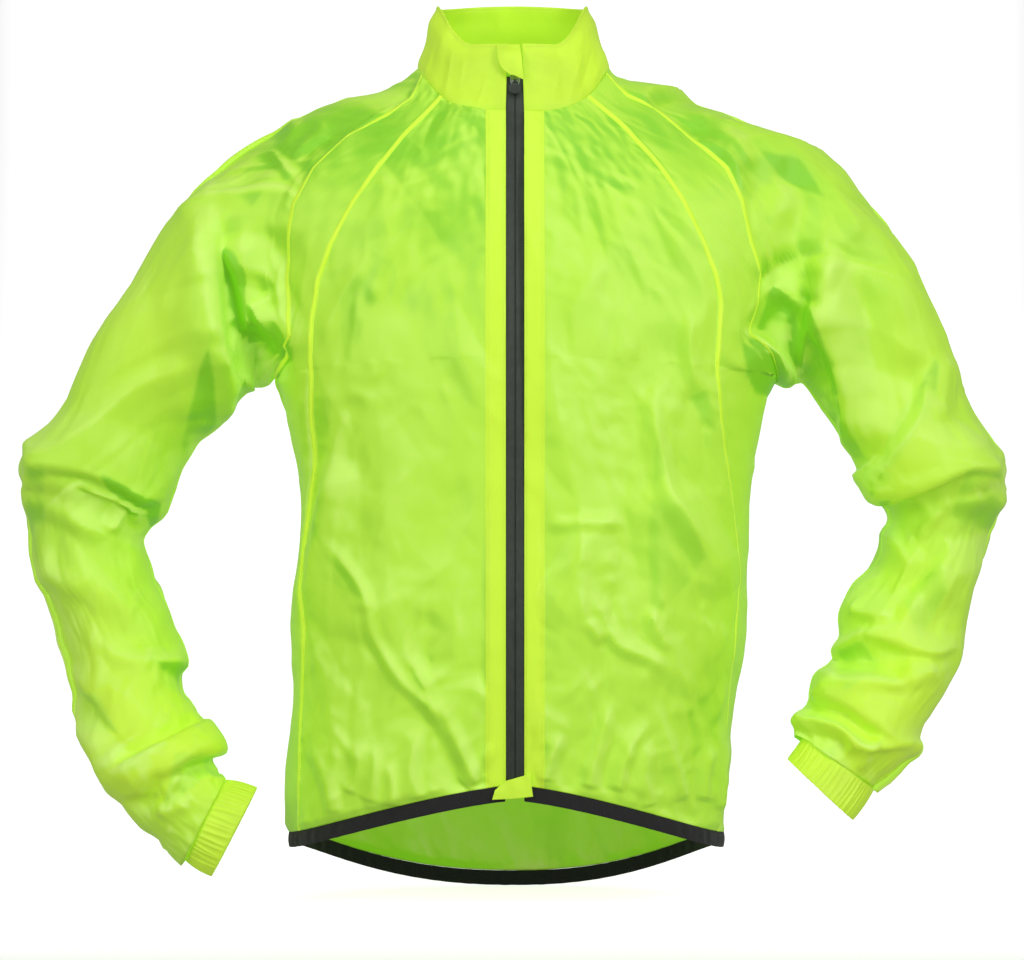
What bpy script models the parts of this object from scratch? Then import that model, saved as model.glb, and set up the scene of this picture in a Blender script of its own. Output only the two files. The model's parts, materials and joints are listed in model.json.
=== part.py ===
"""Light rain jacket with raglan sleeves and a full front zip, worn but empty, elbows out.

Metres, +Z up. X runs across the chest, towards the jacket's left side, and -Y is the front.
The origin is the middle of the neck, level with the shoulders' neck points, which carry the jacket.
"""

import math

import bmesh
import bpy
import numpy as np

# ---------------------------------------------------------------- driving dimensions
CLOTH = 0.0015  # wall of every cloth panel
BAND_CLOTH = 0.0020  # doubled cloth with elastic: cuffs, hem band
SEAM_GAP = 0.00022  # each edge is drawn back by this from the seam line
SLEEVE_SEAM_GAP = 0.00035  # and a sleeve's edge at the armhole by this
LAYER_GAP = 0.0004  # between layers that lie on each other

ROUNDNESS = 2.3  # power of the body's rounded sections, where 2 is an ellipse
SLEEVE_ROUNDNESS = 2.15
BACK_ARCH = 2.0

ZIP_HALF = 0.0078  # half of the zip's visible width
TAPE_HALF = 0.0135  # a tape's reach under the front edge
TAPE_SPLIT = 0.0002
TAPE_DROP = 0.0048  # the tapes end this far below the slider's top
TAPE_THICK = 0.0010
COIL_HALF = 0.0026
COIL_THICK = 0.0022
FACING_REACH = 0.0250  # the folded front edge, from the middle
FACING_SHARES = (0.0, 0.34, 0.67, 0.995)  # rows of the folded edge up the collar
HEM_BAND_HEIGHT = 0.0135

ARMPIT_LEVEL = 0.567  # share of the body's rows, from hem to collar
ARMPIT_TURN = 0.050  # levels over which the sleeve seam turns under the arm

EVENING_PASSES = 300
EVENING_STEP = 0.3
SEAM_MARGIN = 0.012  # the sleeve runs on from the body's form this far past its seam
SEAM_PULL = 0.6  # how far the sleeve leaves its seam squarely rather than straight for the armhole
UNDERARM_TURN = 1.1  # within this turn of the armpit the sleeve breaks straight off the body
RIGHT_SHOULDER_DIP = 0.0045  # how far the sleeve's top sinks below an even blend, between collar and armhole
LEFT_SHOULDER_DIP = 0.0015
BODY_ROWS_BELOW = 9
RAGLAN_ROWS = 7
RAGLAN_CROWDING = 1.25  # above 1, rows lie closer towards the collar
ARMPIT_ROWS = 2
COLLAR_COLUMNS_ON_SLEEVE = 2
FRONT_COLUMNS = 7
SIDE_COLUMNS = 3
BACK_COLUMNS = 12
COLLAR_ROWS = 3
SHOULDER_RINGS = 5
TOP_CROWDING = 1.75  # how much closer a sleeve's columns lie along its top at the armhole
CROWDED_ROWS = 6  # rows over which they spread out again
SLEEVE_RINGS = 19
SHARP_ABOVE = math.radians(40)  # faces that meet more sharply than this keep a hard edge

# ---------------------------------------------------------------- tables
# Body rows, from the hem to the collar seam. front_z, side_z and back_z are a row's heights, arch shapes it
# between front and side, right and left are half widths, front and back are depths from the neck's middle.
BODY_COLUMNS = ("front_z", "side_z", "back_z", "arch", "right", "left", "front", "back")
BODY_ROWS = (
    (-0.611, -0.660, -0.708, 1.2, 0.199, 0.184, 0.128, 0.133),
    (-0.565, -0.612, -0.650, 1.2, 0.200, 0.187, 0.134, 0.131),
    (-0.510, -0.550, -0.580, 1.3, 0.195, 0.192, 0.138, 0.127),
    (-0.455, -0.485, -0.505, 1.4, 0.198, 0.204, 0.139, 0.122),
    (-0.398, -0.418, -0.430, 1.5, 0.189, 0.205, 0.137, 0.120),
    (-0.343, -0.358, -0.362, 1.6, 0.188, 0.207, 0.136, 0.125),
    (-0.289, -0.302, -0.300, 1.8, 0.200, 0.216, 0.136, 0.134),
    (-0.238, -0.252, -0.245, 2.0, 0.213, 0.230, 0.134, 0.140),
    (-0.188, -0.195, -0.185, 2.0, 0.226, 0.240, 0.128, 0.142),
    (-0.142, -0.135, -0.125, 2.2, 0.236, 0.245, 0.119, 0.138),
    (-0.102, -0.078, -0.070, 2.5, 0.222, 0.228, 0.108, 0.126),
    (-0.066, -0.030, -0.026, 3.0, 0.160, 0.160, 0.096, 0.105),
    (-0.035, 0.010, 0.018, 3.4, 0.085, 0.083, 0.084, 0.079),
)

# Seams of the front, seen from the front: how far from the middle at each height.
# inner joins front and side panel, outer joins side panel and sleeve.
FRONT_SEAM_COLUMNS = ("z", "inner", "outer")
RIGHT_FRONT_SEAMS = (
    (-0.660, 0.187, 0.200),
    (-0.560, 0.184, 0.200),
    (-0.470, 0.183, 0.200),
    (-0.408, 0.180, 0.200),
    (-0.343, 0.174, 0.200),
    (-0.300, 0.177, 0.200),
    (-0.245, 0.1765, 0.188),
    (-0.214, 0.175, 0.1945),
    (-0.179, 0.169, 0.1995),
    (-0.150, 0.158, 0.1975),
    (-0.114, 0.139, 0.1905),
    (-0.082, 0.117, 0.174),
    (-0.053, 0.093, 0.144),
    (-0.037, 0.078, 0.111),
    (-0.020, 0.063, 0.090),
    (0.006, 0.050, 0.079),
)
LEFT_FRONT_SEAMS = (
    (-0.660, 0.176, 0.200),
    (-0.530, 0.187, 0.200),
    (-0.440, 0.194, 0.200),
    (-0.383, 0.188, 0.200),
    (-0.329, 0.180, 0.200),
    (-0.300, 0.176, 0.200),
    (-0.254, 0.174, 0.197),
    (-0.200, 0.177, 0.2095),
    (-0.175, 0.172, 0.2115),
    (-0.145, 0.160, 0.203),
    (-0.110, 0.143, 0.196),
    (-0.082, 0.124, 0.182),
    (-0.049, 0.097, 0.145),
    (-0.030, 0.076, 0.124),
    (-0.018, 0.062, 0.098),
    (0.006, 0.050, 0.078),
)
# Seams of the back as angles round the body, in degrees from the middle front: side_back joins side panel and
# back under the arm, and raglan joins back and sleeve above it.
BACK_SEAM_COLUMNS = ("level", "side_back", "raglan")
BACK_SEAMS = (
    (0.00, 112.0, 100.0),
    (0.45, 106.0, 100.0),
    (0.567, 92.0, 92.0),
    (0.617, 110.0, 113.0),
    (0.70, 110.0, 114.0),
    (0.85, 110.0, 120.0),
    (1.00, 110.0, 128.0),
)

# Sleeve sections from armhole to cuff seam: outer and inner points of the outline seen from the front,
# the section's middle depth y and its full depth.
SLEEVE_COLUMNS = ("outer_x", "outer_z", "inner_x", "inner_z", "y", "depth")
RIGHT_SLEEVE = (
    (-0.240, -0.060, -0.237, -0.270, 0.004, 0.150),
    (-0.286, -0.095, -0.244, -0.277, 0.006, 0.142),
    (-0.312, -0.134, -0.250, -0.288, 0.008, 0.138),
    (-0.339, -0.180, -0.259, -0.303, 0.010, 0.134),
    (-0.362, -0.223, -0.276, -0.316, 0.013, 0.132),
    (-0.381, -0.260, -0.288, -0.330, 0.016, 0.132),
    (-0.399, -0.297, -0.299, -0.350, 0.018, 0.134),
    (-0.418, -0.326, -0.304, -0.367, 0.020, 0.138),
    (-0.430, -0.345, -0.310, -0.386, 0.020, 0.141),
    (-0.426, -0.362, -0.322, -0.400, 0.019, 0.124),
    (-0.429, -0.390, -0.326, -0.412, 0.017, 0.122),
    (-0.429, -0.424, -0.319, -0.434, 0.010, 0.120),
    (-0.412, -0.455, -0.309, -0.458, 0.002, 0.116),
    (-0.399, -0.486, -0.293, -0.487, -0.008, 0.112),
    (-0.388, -0.517, -0.284, -0.516, -0.018, 0.108),
    (-0.384, -0.553, -0.280, -0.546, -0.030, 0.106),
    (-0.374, -0.588, -0.266, -0.570, -0.044, 0.106),
    (-0.349, -0.610, -0.256, -0.585, -0.052, 0.102),
    (-0.330, -0.630, -0.257, -0.600, -0.058, 0.088),
    (-0.318, -0.653, -0.252, -0.607, -0.064, 0.080),
    (-0.284, -0.680, -0.250, -0.611, -0.070, 0.066),
)
LEFT_SLEEVE = (
    (0.248, -0.060, 0.257, -0.272, 0.004, 0.150),
    (0.293, -0.095, 0.264, -0.280, 0.006, 0.142),
    (0.326, -0.127, 0.272, -0.290, 0.008, 0.138),
    (0.349, -0.167, 0.279, -0.302, 0.010, 0.134),
    (0.366, -0.209, 0.286, -0.314, 0.013, 0.132),
    (0.387, -0.248, 0.295, -0.327, 0.016, 0.132),
    (0.401, -0.285, 0.304, -0.340, 0.018, 0.134),
    (0.418, -0.319, 0.309, -0.356, 0.020, 0.138),
    (0.430, -0.341, 0.314, -0.372, 0.020, 0.141),
    (0.425, -0.358, 0.324, -0.387, 0.019, 0.124),
    (0.425, -0.394, 0.319, -0.408, 0.017, 0.122),
    (0.412, -0.428, 0.304, -0.431, 0.010, 0.120),
    (0.400, -0.458, 0.290, -0.457, 0.002, 0.116),
    (0.392, -0.490, 0.285, -0.484, -0.008, 0.112),
    (0.384, -0.515, 0.282, -0.510, -0.018, 0.110),
    (0.365, -0.544, 0.265, -0.535, -0.032, 0.108),
    (0.346, -0.570, 0.255, -0.556, -0.044, 0.106),
    (0.340, -0.590, 0.251, -0.566, -0.054, 0.098),
    (0.310, -0.619, 0.250, -0.574, -0.064, 0.066),
)
# The cuffs, from the sleeve's seam to its outer edge.
RIGHT_CUFF = (
    (-0.284, -0.680, -0.250, -0.611, -0.070, 0.066),
    (-0.273, -0.687, -0.237, -0.613, -0.074, 0.066),
    (-0.261, -0.693, -0.222, -0.617, -0.078, 0.068),
)
LEFT_CUFF = (
    (0.310, -0.619, 0.250, -0.574, -0.064, 0.066),
    (0.301, -0.632, 0.243, -0.584, -0.069, 0.064),
    (0.291, -0.645, 0.235, -0.593, -0.074, 0.066),
)

# Collar rings from the seam to the top edge, and the top edge's heights.
COLLAR_COLUMNS = ("share", "right", "left", "front", "back")
COLLAR_RINGS = (
    (0.00, 0.085, 0.083, 0.084, 0.079),
    (0.40, 0.078, 0.075, 0.077, 0.072),
    (0.75, 0.075, 0.070, 0.071, 0.066),
    (1.00, 0.068, 0.063, 0.066, 0.062),
)
COLLAR_TOP_FRONT = 0.025
COLLAR_TOP_SIDE = 0.063
COLLAR_TOP_BACK = 0.072
COLLAR_RISE_FROM = math.radians(28)  # the top edge is level up to here
COLLAR_RISE_TO = math.radians(80)

# The largest soft folds, seen from the front (face -1) or the back (face 1): the fold's line, its half width
# and how far it stands out, or in where negative.
FOLD_COLUMNS = ("face", "x0", "z0", "x1", "z1", "width", "height")
FOLDS = (
    (-1, -0.272, -0.110, -0.266, -0.270, 0.016, 0.009),
    (-1, -0.244, -0.150, -0.238, -0.240, 0.018, -0.005),
    (-1, 0.252, -0.160, 0.240, -0.235, 0.018, -0.005),
    (-1, 0.272, -0.150, 0.266, -0.270, 0.016, 0.008),
    (-1, 0.300, -0.170, 0.318, -0.310, 0.016, -0.007),
    (-1, -0.400, -0.400, -0.330, -0.470, 0.014, 0.006),
    (-1, 0.392, -0.440, 0.300, -0.470, 0.014, 0.006),
    (-1, -0.150, -0.330, -0.185, -0.480, 0.020, 0.006),
    (-1, 0.120, -0.350, 0.185, -0.450, 0.022, 0.007),
    (1, -0.130, -0.200, -0.030, -0.330, 0.024, 0.007),
    (1, 0.130, -0.200, 0.030, -0.330, 0.024, 0.007),
    (1, -0.262, -0.130, -0.256, -0.250, 0.018, -0.006),
    (1, 0.270, -0.130, 0.264, -0.250, 0.018, -0.006),
    (1, -0.100, -0.470, 0.060, -0.520, 0.026, 0.007),
)

# Zip slider and pull tab
SLIDER_TOP = 0.0010
SLIDER_LENGTH = 0.0135
SLIDER_HALF = 0.0042
SLIDER_PLATE = 0.0012
BAIL_DROP = 0.0030  # from the slider's lower end up to the bail's axis
BAIL_RADIUS = 0.0006
BAIL_POST = 0.0009
BAIL_HALF = 0.0026
SLIDER_NECK = 0.0030
BAIL_STAND = 0.0026  # from the slider's face out to the bail's axis
EYE_HALF = 0.0013
EYE_HOLE = 0.0011
EYE_OUTER = 0.0020
PULL_LENGTH = 0.0110
PULL_HALF = 0.0047
PULL_THICK = 0.0016
BITE = 0.0003  # how far joined pieces run into each other

# Zip garage: its two side edges seen from the front, from the collar's top edge down
FLAP_THICK = 0.0010
GARAGE_STAND = 0.0062
GARAGE_COLUMNS = ("right_x", "right_z", "left_x", "left_z", "lift")
GARAGE = (
    (-0.0191, 0.0240, 0.0050, 0.0240, 0.00),
    (-0.0167, 0.0155, 0.0062, 0.0145, 0.80),
    (-0.0145, 0.0062, 0.0070, 0.0045, 1.00),
    (-0.0120, 0.0012, 0.0075, -0.0028, 1.00),
    (-0.0085, -0.0023, 0.0078, -0.0072, 1.00),
    (-0.0040, -0.0048, 0.0080, -0.0096, 1.00),
)
# Hem flap: points of its lower and upper edge seen from the front
GARAGE_STEPS = 5
HEM_FLAP_STAND = 0.0026
HEM_FLAP_COLUMNS = ("low_x", "low_z", "high_x", "high_z")
HEM_FLAP = (
    (-0.0195, -0.6232, -0.0170, -0.6150),
    (-0.0100, -0.6228, -0.0090, -0.6080),
    (-0.0017, -0.6224, -0.0020, -0.6055),
    (0.0080, -0.6214, 0.0060, -0.6032),
    (0.0153, -0.6205, 0.0125, -0.6015),
)

# Colours as measured on the real cloth, then roughness and metallic value
FLUORESCENT = ((0.42, 0.86, 0.04), 0.45, 0.0)
FLUORESCENT_DOUBLE = ((0.60, 0.95, 0.03), 0.50, 0.0)
BLACK_RUBBER = ((0.030, 0.036, 0.030), 0.45, 0.0)
BLACK_ELASTIC = ((0.022, 0.022, 0.022), 0.85, 0.0)
GREY_METAL = ((0.45, 0.46, 0.46), 0.35, 1.0)


# ---------------------------------------------------------------- reading the tables
def smooth_at(values, place):
    """The smooth curve through values (rows, ...) at a fractional row number."""
    values = np.asarray(values, float)
    last = len(values) - 1
    place = np.clip(np.asarray(place, float), 0, last)
    low = np.minimum(place.astype(int), last - 1)
    t = (place - low).reshape(place.shape + (1,) * (values.ndim - 1))
    a = values[np.maximum(low - 1, 0)]
    b = values[low]
    c = values[low + 1]
    d = values[np.minimum(low + 2, last)]
    return b + 0.5 * t * (c - a + t * (2 * a - 5 * b + 4 * c - d + t * (3 * (b - c) + d - a)))


def column(columns, rows, name):
    return np.array([row[columns.index(name)] for row in rows])


def between(columns, rows, key, name, at):
    """A column read as straight runs between rows, at a value of the key column."""
    return np.interp(at, column(columns, rows, key), column(columns, rows, name))


def eased(t):
    t = np.clip(t, 0, 1)
    return t * t * (3 - 2 * t)


def power(value, exponent):
    return np.sign(value) * np.abs(value) ** exponent


def unit(vectors):
    return vectors / np.maximum(np.linalg.norm(vectors, axis=-1, keepdims=True), 1e-12)


# ---------------------------------------------------------------- the body's form
def body(angle, level):
    """Points of the body's form. angle is 0 at the middle front and positive towards the jacket's left side."""
    angle, level = np.broadcast_arrays(np.asarray(angle, float), np.asarray(level, float))
    row = smooth_at(BODY_ROWS, level * (len(BODY_ROWS) - 1))
    at = {name: row[..., i] for i, name in enumerate(BODY_COLUMNS)}
    sine, cosine = np.sin(angle), np.cos(angle)
    half = np.where(sine > 0, at["left"], at["right"])
    depth = np.where(cosine > 0, at["front"], at["back"])
    end = np.where(cosine > 0, at["front_z"], at["back_z"])
    arch = np.where(cosine > 0, at["arch"], BACK_ARCH)
    x = half * power(sine, 2 / ROUNDNESS)
    y = -depth * power(cosine, 2 / ROUNDNESS)
    z = end + (at["side_z"] - end) * np.abs(sine) ** arch
    return np.stack([x, y, z], -1)


def body_normal(angle, level):
    step = 1e-3
    across = body(angle + step, level) - body(angle - step, level)
    up = body(angle, np.minimum(level + step, 1)) - body(angle, np.maximum(level - step, 0))
    return unit(np.cross(across, up))


def angle_at(x, level, side):
    """The angle at which the body's front lies x from the middle, at a level."""
    name = "left" if side > 0 else "right"
    half = smooth_at(column(BODY_COLUMNS, BODY_ROWS, name), level * (len(BODY_ROWS) - 1))
    return side * np.arcsin(np.clip(np.abs(x) / half, 0, 0.9995) ** (ROUNDNESS / 2))


def front_seam(level, side, name):
    """The angle of the inner or outer front seam at each level: where the body is as wide as the table says."""
    rows = LEFT_FRONT_SEAMS if side > 0 else RIGHT_FRONT_SEAMS
    level = np.asarray(level, float)
    low, high = np.full(level.shape, math.radians(15)), np.full(level.shape, math.radians(89))
    for _ in range(30):
        middle = (low + high) / 2
        place = body(side * middle, level)
        wide = np.abs(place[..., 0]) > between(FRONT_SEAM_COLUMNS, rows, "z", name, place[..., 2])
        low, high = np.where(wide, low, middle), np.where(wide, middle, high)
    return side * (low + high) / 2


def raglan_front(level, side):
    """The sleeve seam's angle on the front. It turns under the arm just above the armpit."""
    level = np.asarray(level, float)
    turned = ARMPIT_LEVEL + ARMPIT_TURN
    high = front_seam(np.maximum(level, turned), side, "outer")
    share = np.clip((level - ARMPIT_LEVEL) / ARMPIT_TURN, 0, 1) ** 0.5
    low = side * back_seam(ARMPIT_LEVEL, "raglan")
    return low + (high - low) * share


def back_seam(level, name):
    return np.radians(between(BACK_SEAM_COLUMNS, BACK_SEAMS, "level", name, level))


def raglan_back(level, side):
    level = np.asarray(level, float)
    turned = ARMPIT_LEVEL + ARMPIT_TURN
    high = back_seam(np.maximum(level, turned), "raglan")
    share = np.clip((level - ARMPIT_LEVEL) / ARMPIT_TURN, 0, 1) ** 0.5
    low = back_seam(ARMPIT_LEVEL, "raglan")
    return side * (low + (high - low) * share)


def body_levels():
    """Levels of the body's rows: even up to the armpit, close where the seam turns, then even to the collar."""
    below = np.linspace(0, ARMPIT_LEVEL, BODY_ROWS_BELOW + 1)
    turn = ARMPIT_LEVEL + ARMPIT_TURN * (np.arange(1, ARMPIT_ROWS + 1) / ARMPIT_ROWS) ** 2
    up = np.arange(1, RAGLAN_ROWS + 1) / RAGLAN_ROWS
    above = turn[-1] + (1 - turn[-1]) * (1 - (1 - up) ** RAGLAN_CROWDING)
    return np.concatenate([below, turn, above])


# ---------------------------------------------------------------- collar
def collar_height(angle):
    """(seam height, top edge height) of the collar round the neck."""
    bottom = body(angle, 1.0)[..., 2]
    away = np.abs((angle + math.pi) % (2 * math.pi) - math.pi)
    rise = eased((away - COLLAR_RISE_FROM) / (COLLAR_RISE_TO - COLLAR_RISE_FROM))
    back = eased((away - COLLAR_RISE_TO) / (math.pi - COLLAR_RISE_TO))
    top = COLLAR_TOP_FRONT + (COLLAR_TOP_SIDE - COLLAR_TOP_FRONT) * rise
    return bottom, top + (COLLAR_TOP_BACK - COLLAR_TOP_SIDE) * back


def collar(angle, share):
    angle, share = np.broadcast_arrays(np.asarray(angle, float), np.asarray(share, float))
    shares = column(COLLAR_COLUMNS, COLLAR_RINGS, "share")
    place = np.interp(share, shares, np.arange(len(shares)))
    row = smooth_at(COLLAR_RINGS, place)
    at = {name: row[..., i] for i, name in enumerate(COLLAR_COLUMNS)}
    sine, cosine = np.sin(angle), np.cos(angle)
    half = np.where(sine > 0, at["left"], at["right"])
    depth = np.where(cosine > 0, at["front"], at["back"])
    bottom, top = collar_height(angle)
    x = half * power(sine, 2 / ROUNDNESS)
    y = -depth * power(cosine, 2 / ROUNDNESS)
    return np.stack([x, y, bottom + (top - bottom) * share], -1)


def collar_normal(angle, share):
    step = 1e-3
    across = collar(angle + step, share) - collar(angle - step, share)
    up = collar(angle, np.minimum(share + step, 1)) - collar(angle, np.maximum(share - step, 0))
    return unit(np.cross(across, up))


def neck_normal(angle):
    """The normal that every piece shares along the collar seam."""
    return unit(body_normal(angle, 0.999) + collar_normal(angle, 0.001))


# ---------------------------------------------------------------- sleeves
def sleeve_section(row, turn):
    """One ring. turn is 0 at the outer point, a quarter at the front, a half at the inner point."""
    at = dict(zip(SLEEVE_COLUMNS, row))
    outer = np.array([at["outer_x"], at["y"], at["outer_z"]])
    inner = np.array([at["inner_x"], at["y"], at["inner_z"]])
    middle, chord = (outer + inner) / 2, (outer - inner) / 2
    deep = np.array([0, -at["depth"] / 2, 0])
    cosine = power(np.cos(turn), 2 / SLEEVE_ROUNDNESS)[:, None]
    sine = power(np.sin(turn), 2 / SLEEVE_ROUNDNESS)[:, None]
    return middle + cosine * chord + sine * deep


def armhole(side):
    """The sleeve seam as a closed loop, from the collar's side over the front, the armpit and the back: its
    points, its normals, those of the form beside it, and its number of columns on the front half."""
    levels = body_levels()[BODY_ROWS_BELOW:][::-1]
    front_top, back_top = raglan_front(1.0, side), raglan_back(1.0, side)
    top = (front_top + back_top) / 2
    half = COLLAR_COLUMNS_ON_SLEEVE
    to_front = np.linspace(top, front_top, half + 1)[:-1]
    from_back = np.linspace(back_top, top, half + 1)[:-1]
    angles = [to_front, raglan_front(levels, side), raglan_back(levels[::-1][1:], side), from_back[1:]]
    heights = [np.ones(half), levels, levels[::-1][1:], np.ones(half - 1)]
    angle, level = np.concatenate(angles), np.concatenate(heights)
    points = body(angle, level)
    at_neck = (level > 0.9999)[:, None]
    normals = np.where(at_neck, neck_normal(angle), body_normal(angle, np.minimum(level, 0.999)))
    lie = np.where(at_neck, body_normal(angle, 0.95), normals)
    return points, normals, lie, half + len(levels) - 1


def column_turns(front, around, crowding):
    """The columns' turns round the arm. Above 1, crowding brings them together along the top of the arm."""
    down = math.pi * (np.arange(front) / front) ** crowding
    up = 2 * math.pi - math.pi * (np.arange(around - front, 0, -1) / (around - front)) ** crowding
    return np.concatenate([down, up])


def sleeve_grid(side):
    """(points, normals) of the whole sleeve: rings from the armhole to the cuff seam, columns round the arm."""
    rows = LEFT_SLEEVE if side > 0 else RIGHT_SLEEVE
    start, start_normals, lie, front = armhole(side)
    places = np.linspace(0, len(rows) - 1, SLEEVE_RINGS)
    sections = []
    for place, row in zip(places, smooth_at(rows, places)):
        crowding = 1 + (TOP_CROWDING - 1) * max(0, 1 - place / CROWDED_ROWS)
        turn = column_turns(front, len(start), crowding)
        sections.append(sleeve_section(row, turn))
    first, second = sections[:2]
    turn = column_turns(front, len(start), TOP_CROWDING)
    chord = first - start
    reach = np.linalg.norm(chord, axis=1, keepdims=True)
    level_chord = unit(chord - (chord * lie).sum(1, keepdims=True) * lie)
    seam = unit(np.roll(start, -1, axis=0) - np.roll(start, 1, axis=0))
    across = -side * unit(np.cross(seam, lie))
    under_arm = 1 - np.clip(np.abs(turn - math.pi) / UNDERARM_TURN, 0, 1)[:, None]
    leave = unit((1 - under_arm) * unit(level_chord + SEAM_PULL * across) + under_arm * unit(chord))
    arrive = unit(second - first) * reach
    near = start + leave * np.minimum(SEAM_MARGIN, 0.4 * reach)
    shoulder = [start]
    for share in np.arange(SHOULDER_RINGS - 1) / (SHOULDER_RINGS - 1):
        a, b = 2 * share**3 - 3 * share**2 + 1, share**3 - 2 * share**2 + share
        c, d = 3 * share**2 - 2 * share**3, share**3 - share**2
        blend = a * near + b * leave * reach + c * first + d * arrive
        shoulder.append(blend)
    points = evened(np.stack(shoulder + sections), 1 - 0.9 * under_arm)
    share = np.arange(1, SHOULDER_RINGS) / SHOULDER_RINGS
    dip = LEFT_SHOULDER_DIP if side > 0 else RIGHT_SHOULDER_DIP
    points[1:SHOULDER_RINGS, :, 2] -= dip * np.sin(math.pi * share)[:, None] * np.maximum(np.cos(turn), 0) ** 4
    normals = ring_normals(points, side)
    normals[0] = start_normals
    return points, normals, front


def bent(points):
    """How far each point lies from the mean of its four neighbours."""
    apart = np.zeros(points.shape)
    around = np.roll(points, 1, axis=1) + np.roll(points, -1, axis=1)
    apart[1:-1] = (around[1:-1] + points[:-2] + points[2:]) / 4 - points[1:-1]
    return apart


def evened(points, freedom):
    """The tube with its shoulder's bending evened out, between the rings by the seam and those of the arm.
    freedom says how far each column takes part."""
    settled = points.copy()
    free = slice(2, SHOULDER_RINGS + 2)
    for _ in range(EVENING_PASSES):
        settled[free] -= EVENING_STEP * bent(bent(settled))[free]
    return points + freedom * (settled - points)


def ring_normals(points, side):
    """Outward normals of a tube of rings."""
    around = np.roll(points, -1, axis=1) - np.roll(points, 1, axis=1)
    along = np.gradient(points, axis=0)
    return unit(np.cross(around, along)) * side


# ---------------------------------------------------------------- folds
def folded(points, normals):
    """The points with the largest folds added along their normals."""
    moved = np.zeros(points.shape[:-1])
    for row in FOLDS:
        fold = dict(zip(FOLD_COLUMNS, row))
        start = np.array([fold["x0"], fold["z0"]])
        line = np.array([fold["x1"], fold["z1"]]) - start
        seen = points[..., [0, 2]] - start
        along = (seen @ line) / (line @ line)
        nearest = np.clip(along, 0, 1)[..., None] * line
        off = np.linalg.norm(seen - nearest, axis=-1) / fold["width"]
        facing = eased(0.5 + 2 * fold["face"] * normals[..., 1])
        taper = eased(1.6 * (1 - np.abs(2 * np.clip(along, 0, 1) - 1)) + 0.2)
        moved += fold["height"] * np.exp(-off * off) * facing * taper
    return points + moved[..., None] * normals


# ---------------------------------------------------------------- making solids
def material(name, look):
    colour, roughness, metallic = look
    made = bpy.data.materials.new(name)
    made.use_nodes = True
    shader = made.node_tree.nodes["Principled BSDF"]
    shader.inputs["Base Color"].default_value = (*colour, 1)
    shader.inputs["Roughness"].default_value = roughness
    shader.inputs["Metallic"].default_value = metallic
    made.diffuse_color = (*colour, 1)
    return made


def add_object(name, mesh, look):
    piece = bpy.data.objects.new(name, mesh)
    bpy.context.scene.collection.objects.link(piece)
    mesh.materials.append(look)
    mesh.shade_smooth()
    mesh.set_sharp_from_angle(angle=SHARP_ABOVE)
    return piece


def mesh_of(name, points, faces):
    mesh = bpy.data.meshes.new(name)
    mesh.from_pydata([tuple(p) for p in points], [], faces)
    made = bmesh.new()
    made.from_mesh(mesh)
    bmesh.ops.recalc_face_normals(made, faces=made.faces)
    if made.calc_volume(signed=True) < 0:
        bmesh.ops.reverse_faces(made, faces=made.faces)
    made.to_mesh(mesh)
    made.free()
    return mesh


def drawn_back(points, edges, distance=SEAM_GAP):
    """The grid with its named edges moved inwards by the seam's gap."""
    moved = points.copy()
    if "low" in edges:
        moved[0] += unit(points[1] - points[0]) * distance
    if "high" in edges:
        moved[-1] += unit(points[-2] - points[-1]) * distance
    if "start" in edges:
        moved[:, 0] += unit(moved[:, 1] - moved[:, 0]) * distance
    if "end" in edges:
        moved[:, -1] += unit(moved[:, -2] - moved[:, -1]) * distance
    return moved


def wall(name, points, normals, thickness, look, ring=False, edges=("low", "high", "start", "end")):
    """A cloth wall: points are its outer side, and its inner side is a thickness in from them."""
    rows, columns = points.shape[:2]
    outer = drawn_back(points, edges)
    inner = outer - normals * thickness
    count = rows * columns
    across = columns if ring else columns - 1

    def at(row, col, layer):
        return layer * count + row * columns + col % columns

    faces = []
    for row in range(rows - 1):
        for col in range(across):
            a, b = at(row, col, 0), at(row, col + 1, 0)
            d, c = at(row + 1, col, 0), at(row + 1, col + 1, 0)
            for corner in ((a, b, c), (a, c, d)):
                faces.append(corner)
                faces.append([v + count for v in reversed(corner)])
    for row in (0, rows - 1):
        for col in range(across):
            rim = [at(row, col, 0), at(row, col + 1, 0), at(row, col + 1, 1), at(row, col, 1)]
            faces.append(rim if row else rim[::-1])
    if not ring:
        for col in (0, columns - 1):
            for row in range(rows - 1):
                rim = [at(row, col, 0), at(row + 1, col, 0), at(row + 1, col, 1), at(row, col, 1)]
                faces.append(rim[::-1] if col else rim)
    both = np.concatenate([outer.reshape(-1, 3), inner.reshape(-1, 3)])
    return add_object(name, mesh_of(name, both, faces), look)


# ---------------------------------------------------------------- body panels
def body_panel(name, low_angle, high_angle, levels, columns, look):
    share = np.linspace(0, 1, columns + 1)
    angle = low_angle[:, None] + (high_angle - low_angle)[:, None] * share
    level = np.broadcast_to(levels[:, None], angle.shape)
    points = body(angle, level)
    below = body_normal(angle, np.minimum(level, 0.999))
    normals = np.where((level > 0.9999)[..., None], neck_normal(angle), below)
    return wall(name, folded(points, normals), normals, CLOTH, look)


def zip_edge(levels, side):
    return angle_at(np.full(levels.shape, ZIP_HALF), levels, side)


def inner_seam(levels, side):
    return front_seam(levels, side, "inner")


def side_panel_edge(levels, side):
    """The side panel's far edge: the back seam below the armpit, the sleeve seam above it."""
    below = side * back_seam(np.minimum(levels, ARMPIT_LEVEL), "side_back")
    return np.where(levels <= ARMPIT_LEVEL, below, raglan_front(np.maximum(levels, ARMPIT_LEVEL), side))


def back_edge(levels, side):
    below = side * back_seam(np.minimum(levels, ARMPIT_LEVEL), "side_back")
    return np.where(levels <= ARMPIT_LEVEL, below, raglan_back(np.maximum(levels, ARMPIT_LEVEL), side))


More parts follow.
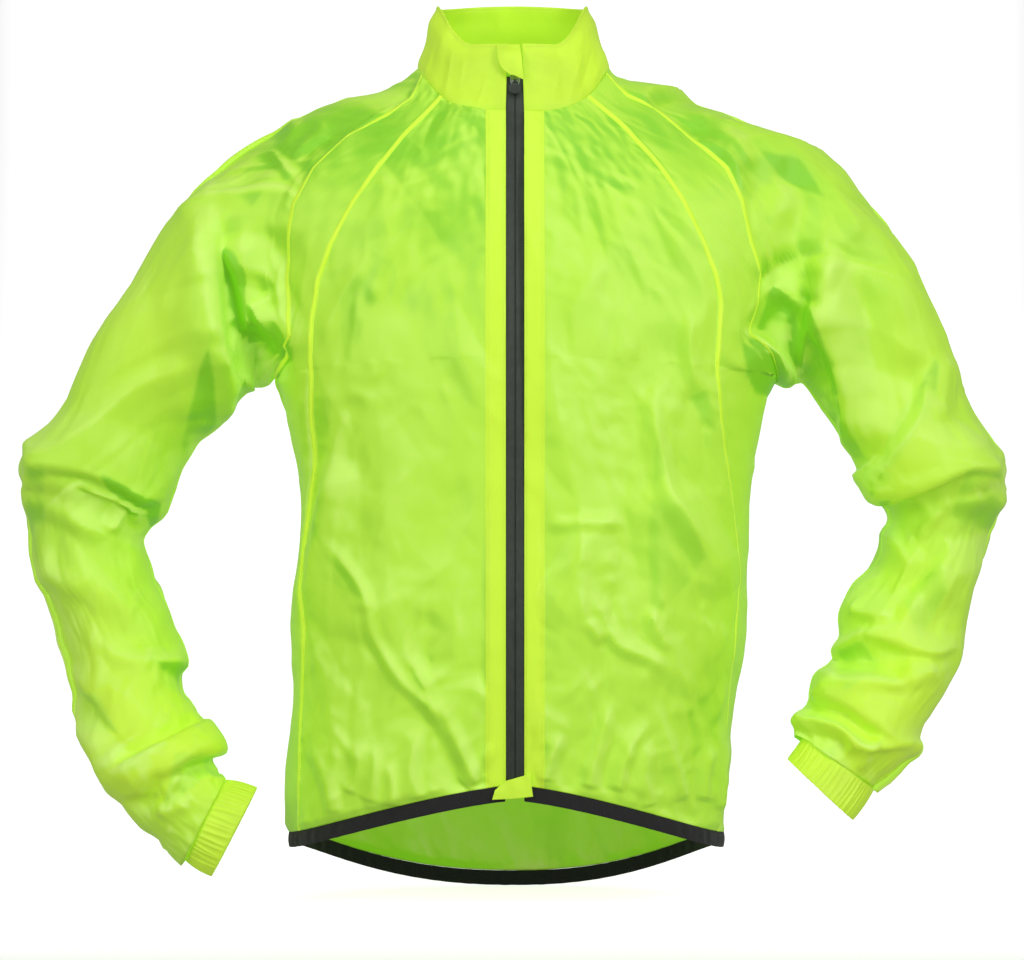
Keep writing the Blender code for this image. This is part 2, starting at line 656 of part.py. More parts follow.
def make_body(look):
    levels = body_levels()
    for side, who in ((1, "left"), (-1, "right")):
        inner = inner_seam(levels, side)
        body_panel(f"front_{who}", zip_edge(levels, side), inner, levels, FRONT_COLUMNS, look)
        body_panel(f"side_{who}", inner, side_panel_edge(levels, side), levels, SIDE_COLUMNS, look)
    left = back_edge(levels, 1)
    right = back_edge(levels, -1) + 2 * math.pi
    body_panel("back", left, right, levels, BACK_COLUMNS, look)


# ---------------------------------------------------------------- sleeves and cuffs
def make_sleeve(side, who, look):
    """Each sleeve is a front and a back piece, joined along the top of the arm and under it."""
    points, normals, front = sleeve_grid(side)
    points = folded(points, normals)
    points = np.concatenate([points, points[:, :1]], axis=1)
    normals = np.concatenate([normals, normals[:, :1]], axis=1)
    points = drawn_back(points, ("low",), SLEEVE_SEAM_GAP - SEAM_GAP)
    wall(f"sleeve_front_{who}", points[:, : front + 1], normals[:, : front + 1], CLOTH, look)
    wall(f"sleeve_back_{who}", points[:, front:], normals[:, front:], CLOTH, look)


def make_cuff(side, who, look):
    rows = LEFT_CUFF if side > 0 else RIGHT_CUFF
    turn = np.linspace(0, 2 * math.pi, len(armhole(side)[0]) + 1)[:-1]
    points = np.stack([sleeve_section(row, turn) for row in rows])
    normals = ring_normals(points, side)
    wall(f"cuff_{who}", points, normals, BAND_CLOTH, look, ring=True, edges=("low",))


# ---------------------------------------------------------------- collar, hem band and facings
def round_the_body(level, stops, counts):
    """Angles of all the panels' columns at a level, from one side of the zip to the other. stops(side) gives
    the seams' angles from the zip's side to the back, and counts the columns before each."""
    halves = []
    for side in (1, -1):
        marks = [float(zip_edge(np.array(level), 1)), *stops(side)]
        steps = [np.linspace(a, b, n + 1)[:-1] for a, b, n in zip(marks, marks[1:], counts)]
        halves.append((np.concatenate(steps), marks[-1]))
    (left, left_end), (right, right_end) = halves
    middle = np.linspace(left_end, 2 * math.pi - right_end, BACK_COLUMNS + 1)
    return np.concatenate([left, middle, 2 * math.pi - right[::-1]])


def neck_stops(side):
    return [float(side * seam(1.0, side)) for seam in (inner_seam, raglan_front, raglan_back)]


def hem_stops(side):
    return [float(side * seam(np.array(0.0), side)) for seam in (inner_seam, side_panel_edge)]


def make_collar(look):
    counts = (FRONT_COLUMNS, SIDE_COLUMNS, 2 * COLLAR_COLUMNS_ON_SLEEVE)
    around = round_the_body(1.0, neck_stops, counts)
    angle, share = np.meshgrid(around, np.linspace(0, 1, COLLAR_ROWS + 1))
    points = collar(angle, share)
    normals = collar_normal(angle, share)
    normals[0] = neck_normal(angle[0])
    wall("collar", points, normals, CLOTH, look, edges=("low",))


def make_hem_band(look):
    """The elastic band below the hem, open at the zip."""
    angle = round_the_body(0.0, hem_stops, (FRONT_COLUMNS, SIDE_COLUMNS))
    top = body(angle, np.zeros(angle.shape))
    normals = body_normal(angle, np.full(angle.shape, 0.001))
    low = top.copy()
    low[:, 2] -= HEM_BAND_HEIGHT
    wall("hem_band", np.stack([low, top]), np.stack([normals, normals]), BAND_CLOTH, look, edges=("high",))


def front_line(reach, side, levels, shares):
    """(points, normals) up the front at a distance from the middle, over the body and then the collar."""
    angle = angle_at(np.full(levels.shape, reach), levels, side)
    up_body = body(angle, levels)
    normals = body_normal(angle, np.clip(levels, 0.001, 0.999))
    top = np.full(shares.shape, float(angle_at(np.array(reach), np.array(1.0), side)))
    up_collar = collar(top, shares)
    collar_normals = collar_normal(top, np.clip(shares, 0.001, 0.999))
    return np.concatenate([up_body, up_collar]), np.concatenate([normals, collar_normals])


def front_strip(name, reach, side, inset, thickness, look, levels, shares):
    """A strip along the front, inset from the panels' outer side, such as a zip tape or a facing."""
    inner, inner_normals = front_line(reach[0], side, levels, shares)
    outer, outer_normals = front_line(reach[1], side, levels, shares)
    points = np.stack([inner - inner_normals * inset, outer - outer_normals * inset], 1)
    normals = np.stack([inner_normals, outer_normals], 1)
    return wall(name, points, normals, thickness, look, edges=())


def strip_levels():
    """The body's levels without the last, where the collar's rows begin."""
    return body_levels()[:-1]


def collar_share(z):
    """The collar's share at a height, in the middle front."""
    bottom, top = collar_height(np.array(0.0))
    return float((z - bottom) / (top - bottom))


def make_zip(tape_look, coil_look):
    tape_inset = CLOTH + LAYER_GAP
    coil_inset = tape_inset + TAPE_THICK + LAYER_GAP
    levels = strip_levels()
    shares = collar_share(SLIDER_TOP - TAPE_DROP) * np.array([0.0, 0.5, 1.0])
    for side, who in ((1, "left"), (-1, "right")):
        reach = (TAPE_SPLIT, TAPE_HALF)
        front_strip(f"zip_tape_{who}", reach, side, tape_inset, TAPE_THICK, tape_look, levels, shares)
    left, left_normals = front_line(COIL_HALF, 1, levels, shares)
    right, right_normals = front_line(COIL_HALF, -1, levels, shares)
    points = np.stack([right - right_normals * coil_inset, left - left_normals * coil_inset], 1)
    normals = np.stack([right_normals, left_normals], 1)
    wall("zip_coil", points, normals, COIL_THICK, coil_look, edges=())


def make_facings(look):
    """The front edges folded back inside, from the collar's top to the hem."""
    inset = CLOTH + LAYER_GAP + TAPE_THICK + LAYER_GAP
    shares = np.array(FACING_SHARES)
    for side, who in ((1, "left"), (-1, "right")):
        reach = (ZIP_HALF, FACING_REACH)
        front_strip(f"facing_{who}", reach, side, inset, CLOTH, look, strip_levels(), shares)


# ---------------------------------------------------------------- slider and pull tab
def slider_frame():
    """(origin, out, up) at the slider's lower end, on the zip's face: out points away from the body."""
    share = np.array(collar_share(SLIDER_TOP - SLIDER_LENGTH))
    out = collar_normal(np.array(0.0), share)
    origin = collar(np.array(0.0), share) - out * (CLOTH + LAYER_GAP)
    up = unit(np.cross(out, np.array([1.0, 0, 0])))
    return origin, out, up if up[2] > 0 else -up


def bail_axis():
    """A point on the axis on which the pull tab hangs."""
    origin, out, up = slider_frame()
    return origin + out * (LAYER_GAP + SLIDER_PLATE + BAIL_STAND) + up * BAIL_DROP


def finished(name, made, look):
    mesh = bpy.data.meshes.new(name)
    bmesh.ops.recalc_face_normals(made, faces=made.faces)
    made.to_mesh(mesh)
    made.free()
    return add_object(name, mesh, look)


def plate(name, outline, near, far, frame, look):
    """A plate in a frame: outline is in across and up, near and far are its faces along out."""
    origin, out, up = frame
    across = np.array([1.0, 0, 0])
    made = bmesh.new()
    layers = []
    for depth in (near, far):
        layers.append([made.verts.new(origin + across * x + out * depth + up * z) for x, z in outline])
    count = len(outline)
    for i in range(count):
        j = (i + 1) % count
        made.faces.new([layers[0][i], layers[0][j], layers[1][j], layers[1][i]])
    made.faces.new(layers[0][::-1])
    made.faces.new(layers[1])
    return finished(name, made, look)


def rod(name, centre, half, radius, sides, look):
    """A closed rod along X."""
    made = bmesh.new()
    rings = []
    for x in (-half, half):
        turns = [2 * math.pi * i / sides for i in range(sides)]
        ring = [(x, radius * math.cos(turn), radius * math.sin(turn)) for turn in turns]
        rings.append([made.verts.new(centre + np.array(point)) for point in ring])
    for i in range(sides):
        j = (i + 1) % sides
        made.faces.new([rings[0][i], rings[0][j], rings[1][j], rings[1][i]])
    made.faces.new(rings[0][::-1])
    made.faces.new(rings[1])
    return finished(name, made, look)


def combined(piece, helper, operation):
    """Joins a helper to a piece or cuts it away, and leaves the helper out of the model."""
    helper.hide_render = True
    helper.display_type = "WIRE"
    step = piece.modifiers.new(operation.lower(), "BOOLEAN")
    step.operation = operation
    step.object = helper


def oblong(half, low, high):
    return ((-half, low), (half, low), (half, high), (-half, high))


def make_slider(look):
    """Two plates round the zip, joined at the slider's top end, with a bail for the pull tab."""
    frame = slider_frame()
    face = LAYER_GAP + SLIDER_PLATE
    back = -(TAPE_THICK + LAYER_GAP + COIL_THICK + LAYER_GAP)
    full = oblong(SLIDER_HALF, 0, SLIDER_LENGTH)
    slider = plate("slider", full, LAYER_GAP, face, frame, look)
    low = oblong(SLIDER_HALF, BITE, SLIDER_LENGTH - BITE)
    combined(slider, plate("slider_back", low, back - SLIDER_PLATE, back, frame, look), "UNION")
    neck = oblong(SLIDER_NECK, SLIDER_LENGTH - 0.0018, SLIDER_LENGTH - BITE / 2)
    combined(slider, plate("slider_neck", neck, back - BITE, LAYER_GAP + BITE, frame, look), "UNION")
    tip = face + BAIL_STAND + BAIL_POST
    for i, start in enumerate((-BAIL_HALF, BAIL_HALF - BAIL_POST)):
        end, low, high = start + BAIL_POST, BAIL_DROP - BAIL_POST, BAIL_DROP + BAIL_POST
        post = ((start, low), (end, low), (end, high), (start, high))
        combined(slider, plate(f"bail_post_{i}", post, face - BITE, tip, frame, look), "UNION")
    bar = rod("bail_bar", bail_axis(), BAIL_HALF - BAIL_POST / 2, BAIL_RADIUS, 12, look)
    combined(slider, bar, "UNION")


def make_pull(look):
    """The pull tab: an eye round the bail, and a tab that hangs from it along the zip. Its own origin is on
    the bail's axis."""
    _, out, up = slider_frame()
    middle = np.zeros(3)
    pull = rod("pull_tab", middle, EYE_HALF, EYE_OUTER, 16, look)
    half = (
        (EYE_HALF, -EYE_HOLE),
        (PULL_HALF, -0.40 * PULL_LENGTH),
        (PULL_HALF, -0.76 * PULL_LENGTH),
        (PULL_HALF * 0.70, -0.94 * PULL_LENGTH),
        (PULL_HALF * 0.25, -PULL_LENGTH),
    )
    outline = half + tuple((-x, z) for x, z in reversed(half))
    tab = plate("pull_tab_plate", outline, -PULL_THICK / 2, PULL_THICK / 2, (middle, out, up), look)
    hole = rod("pull_tab_hole", middle, 2 * EYE_HALF, EYE_HOLE, 16, look)
    combined(pull, tab, "UNION")
    combined(pull, hole, "DIFFERENCE")
    for piece in (pull, tab, hole):
        piece.location = bail_axis()


# ---------------------------------------------------------------- flaps
def make_garage(look):
    """The tongue of doubled cloth over the slider, sewn to the collar's top edge beside the zip."""
    rows, normals = [], []
    for row in GARAGE:
        at = dict(zip(GARAGE_COLUMNS, row))
        x = np.linspace(at["right_x"], at["left_x"], GARAGE_STEPS + 1)
        z = np.linspace(at["right_z"], at["left_z"], GARAGE_STEPS + 1)
        shares = np.array([collar_share(v) for v in z])
        angles = np.sign(x) * np.abs(angle_at(np.abs(x), np.array(1.0), 1))
        normal = collar_normal(angles, np.clip(shares, 0.001, 0.999))
        stand = LAYER_GAP + (GARAGE_STAND - LAYER_GAP) * at["lift"] + FLAP_THICK
        rows.append(collar(angles, np.clip(shares, 0, 1)) + normal * stand)
        normals.append(normal)
    wall("zip_garage", np.stack(rows)[::-1], np.stack(normals)[::-1], FLAP_THICK, look, edges=())


def make_hem_flap(look):
    """The scrap of front cloth that turns over the zip's lower end and the band's gap."""
    at = {name: column(HEM_FLAP_COLUMNS, HEM_FLAP, name) for name in HEM_FLAP_COLUMNS}
    share = np.linspace(0, 1, 3)[:, None]
    x = at["low_x"] + (at["high_x"] - at["low_x"]) * share
    z = at["low_z"] + (at["high_z"] - at["low_z"]) * share
    y = np.full(x.shape, body(np.array(0.0), np.array(0.01))[1] - HEM_FLAP_STAND)
    normals = np.broadcast_to([0.0, -1.0, 0.0], (*x.shape, 3))
    wall("hem_flap", np.stack([x, y, z], -1), normals, FLAP_THICK, look, edges=())


# ---------------------------------------------------------------- the jacket
def main():
    for old in list(bpy.data.objects):
        bpy.data.objects.remove(old)
    shell = material("fluorescent_shell", FLUORESCENT)
    double = material("fluorescent_double", FLUORESCENT_DOUBLE)
    rubber = material("zip_black", BLACK_RUBBER)
    elastic = material("elastic_black", BLACK_ELASTIC)
    metal = material("slider_metal", GREY_METAL)
    make_body(shell)
    for side, who in ((1, "left"), (-1, "right")):
        make_sleeve(side, who, shell)
        make_cuff(side, who, double)
    make_collar(double)
    make_hem_band(elastic)
    make_zip(rubber, rubber)
    make_facings(double)
    make_slider(metal)
    make_pull(rubber)
    make_garage(double)
    make_hem_flap(double)


main()
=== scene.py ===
"""The looks of a light rain jacket: its cloth with the folds it has when worn, its seams, zip, elastic and stage.

Metres, +Z up. X runs across the chest towards the jacket's left side and -Y is the front. The cloth follows the same
curves as the solid parts, drawn finer: folds are laid on it, and then it settles as thin cloth does.
"""

import json
import math

import bmesh
import bpy
import numpy as np
from mathutils import Matrix, Vector
from mathutils.geometry import delaunay_2d_cdt

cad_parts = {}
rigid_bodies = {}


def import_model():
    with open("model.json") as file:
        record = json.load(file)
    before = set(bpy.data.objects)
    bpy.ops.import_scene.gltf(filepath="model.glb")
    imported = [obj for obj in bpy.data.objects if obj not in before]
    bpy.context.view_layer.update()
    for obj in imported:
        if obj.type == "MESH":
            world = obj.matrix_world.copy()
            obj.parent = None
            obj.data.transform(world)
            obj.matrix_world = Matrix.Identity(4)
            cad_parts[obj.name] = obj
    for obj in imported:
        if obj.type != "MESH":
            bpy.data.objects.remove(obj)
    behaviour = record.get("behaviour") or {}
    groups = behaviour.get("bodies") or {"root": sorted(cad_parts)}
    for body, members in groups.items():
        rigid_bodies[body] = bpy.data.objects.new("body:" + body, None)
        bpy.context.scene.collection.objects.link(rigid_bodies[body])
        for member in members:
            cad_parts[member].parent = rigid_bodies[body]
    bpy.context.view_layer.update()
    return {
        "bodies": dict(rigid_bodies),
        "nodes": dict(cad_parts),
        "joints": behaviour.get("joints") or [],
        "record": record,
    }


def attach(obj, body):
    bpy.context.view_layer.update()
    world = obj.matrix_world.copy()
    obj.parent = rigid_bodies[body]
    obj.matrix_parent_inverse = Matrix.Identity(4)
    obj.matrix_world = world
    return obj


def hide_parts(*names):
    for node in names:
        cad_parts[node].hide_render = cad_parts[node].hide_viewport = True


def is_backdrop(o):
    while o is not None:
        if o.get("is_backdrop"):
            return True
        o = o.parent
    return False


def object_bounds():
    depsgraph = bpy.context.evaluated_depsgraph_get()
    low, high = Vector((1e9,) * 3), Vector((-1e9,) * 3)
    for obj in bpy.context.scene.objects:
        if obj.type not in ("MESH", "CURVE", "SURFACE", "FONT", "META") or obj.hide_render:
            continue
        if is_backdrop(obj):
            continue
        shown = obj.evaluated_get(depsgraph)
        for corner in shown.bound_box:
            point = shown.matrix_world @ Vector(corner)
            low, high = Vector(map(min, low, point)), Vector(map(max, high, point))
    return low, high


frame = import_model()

bl_info = {
    "name": "Rain jacket",
    "version": (1, 0, 0),
    "blender": (4, 5, 0),
    "location": "View3D > Sidebar > Jacket",
    "description": "Makes a light rain jacket with raglan sleeves, and the stage it is shown on",
    "category": "Object",
}

BODY = "jacket"
PULL_BODY = "pull"
SIDES = ((1, "left"), (-1, "right"))

# ---------------------------------------------------------------- the form, as in the solid parts
CLOTH = 0.0015
LAYER_GAP = 0.0004
ROUNDNESS = 2.3
SLEEVE_ROUNDNESS = 2.15
BACK_ARCH = 2.0
ZIP_HALF = 0.0078
TAPE_HALF = 0.0135
TAPE_DROP = 0.0048
TAPE_THICK = 0.0010
TAPE_CLOTH = 0.0009  # the tape's wall, as it is drawn
# Across each tape: how far from the zip's middle, and how far it bulges out
TAPE_PROFILE = (
    (0.00008, 0.0), (0.0005, 0.00045), (0.0012, 0.0007), (0.0040, 0.0006), (0.0080, 0.0005), (TAPE_HALF, 0.0004),
)
COIL_HALF = 0.0026
COIL_THICK = 0.0022
FACING_REACH = 0.0250
FACING_STEPS = (0, 0.2, 0.5, 0.8, 1)
FACING_TOP = 0.99  # share of the collar up which the folded edges run
DOUBLED_RIM = 0.0004  # how far the edges of doubled cloth are rounded
FOLDED_RIM = 0.0002
FOLDED_CLOTH = 0.0008  # wall of the folded edges, the tongue and the scrap, as it is drawn
HEM_BAND_HEIGHT = 0.0135
ELASTIC_CLOTH = 0.0016
ARMPIT_LEVEL = 0.567
ARMPIT_TURN = 0.050
EVENING_PASSES = 300
EVENING_STEP = 0.3
SEAM_MARGIN = 0.012
SEAM_PULL = 0.6
UNDERARM_TURN = 1.1
RIGHT_SHOULDER_DIP = 0.0045
LEFT_SHOULDER_DIP = 0.0015
BODY_ROWS_BELOW = 9
RAGLAN_ROWS = 7
RAGLAN_CROWDING = 1.25
ARMPIT_ROWS = 2
COLLAR_COLUMNS_ON_SLEEVE = 2
SHOULDER_RINGS = 5
TOP_CROWDING = 1.75
CROWDED_ROWS = 6
SLEEVE_RINGS = 19

# Body rows, from the hem to the collar seam. front_z, side_z and back_z are a row's heights, arch shapes it
# between front and side, right and left are half widths, front and back are depths from the neck's middle.
BODY_COLUMNS = ("front_z", "side_z", "back_z", "arch", "right", "left", "front", "back")
BODY_ROWS = (
    (-0.611, -0.660, -0.708, 1.2, 0.199, 0.184, 0.128, 0.133),
    (-0.565, -0.612, -0.650, 1.2, 0.200, 0.187, 0.134, 0.131),
    (-0.510, -0.550, -0.580, 1.3, 0.195, 0.192, 0.138, 0.127),
    (-0.455, -0.485, -0.505, 1.4, 0.198, 0.204, 0.139, 0.122),
    (-0.398, -0.418, -0.430, 1.5, 0.189, 0.205, 0.137, 0.120),
    (-0.343, -0.358, -0.362, 1.6, 0.188, 0.207, 0.136, 0.125),
    (-0.289, -0.302, -0.300, 1.8, 0.200, 0.216, 0.136, 0.134),
    (-0.238, -0.252, -0.245, 2.0, 0.213, 0.230, 0.134, 0.140),
    (-0.188, -0.195, -0.185, 2.0, 0.226, 0.240, 0.128, 0.142),
    (-0.142, -0.135, -0.125, 2.2, 0.236, 0.245, 0.119, 0.138),
    (-0.102, -0.078, -0.070, 2.5, 0.222, 0.228, 0.108, 0.126),
    (-0.066, -0.030, -0.026, 3.0, 0.160, 0.160, 0.096, 0.105),
    (-0.035, 0.010, 0.018, 3.4, 0.085, 0.083, 0.084, 0.079),
)

# Seams of the front, seen from the front: how far from the middle at each height.
# inner joins front and side panel, outer joins side panel and sleeve.
FRONT_SEAM_COLUMNS = ("z", "inner", "outer")
RIGHT_FRONT_SEAMS = (
    (-0.660, 0.187, 0.200),
    (-0.560, 0.184, 0.200),
    (-0.470, 0.183, 0.200),
    (-0.408, 0.180, 0.200),
    (-0.343, 0.174, 0.200),
    (-0.300, 0.177, 0.200),
    (-0.245, 0.1765, 0.188),
    (-0.214, 0.175, 0.1945),
    (-0.179, 0.169, 0.1995),
    (-0.150, 0.158, 0.1975),
    (-0.114, 0.139, 0.1905),
    (-0.082, 0.117, 0.174),
    (-0.053, 0.093, 0.144),
    (-0.037, 0.078, 0.111),
    (-0.020, 0.063, 0.090),
    (0.006, 0.050, 0.079),
)
LEFT_FRONT_SEAMS = (
    (-0.660, 0.176, 0.200),
    (-0.530, 0.187, 0.200),
    (-0.440, 0.194, 0.200),
    (-0.383, 0.188, 0.200),
    (-0.329, 0.180, 0.200),
    (-0.300, 0.176, 0.200),
    (-0.254, 0.174, 0.197),
    (-0.200, 0.177, 0.2095),
    (-0.175, 0.172, 0.2115),
    (-0.145, 0.160, 0.203),
    (-0.110, 0.143, 0.196),
    (-0.082, 0.124, 0.182),
    (-0.049, 0.097, 0.145),
    (-0.030, 0.076, 0.124),
    (-0.018, 0.062, 0.098),
    (0.006, 0.050, 0.078),
)
# Seams of the back as angles round the body, in degrees from the middle front: side_back joins side panel and
# back under the arm, and raglan joins back and sleeve above it.
BACK_SEAM_COLUMNS = ("level", "side_back", "raglan")
BACK_SEAMS = (
    (0.00, 112.0, 100.0),
    (0.45, 106.0, 100.0),
    (0.567, 92.0, 92.0),
    (0.617, 110.0, 113.0),
    (0.70, 110.0, 114.0),
    (0.85, 110.0, 120.0),
    (1.00, 110.0, 128.0),
)

# Sleeve sections from armhole to cuff seam: outer and inner points of the outline seen from the front,
# the section's middle depth y and its full depth.
SLEEVE_COLUMNS = ("outer_x", "outer_z", "inner_x", "inner_z", "y", "depth")
RIGHT_SLEEVE = (
    (-0.240, -0.060, -0.237, -0.270, 0.004, 0.150),
    (-0.286, -0.095, -0.244, -0.277, 0.006, 0.142),
    (-0.312, -0.134, -0.250, -0.288, 0.008, 0.138),
    (-0.339, -0.180, -0.259, -0.303, 0.010, 0.134),
    (-0.362, -0.223, -0.276, -0.316, 0.013, 0.132),
    (-0.381, -0.260, -0.288, -0.330, 0.016, 0.132),
    (-0.399, -0.297, -0.299, -0.350, 0.018, 0.134),
    (-0.418, -0.326, -0.304, -0.367, 0.020, 0.138),
    (-0.430, -0.345, -0.310, -0.386, 0.020, 0.141),
    (-0.426, -0.362, -0.322, -0.400, 0.019, 0.124),
    (-0.429, -0.390, -0.326, -0.412, 0.017, 0.122),
    (-0.429, -0.424, -0.319, -0.434, 0.010, 0.120),
    (-0.412, -0.455, -0.309, -0.458, 0.002, 0.116),
    (-0.399, -0.486, -0.293, -0.487, -0.008, 0.112),
    (-0.388, -0.517, -0.284, -0.516, -0.018, 0.108),
    (-0.384, -0.553, -0.280, -0.546, -0.030, 0.106),
    (-0.374, -0.588, -0.266, -0.570, -0.044, 0.106),
    (-0.349, -0.610, -0.256, -0.585, -0.052, 0.102),
    (-0.330, -0.630, -0.257, -0.600, -0.058, 0.088),
    (-0.318, -0.653, -0.252, -0.607, -0.064, 0.080),
    (-0.284, -0.680, -0.250, -0.611, -0.070, 0.066),
)
LEFT_SLEEVE = (
    (0.248, -0.060, 0.257, -0.272, 0.004, 0.150),
    (0.293, -0.095, 0.264, -0.280, 0.006, 0.142),
    (0.326, -0.127, 0.272, -0.290, 0.008, 0.138),
    (0.349, -0.167, 0.279, -0.302, 0.010, 0.134),
    (0.366, -0.209, 0.286, -0.314, 0.013, 0.132),
    (0.387, -0.248, 0.295, -0.327, 0.016, 0.132),
    (0.401, -0.285, 0.304, -0.340, 0.018, 0.134),
    (0.418, -0.319, 0.309, -0.356, 0.020, 0.138),
    (0.430, -0.341, 0.314, -0.372, 0.020, 0.141),
    (0.425, -0.358, 0.324, -0.387, 0.019, 0.124),
    (0.425, -0.394, 0.319, -0.408, 0.017, 0.122),
    (0.412, -0.428, 0.304, -0.431, 0.010, 0.120),
    (0.400, -0.458, 0.290, -0.457, 0.002, 0.116),
    (0.392, -0.490, 0.285, -0.484, -0.008, 0.112),
    (0.384, -0.515, 0.282, -0.510, -0.018, 0.110),
    (0.365, -0.544, 0.265, -0.535, -0.032, 0.108),
    (0.346, -0.570, 0.255, -0.556, -0.044, 0.106),
    (0.340, -0.590, 0.251, -0.566, -0.054, 0.098),
    (0.310, -0.619, 0.250, -0.574, -0.064, 0.066),
)
# The cuffs, from the sleeve's seam to its outer edge.
RIGHT_CUFF = (
    (-0.284, -0.680, -0.250, -0.611, -0.070, 0.066),
    (-0.273, -0.687, -0.237, -0.613, -0.074, 0.066),
    (-0.261, -0.693, -0.222, -0.617, -0.078, 0.068),
)
LEFT_CUFF = (
    (0.310, -0.619, 0.250, -0.574, -0.064, 0.066),
    (0.301, -0.632, 0.243, -0.584, -0.069, 0.064),
    (0.291, -0.645, 0.235, -0.593, -0.074, 0.066),
)

# Collar rings from the seam to the top edge, and the top edge's heights.
COLLAR_COLUMNS = ("share", "right", "left", "front", "back")
COLLAR_RINGS = (
    (0.00, 0.085, 0.083, 0.084, 0.079),
    (0.40, 0.078, 0.075, 0.077, 0.072),
    (0.75, 0.075, 0.070, 0.071, 0.066),
    (1.00, 0.068, 0.063, 0.066, 0.062),
)
COLLAR_TOP_FRONT = 0.025
COLLAR_TOP_SIDE = 0.063
COLLAR_TOP_BACK = 0.072
COLLAR_RISE_FROM = math.radians(28)  # the top edge is level up to here
COLLAR_RISE_TO = math.radians(80)

# The largest soft folds, seen from the front (face -1) or the back (face 1): the fold's line, its half width
# and how far it stands out, or in where negative.
FOLD_COLUMNS = ("face", "x0", "z0", "x1", "z1", "width", "height")
FOLDS = (
    (-1, -0.272, -0.110, -0.266, -0.270, 0.016, 0.009),
    (-1, -0.244, -0.150, -0.238, -0.240, 0.018, -0.005),
    (-1, 0.252, -0.160, 0.240, -0.235, 0.018, -0.005),
    (-1, 0.272, -0.150, 0.266, -0.270, 0.016, 0.008),
    (-1, 0.300, -0.170, 0.318, -0.310, 0.016, -0.007),
    (-1, -0.400, -0.400, -0.330, -0.470, 0.014, 0.006),
    (-1, 0.392, -0.440, 0.300, -0.470, 0.014, 0.006),
    (-1, -0.150, -0.330, -0.185, -0.480, 0.020, 0.006),
    (-1, 0.120, -0.350, 0.185, -0.450, 0.022, 0.007),
    (1, -0.130, -0.200, -0.030, -0.330, 0.024, 0.007),
    (1, 0.130, -0.200, 0.030, -0.330, 0.024, 0.007),
    (1, -0.262, -0.130, -0.256, -0.250, 0.018, -0.006),
    (1, 0.270, -0.130, 0.264, -0.250, 0.018, -0.006),
    (1, -0.100, -0.470, 0.060, -0.520, 0.026, 0.007),
)

# Zip slider and pull tab
SLIDER_TOP = 0.0010
SLIDER_LENGTH = 0.0135
SLIDER_HALF = 0.0042
SLIDER_PLATE = 0.0012
BAIL_DROP = 0.0030  # from the slider's lower end up to the bail's axis
BAIL_RADIUS = 0.0006
BAIL_POST = 0.0009
BAIL_HALF = 0.0026
SLIDER_NECK = 0.0030
BAIL_STAND = 0.0026  # from the slider's face out to the bail's axis
EYE_HALF = 0.0013
EYE_HOLE = 0.0011
EYE_OUTER = 0.0020
PULL_LENGTH = 0.0110
PULL_THICK = 0.0016
BITE = 0.0003  # how far joined pieces run into each other

# Zip garage: its two side edges seen from the front, from the collar's top edge down
FLAP_THICK = 0.0010
GARAGE_CELLS = 22
GARAGE_CELLS_DOWN = 26
GARAGE_STAND = 0.0062
GARAGE_COLUMNS = ("right_x", "right_z", "left_x", "left_z", "lift")
GARAGE = (
    (-0.0191, 0.0240, 0.0050, 0.0240, 0.00),
    (-0.0167, 0.0155, 0.0062, 0.0145, 0.80),
    (-0.0145, 0.0062, 0.0070, 0.0045, 1.00),
    (-0.0120, 0.0012, 0.0075, -0.0028, 1.00),
    (-0.0085, -0.0023, 0.0078, -0.0072, 1.00),
    (-0.0040, -0.0048, 0.0080, -0.0096, 1.00),
)
# Hem flap: points of its lower and then its upper edge, across and up, seen from the front
HEM_FLAP_STAND = 0.0026
HEM_FLAP_CELLS = 30
HEM_FLAP_CELLS_UP = 14
HEM_FLAP = (
    (-0.0195, -0.6232, -0.0170, -0.6150),
    (-0.0100, -0.6228, -0.0090, -0.6080),
    (-0.0017, -0.6224, -0.0020, -0.6055),
    (0.0080, -0.6214, 0.0060, -0.6032),
    (0.0153, -0.6205, 0.0125, -0.6015),
)

# ---------------------------------------------------------------- how fine the cloth is drawn
FRONT_CELLS = 20
SIDE_CELLS = 6
BACK_CELLS = 36
CELL = 10.0  # millimetres between the points of the coarsest cloth
# Steps of settling: fineness, passes, stiffness against bending, hold to the laid folds, and first bumps.
SETTLING = (
    (1, 160, 0.20, 0.004, 0.0012),
    (2, 110, 0.20, 0.004, 0.0005),
    (4, 60, 0.20, 0.004, 0.0002),
)
# How hard the threads push when they are short, and how hard the diagonals pull, against a pull of 1 along a thread
PUSH = 0.25
SHEAR = 0.35
BUMP_PASSES = 3

# Seeds of the random draws
SETTLING_SEED = 11
CREASE_SEED = 100
COLLAR_SEED = 5
CUFF_SEED = 31

# Where the folds are seen from
EYE_DISTANCE = 3.6
EYE_X = -0.0026
EYE_Z = -0.352

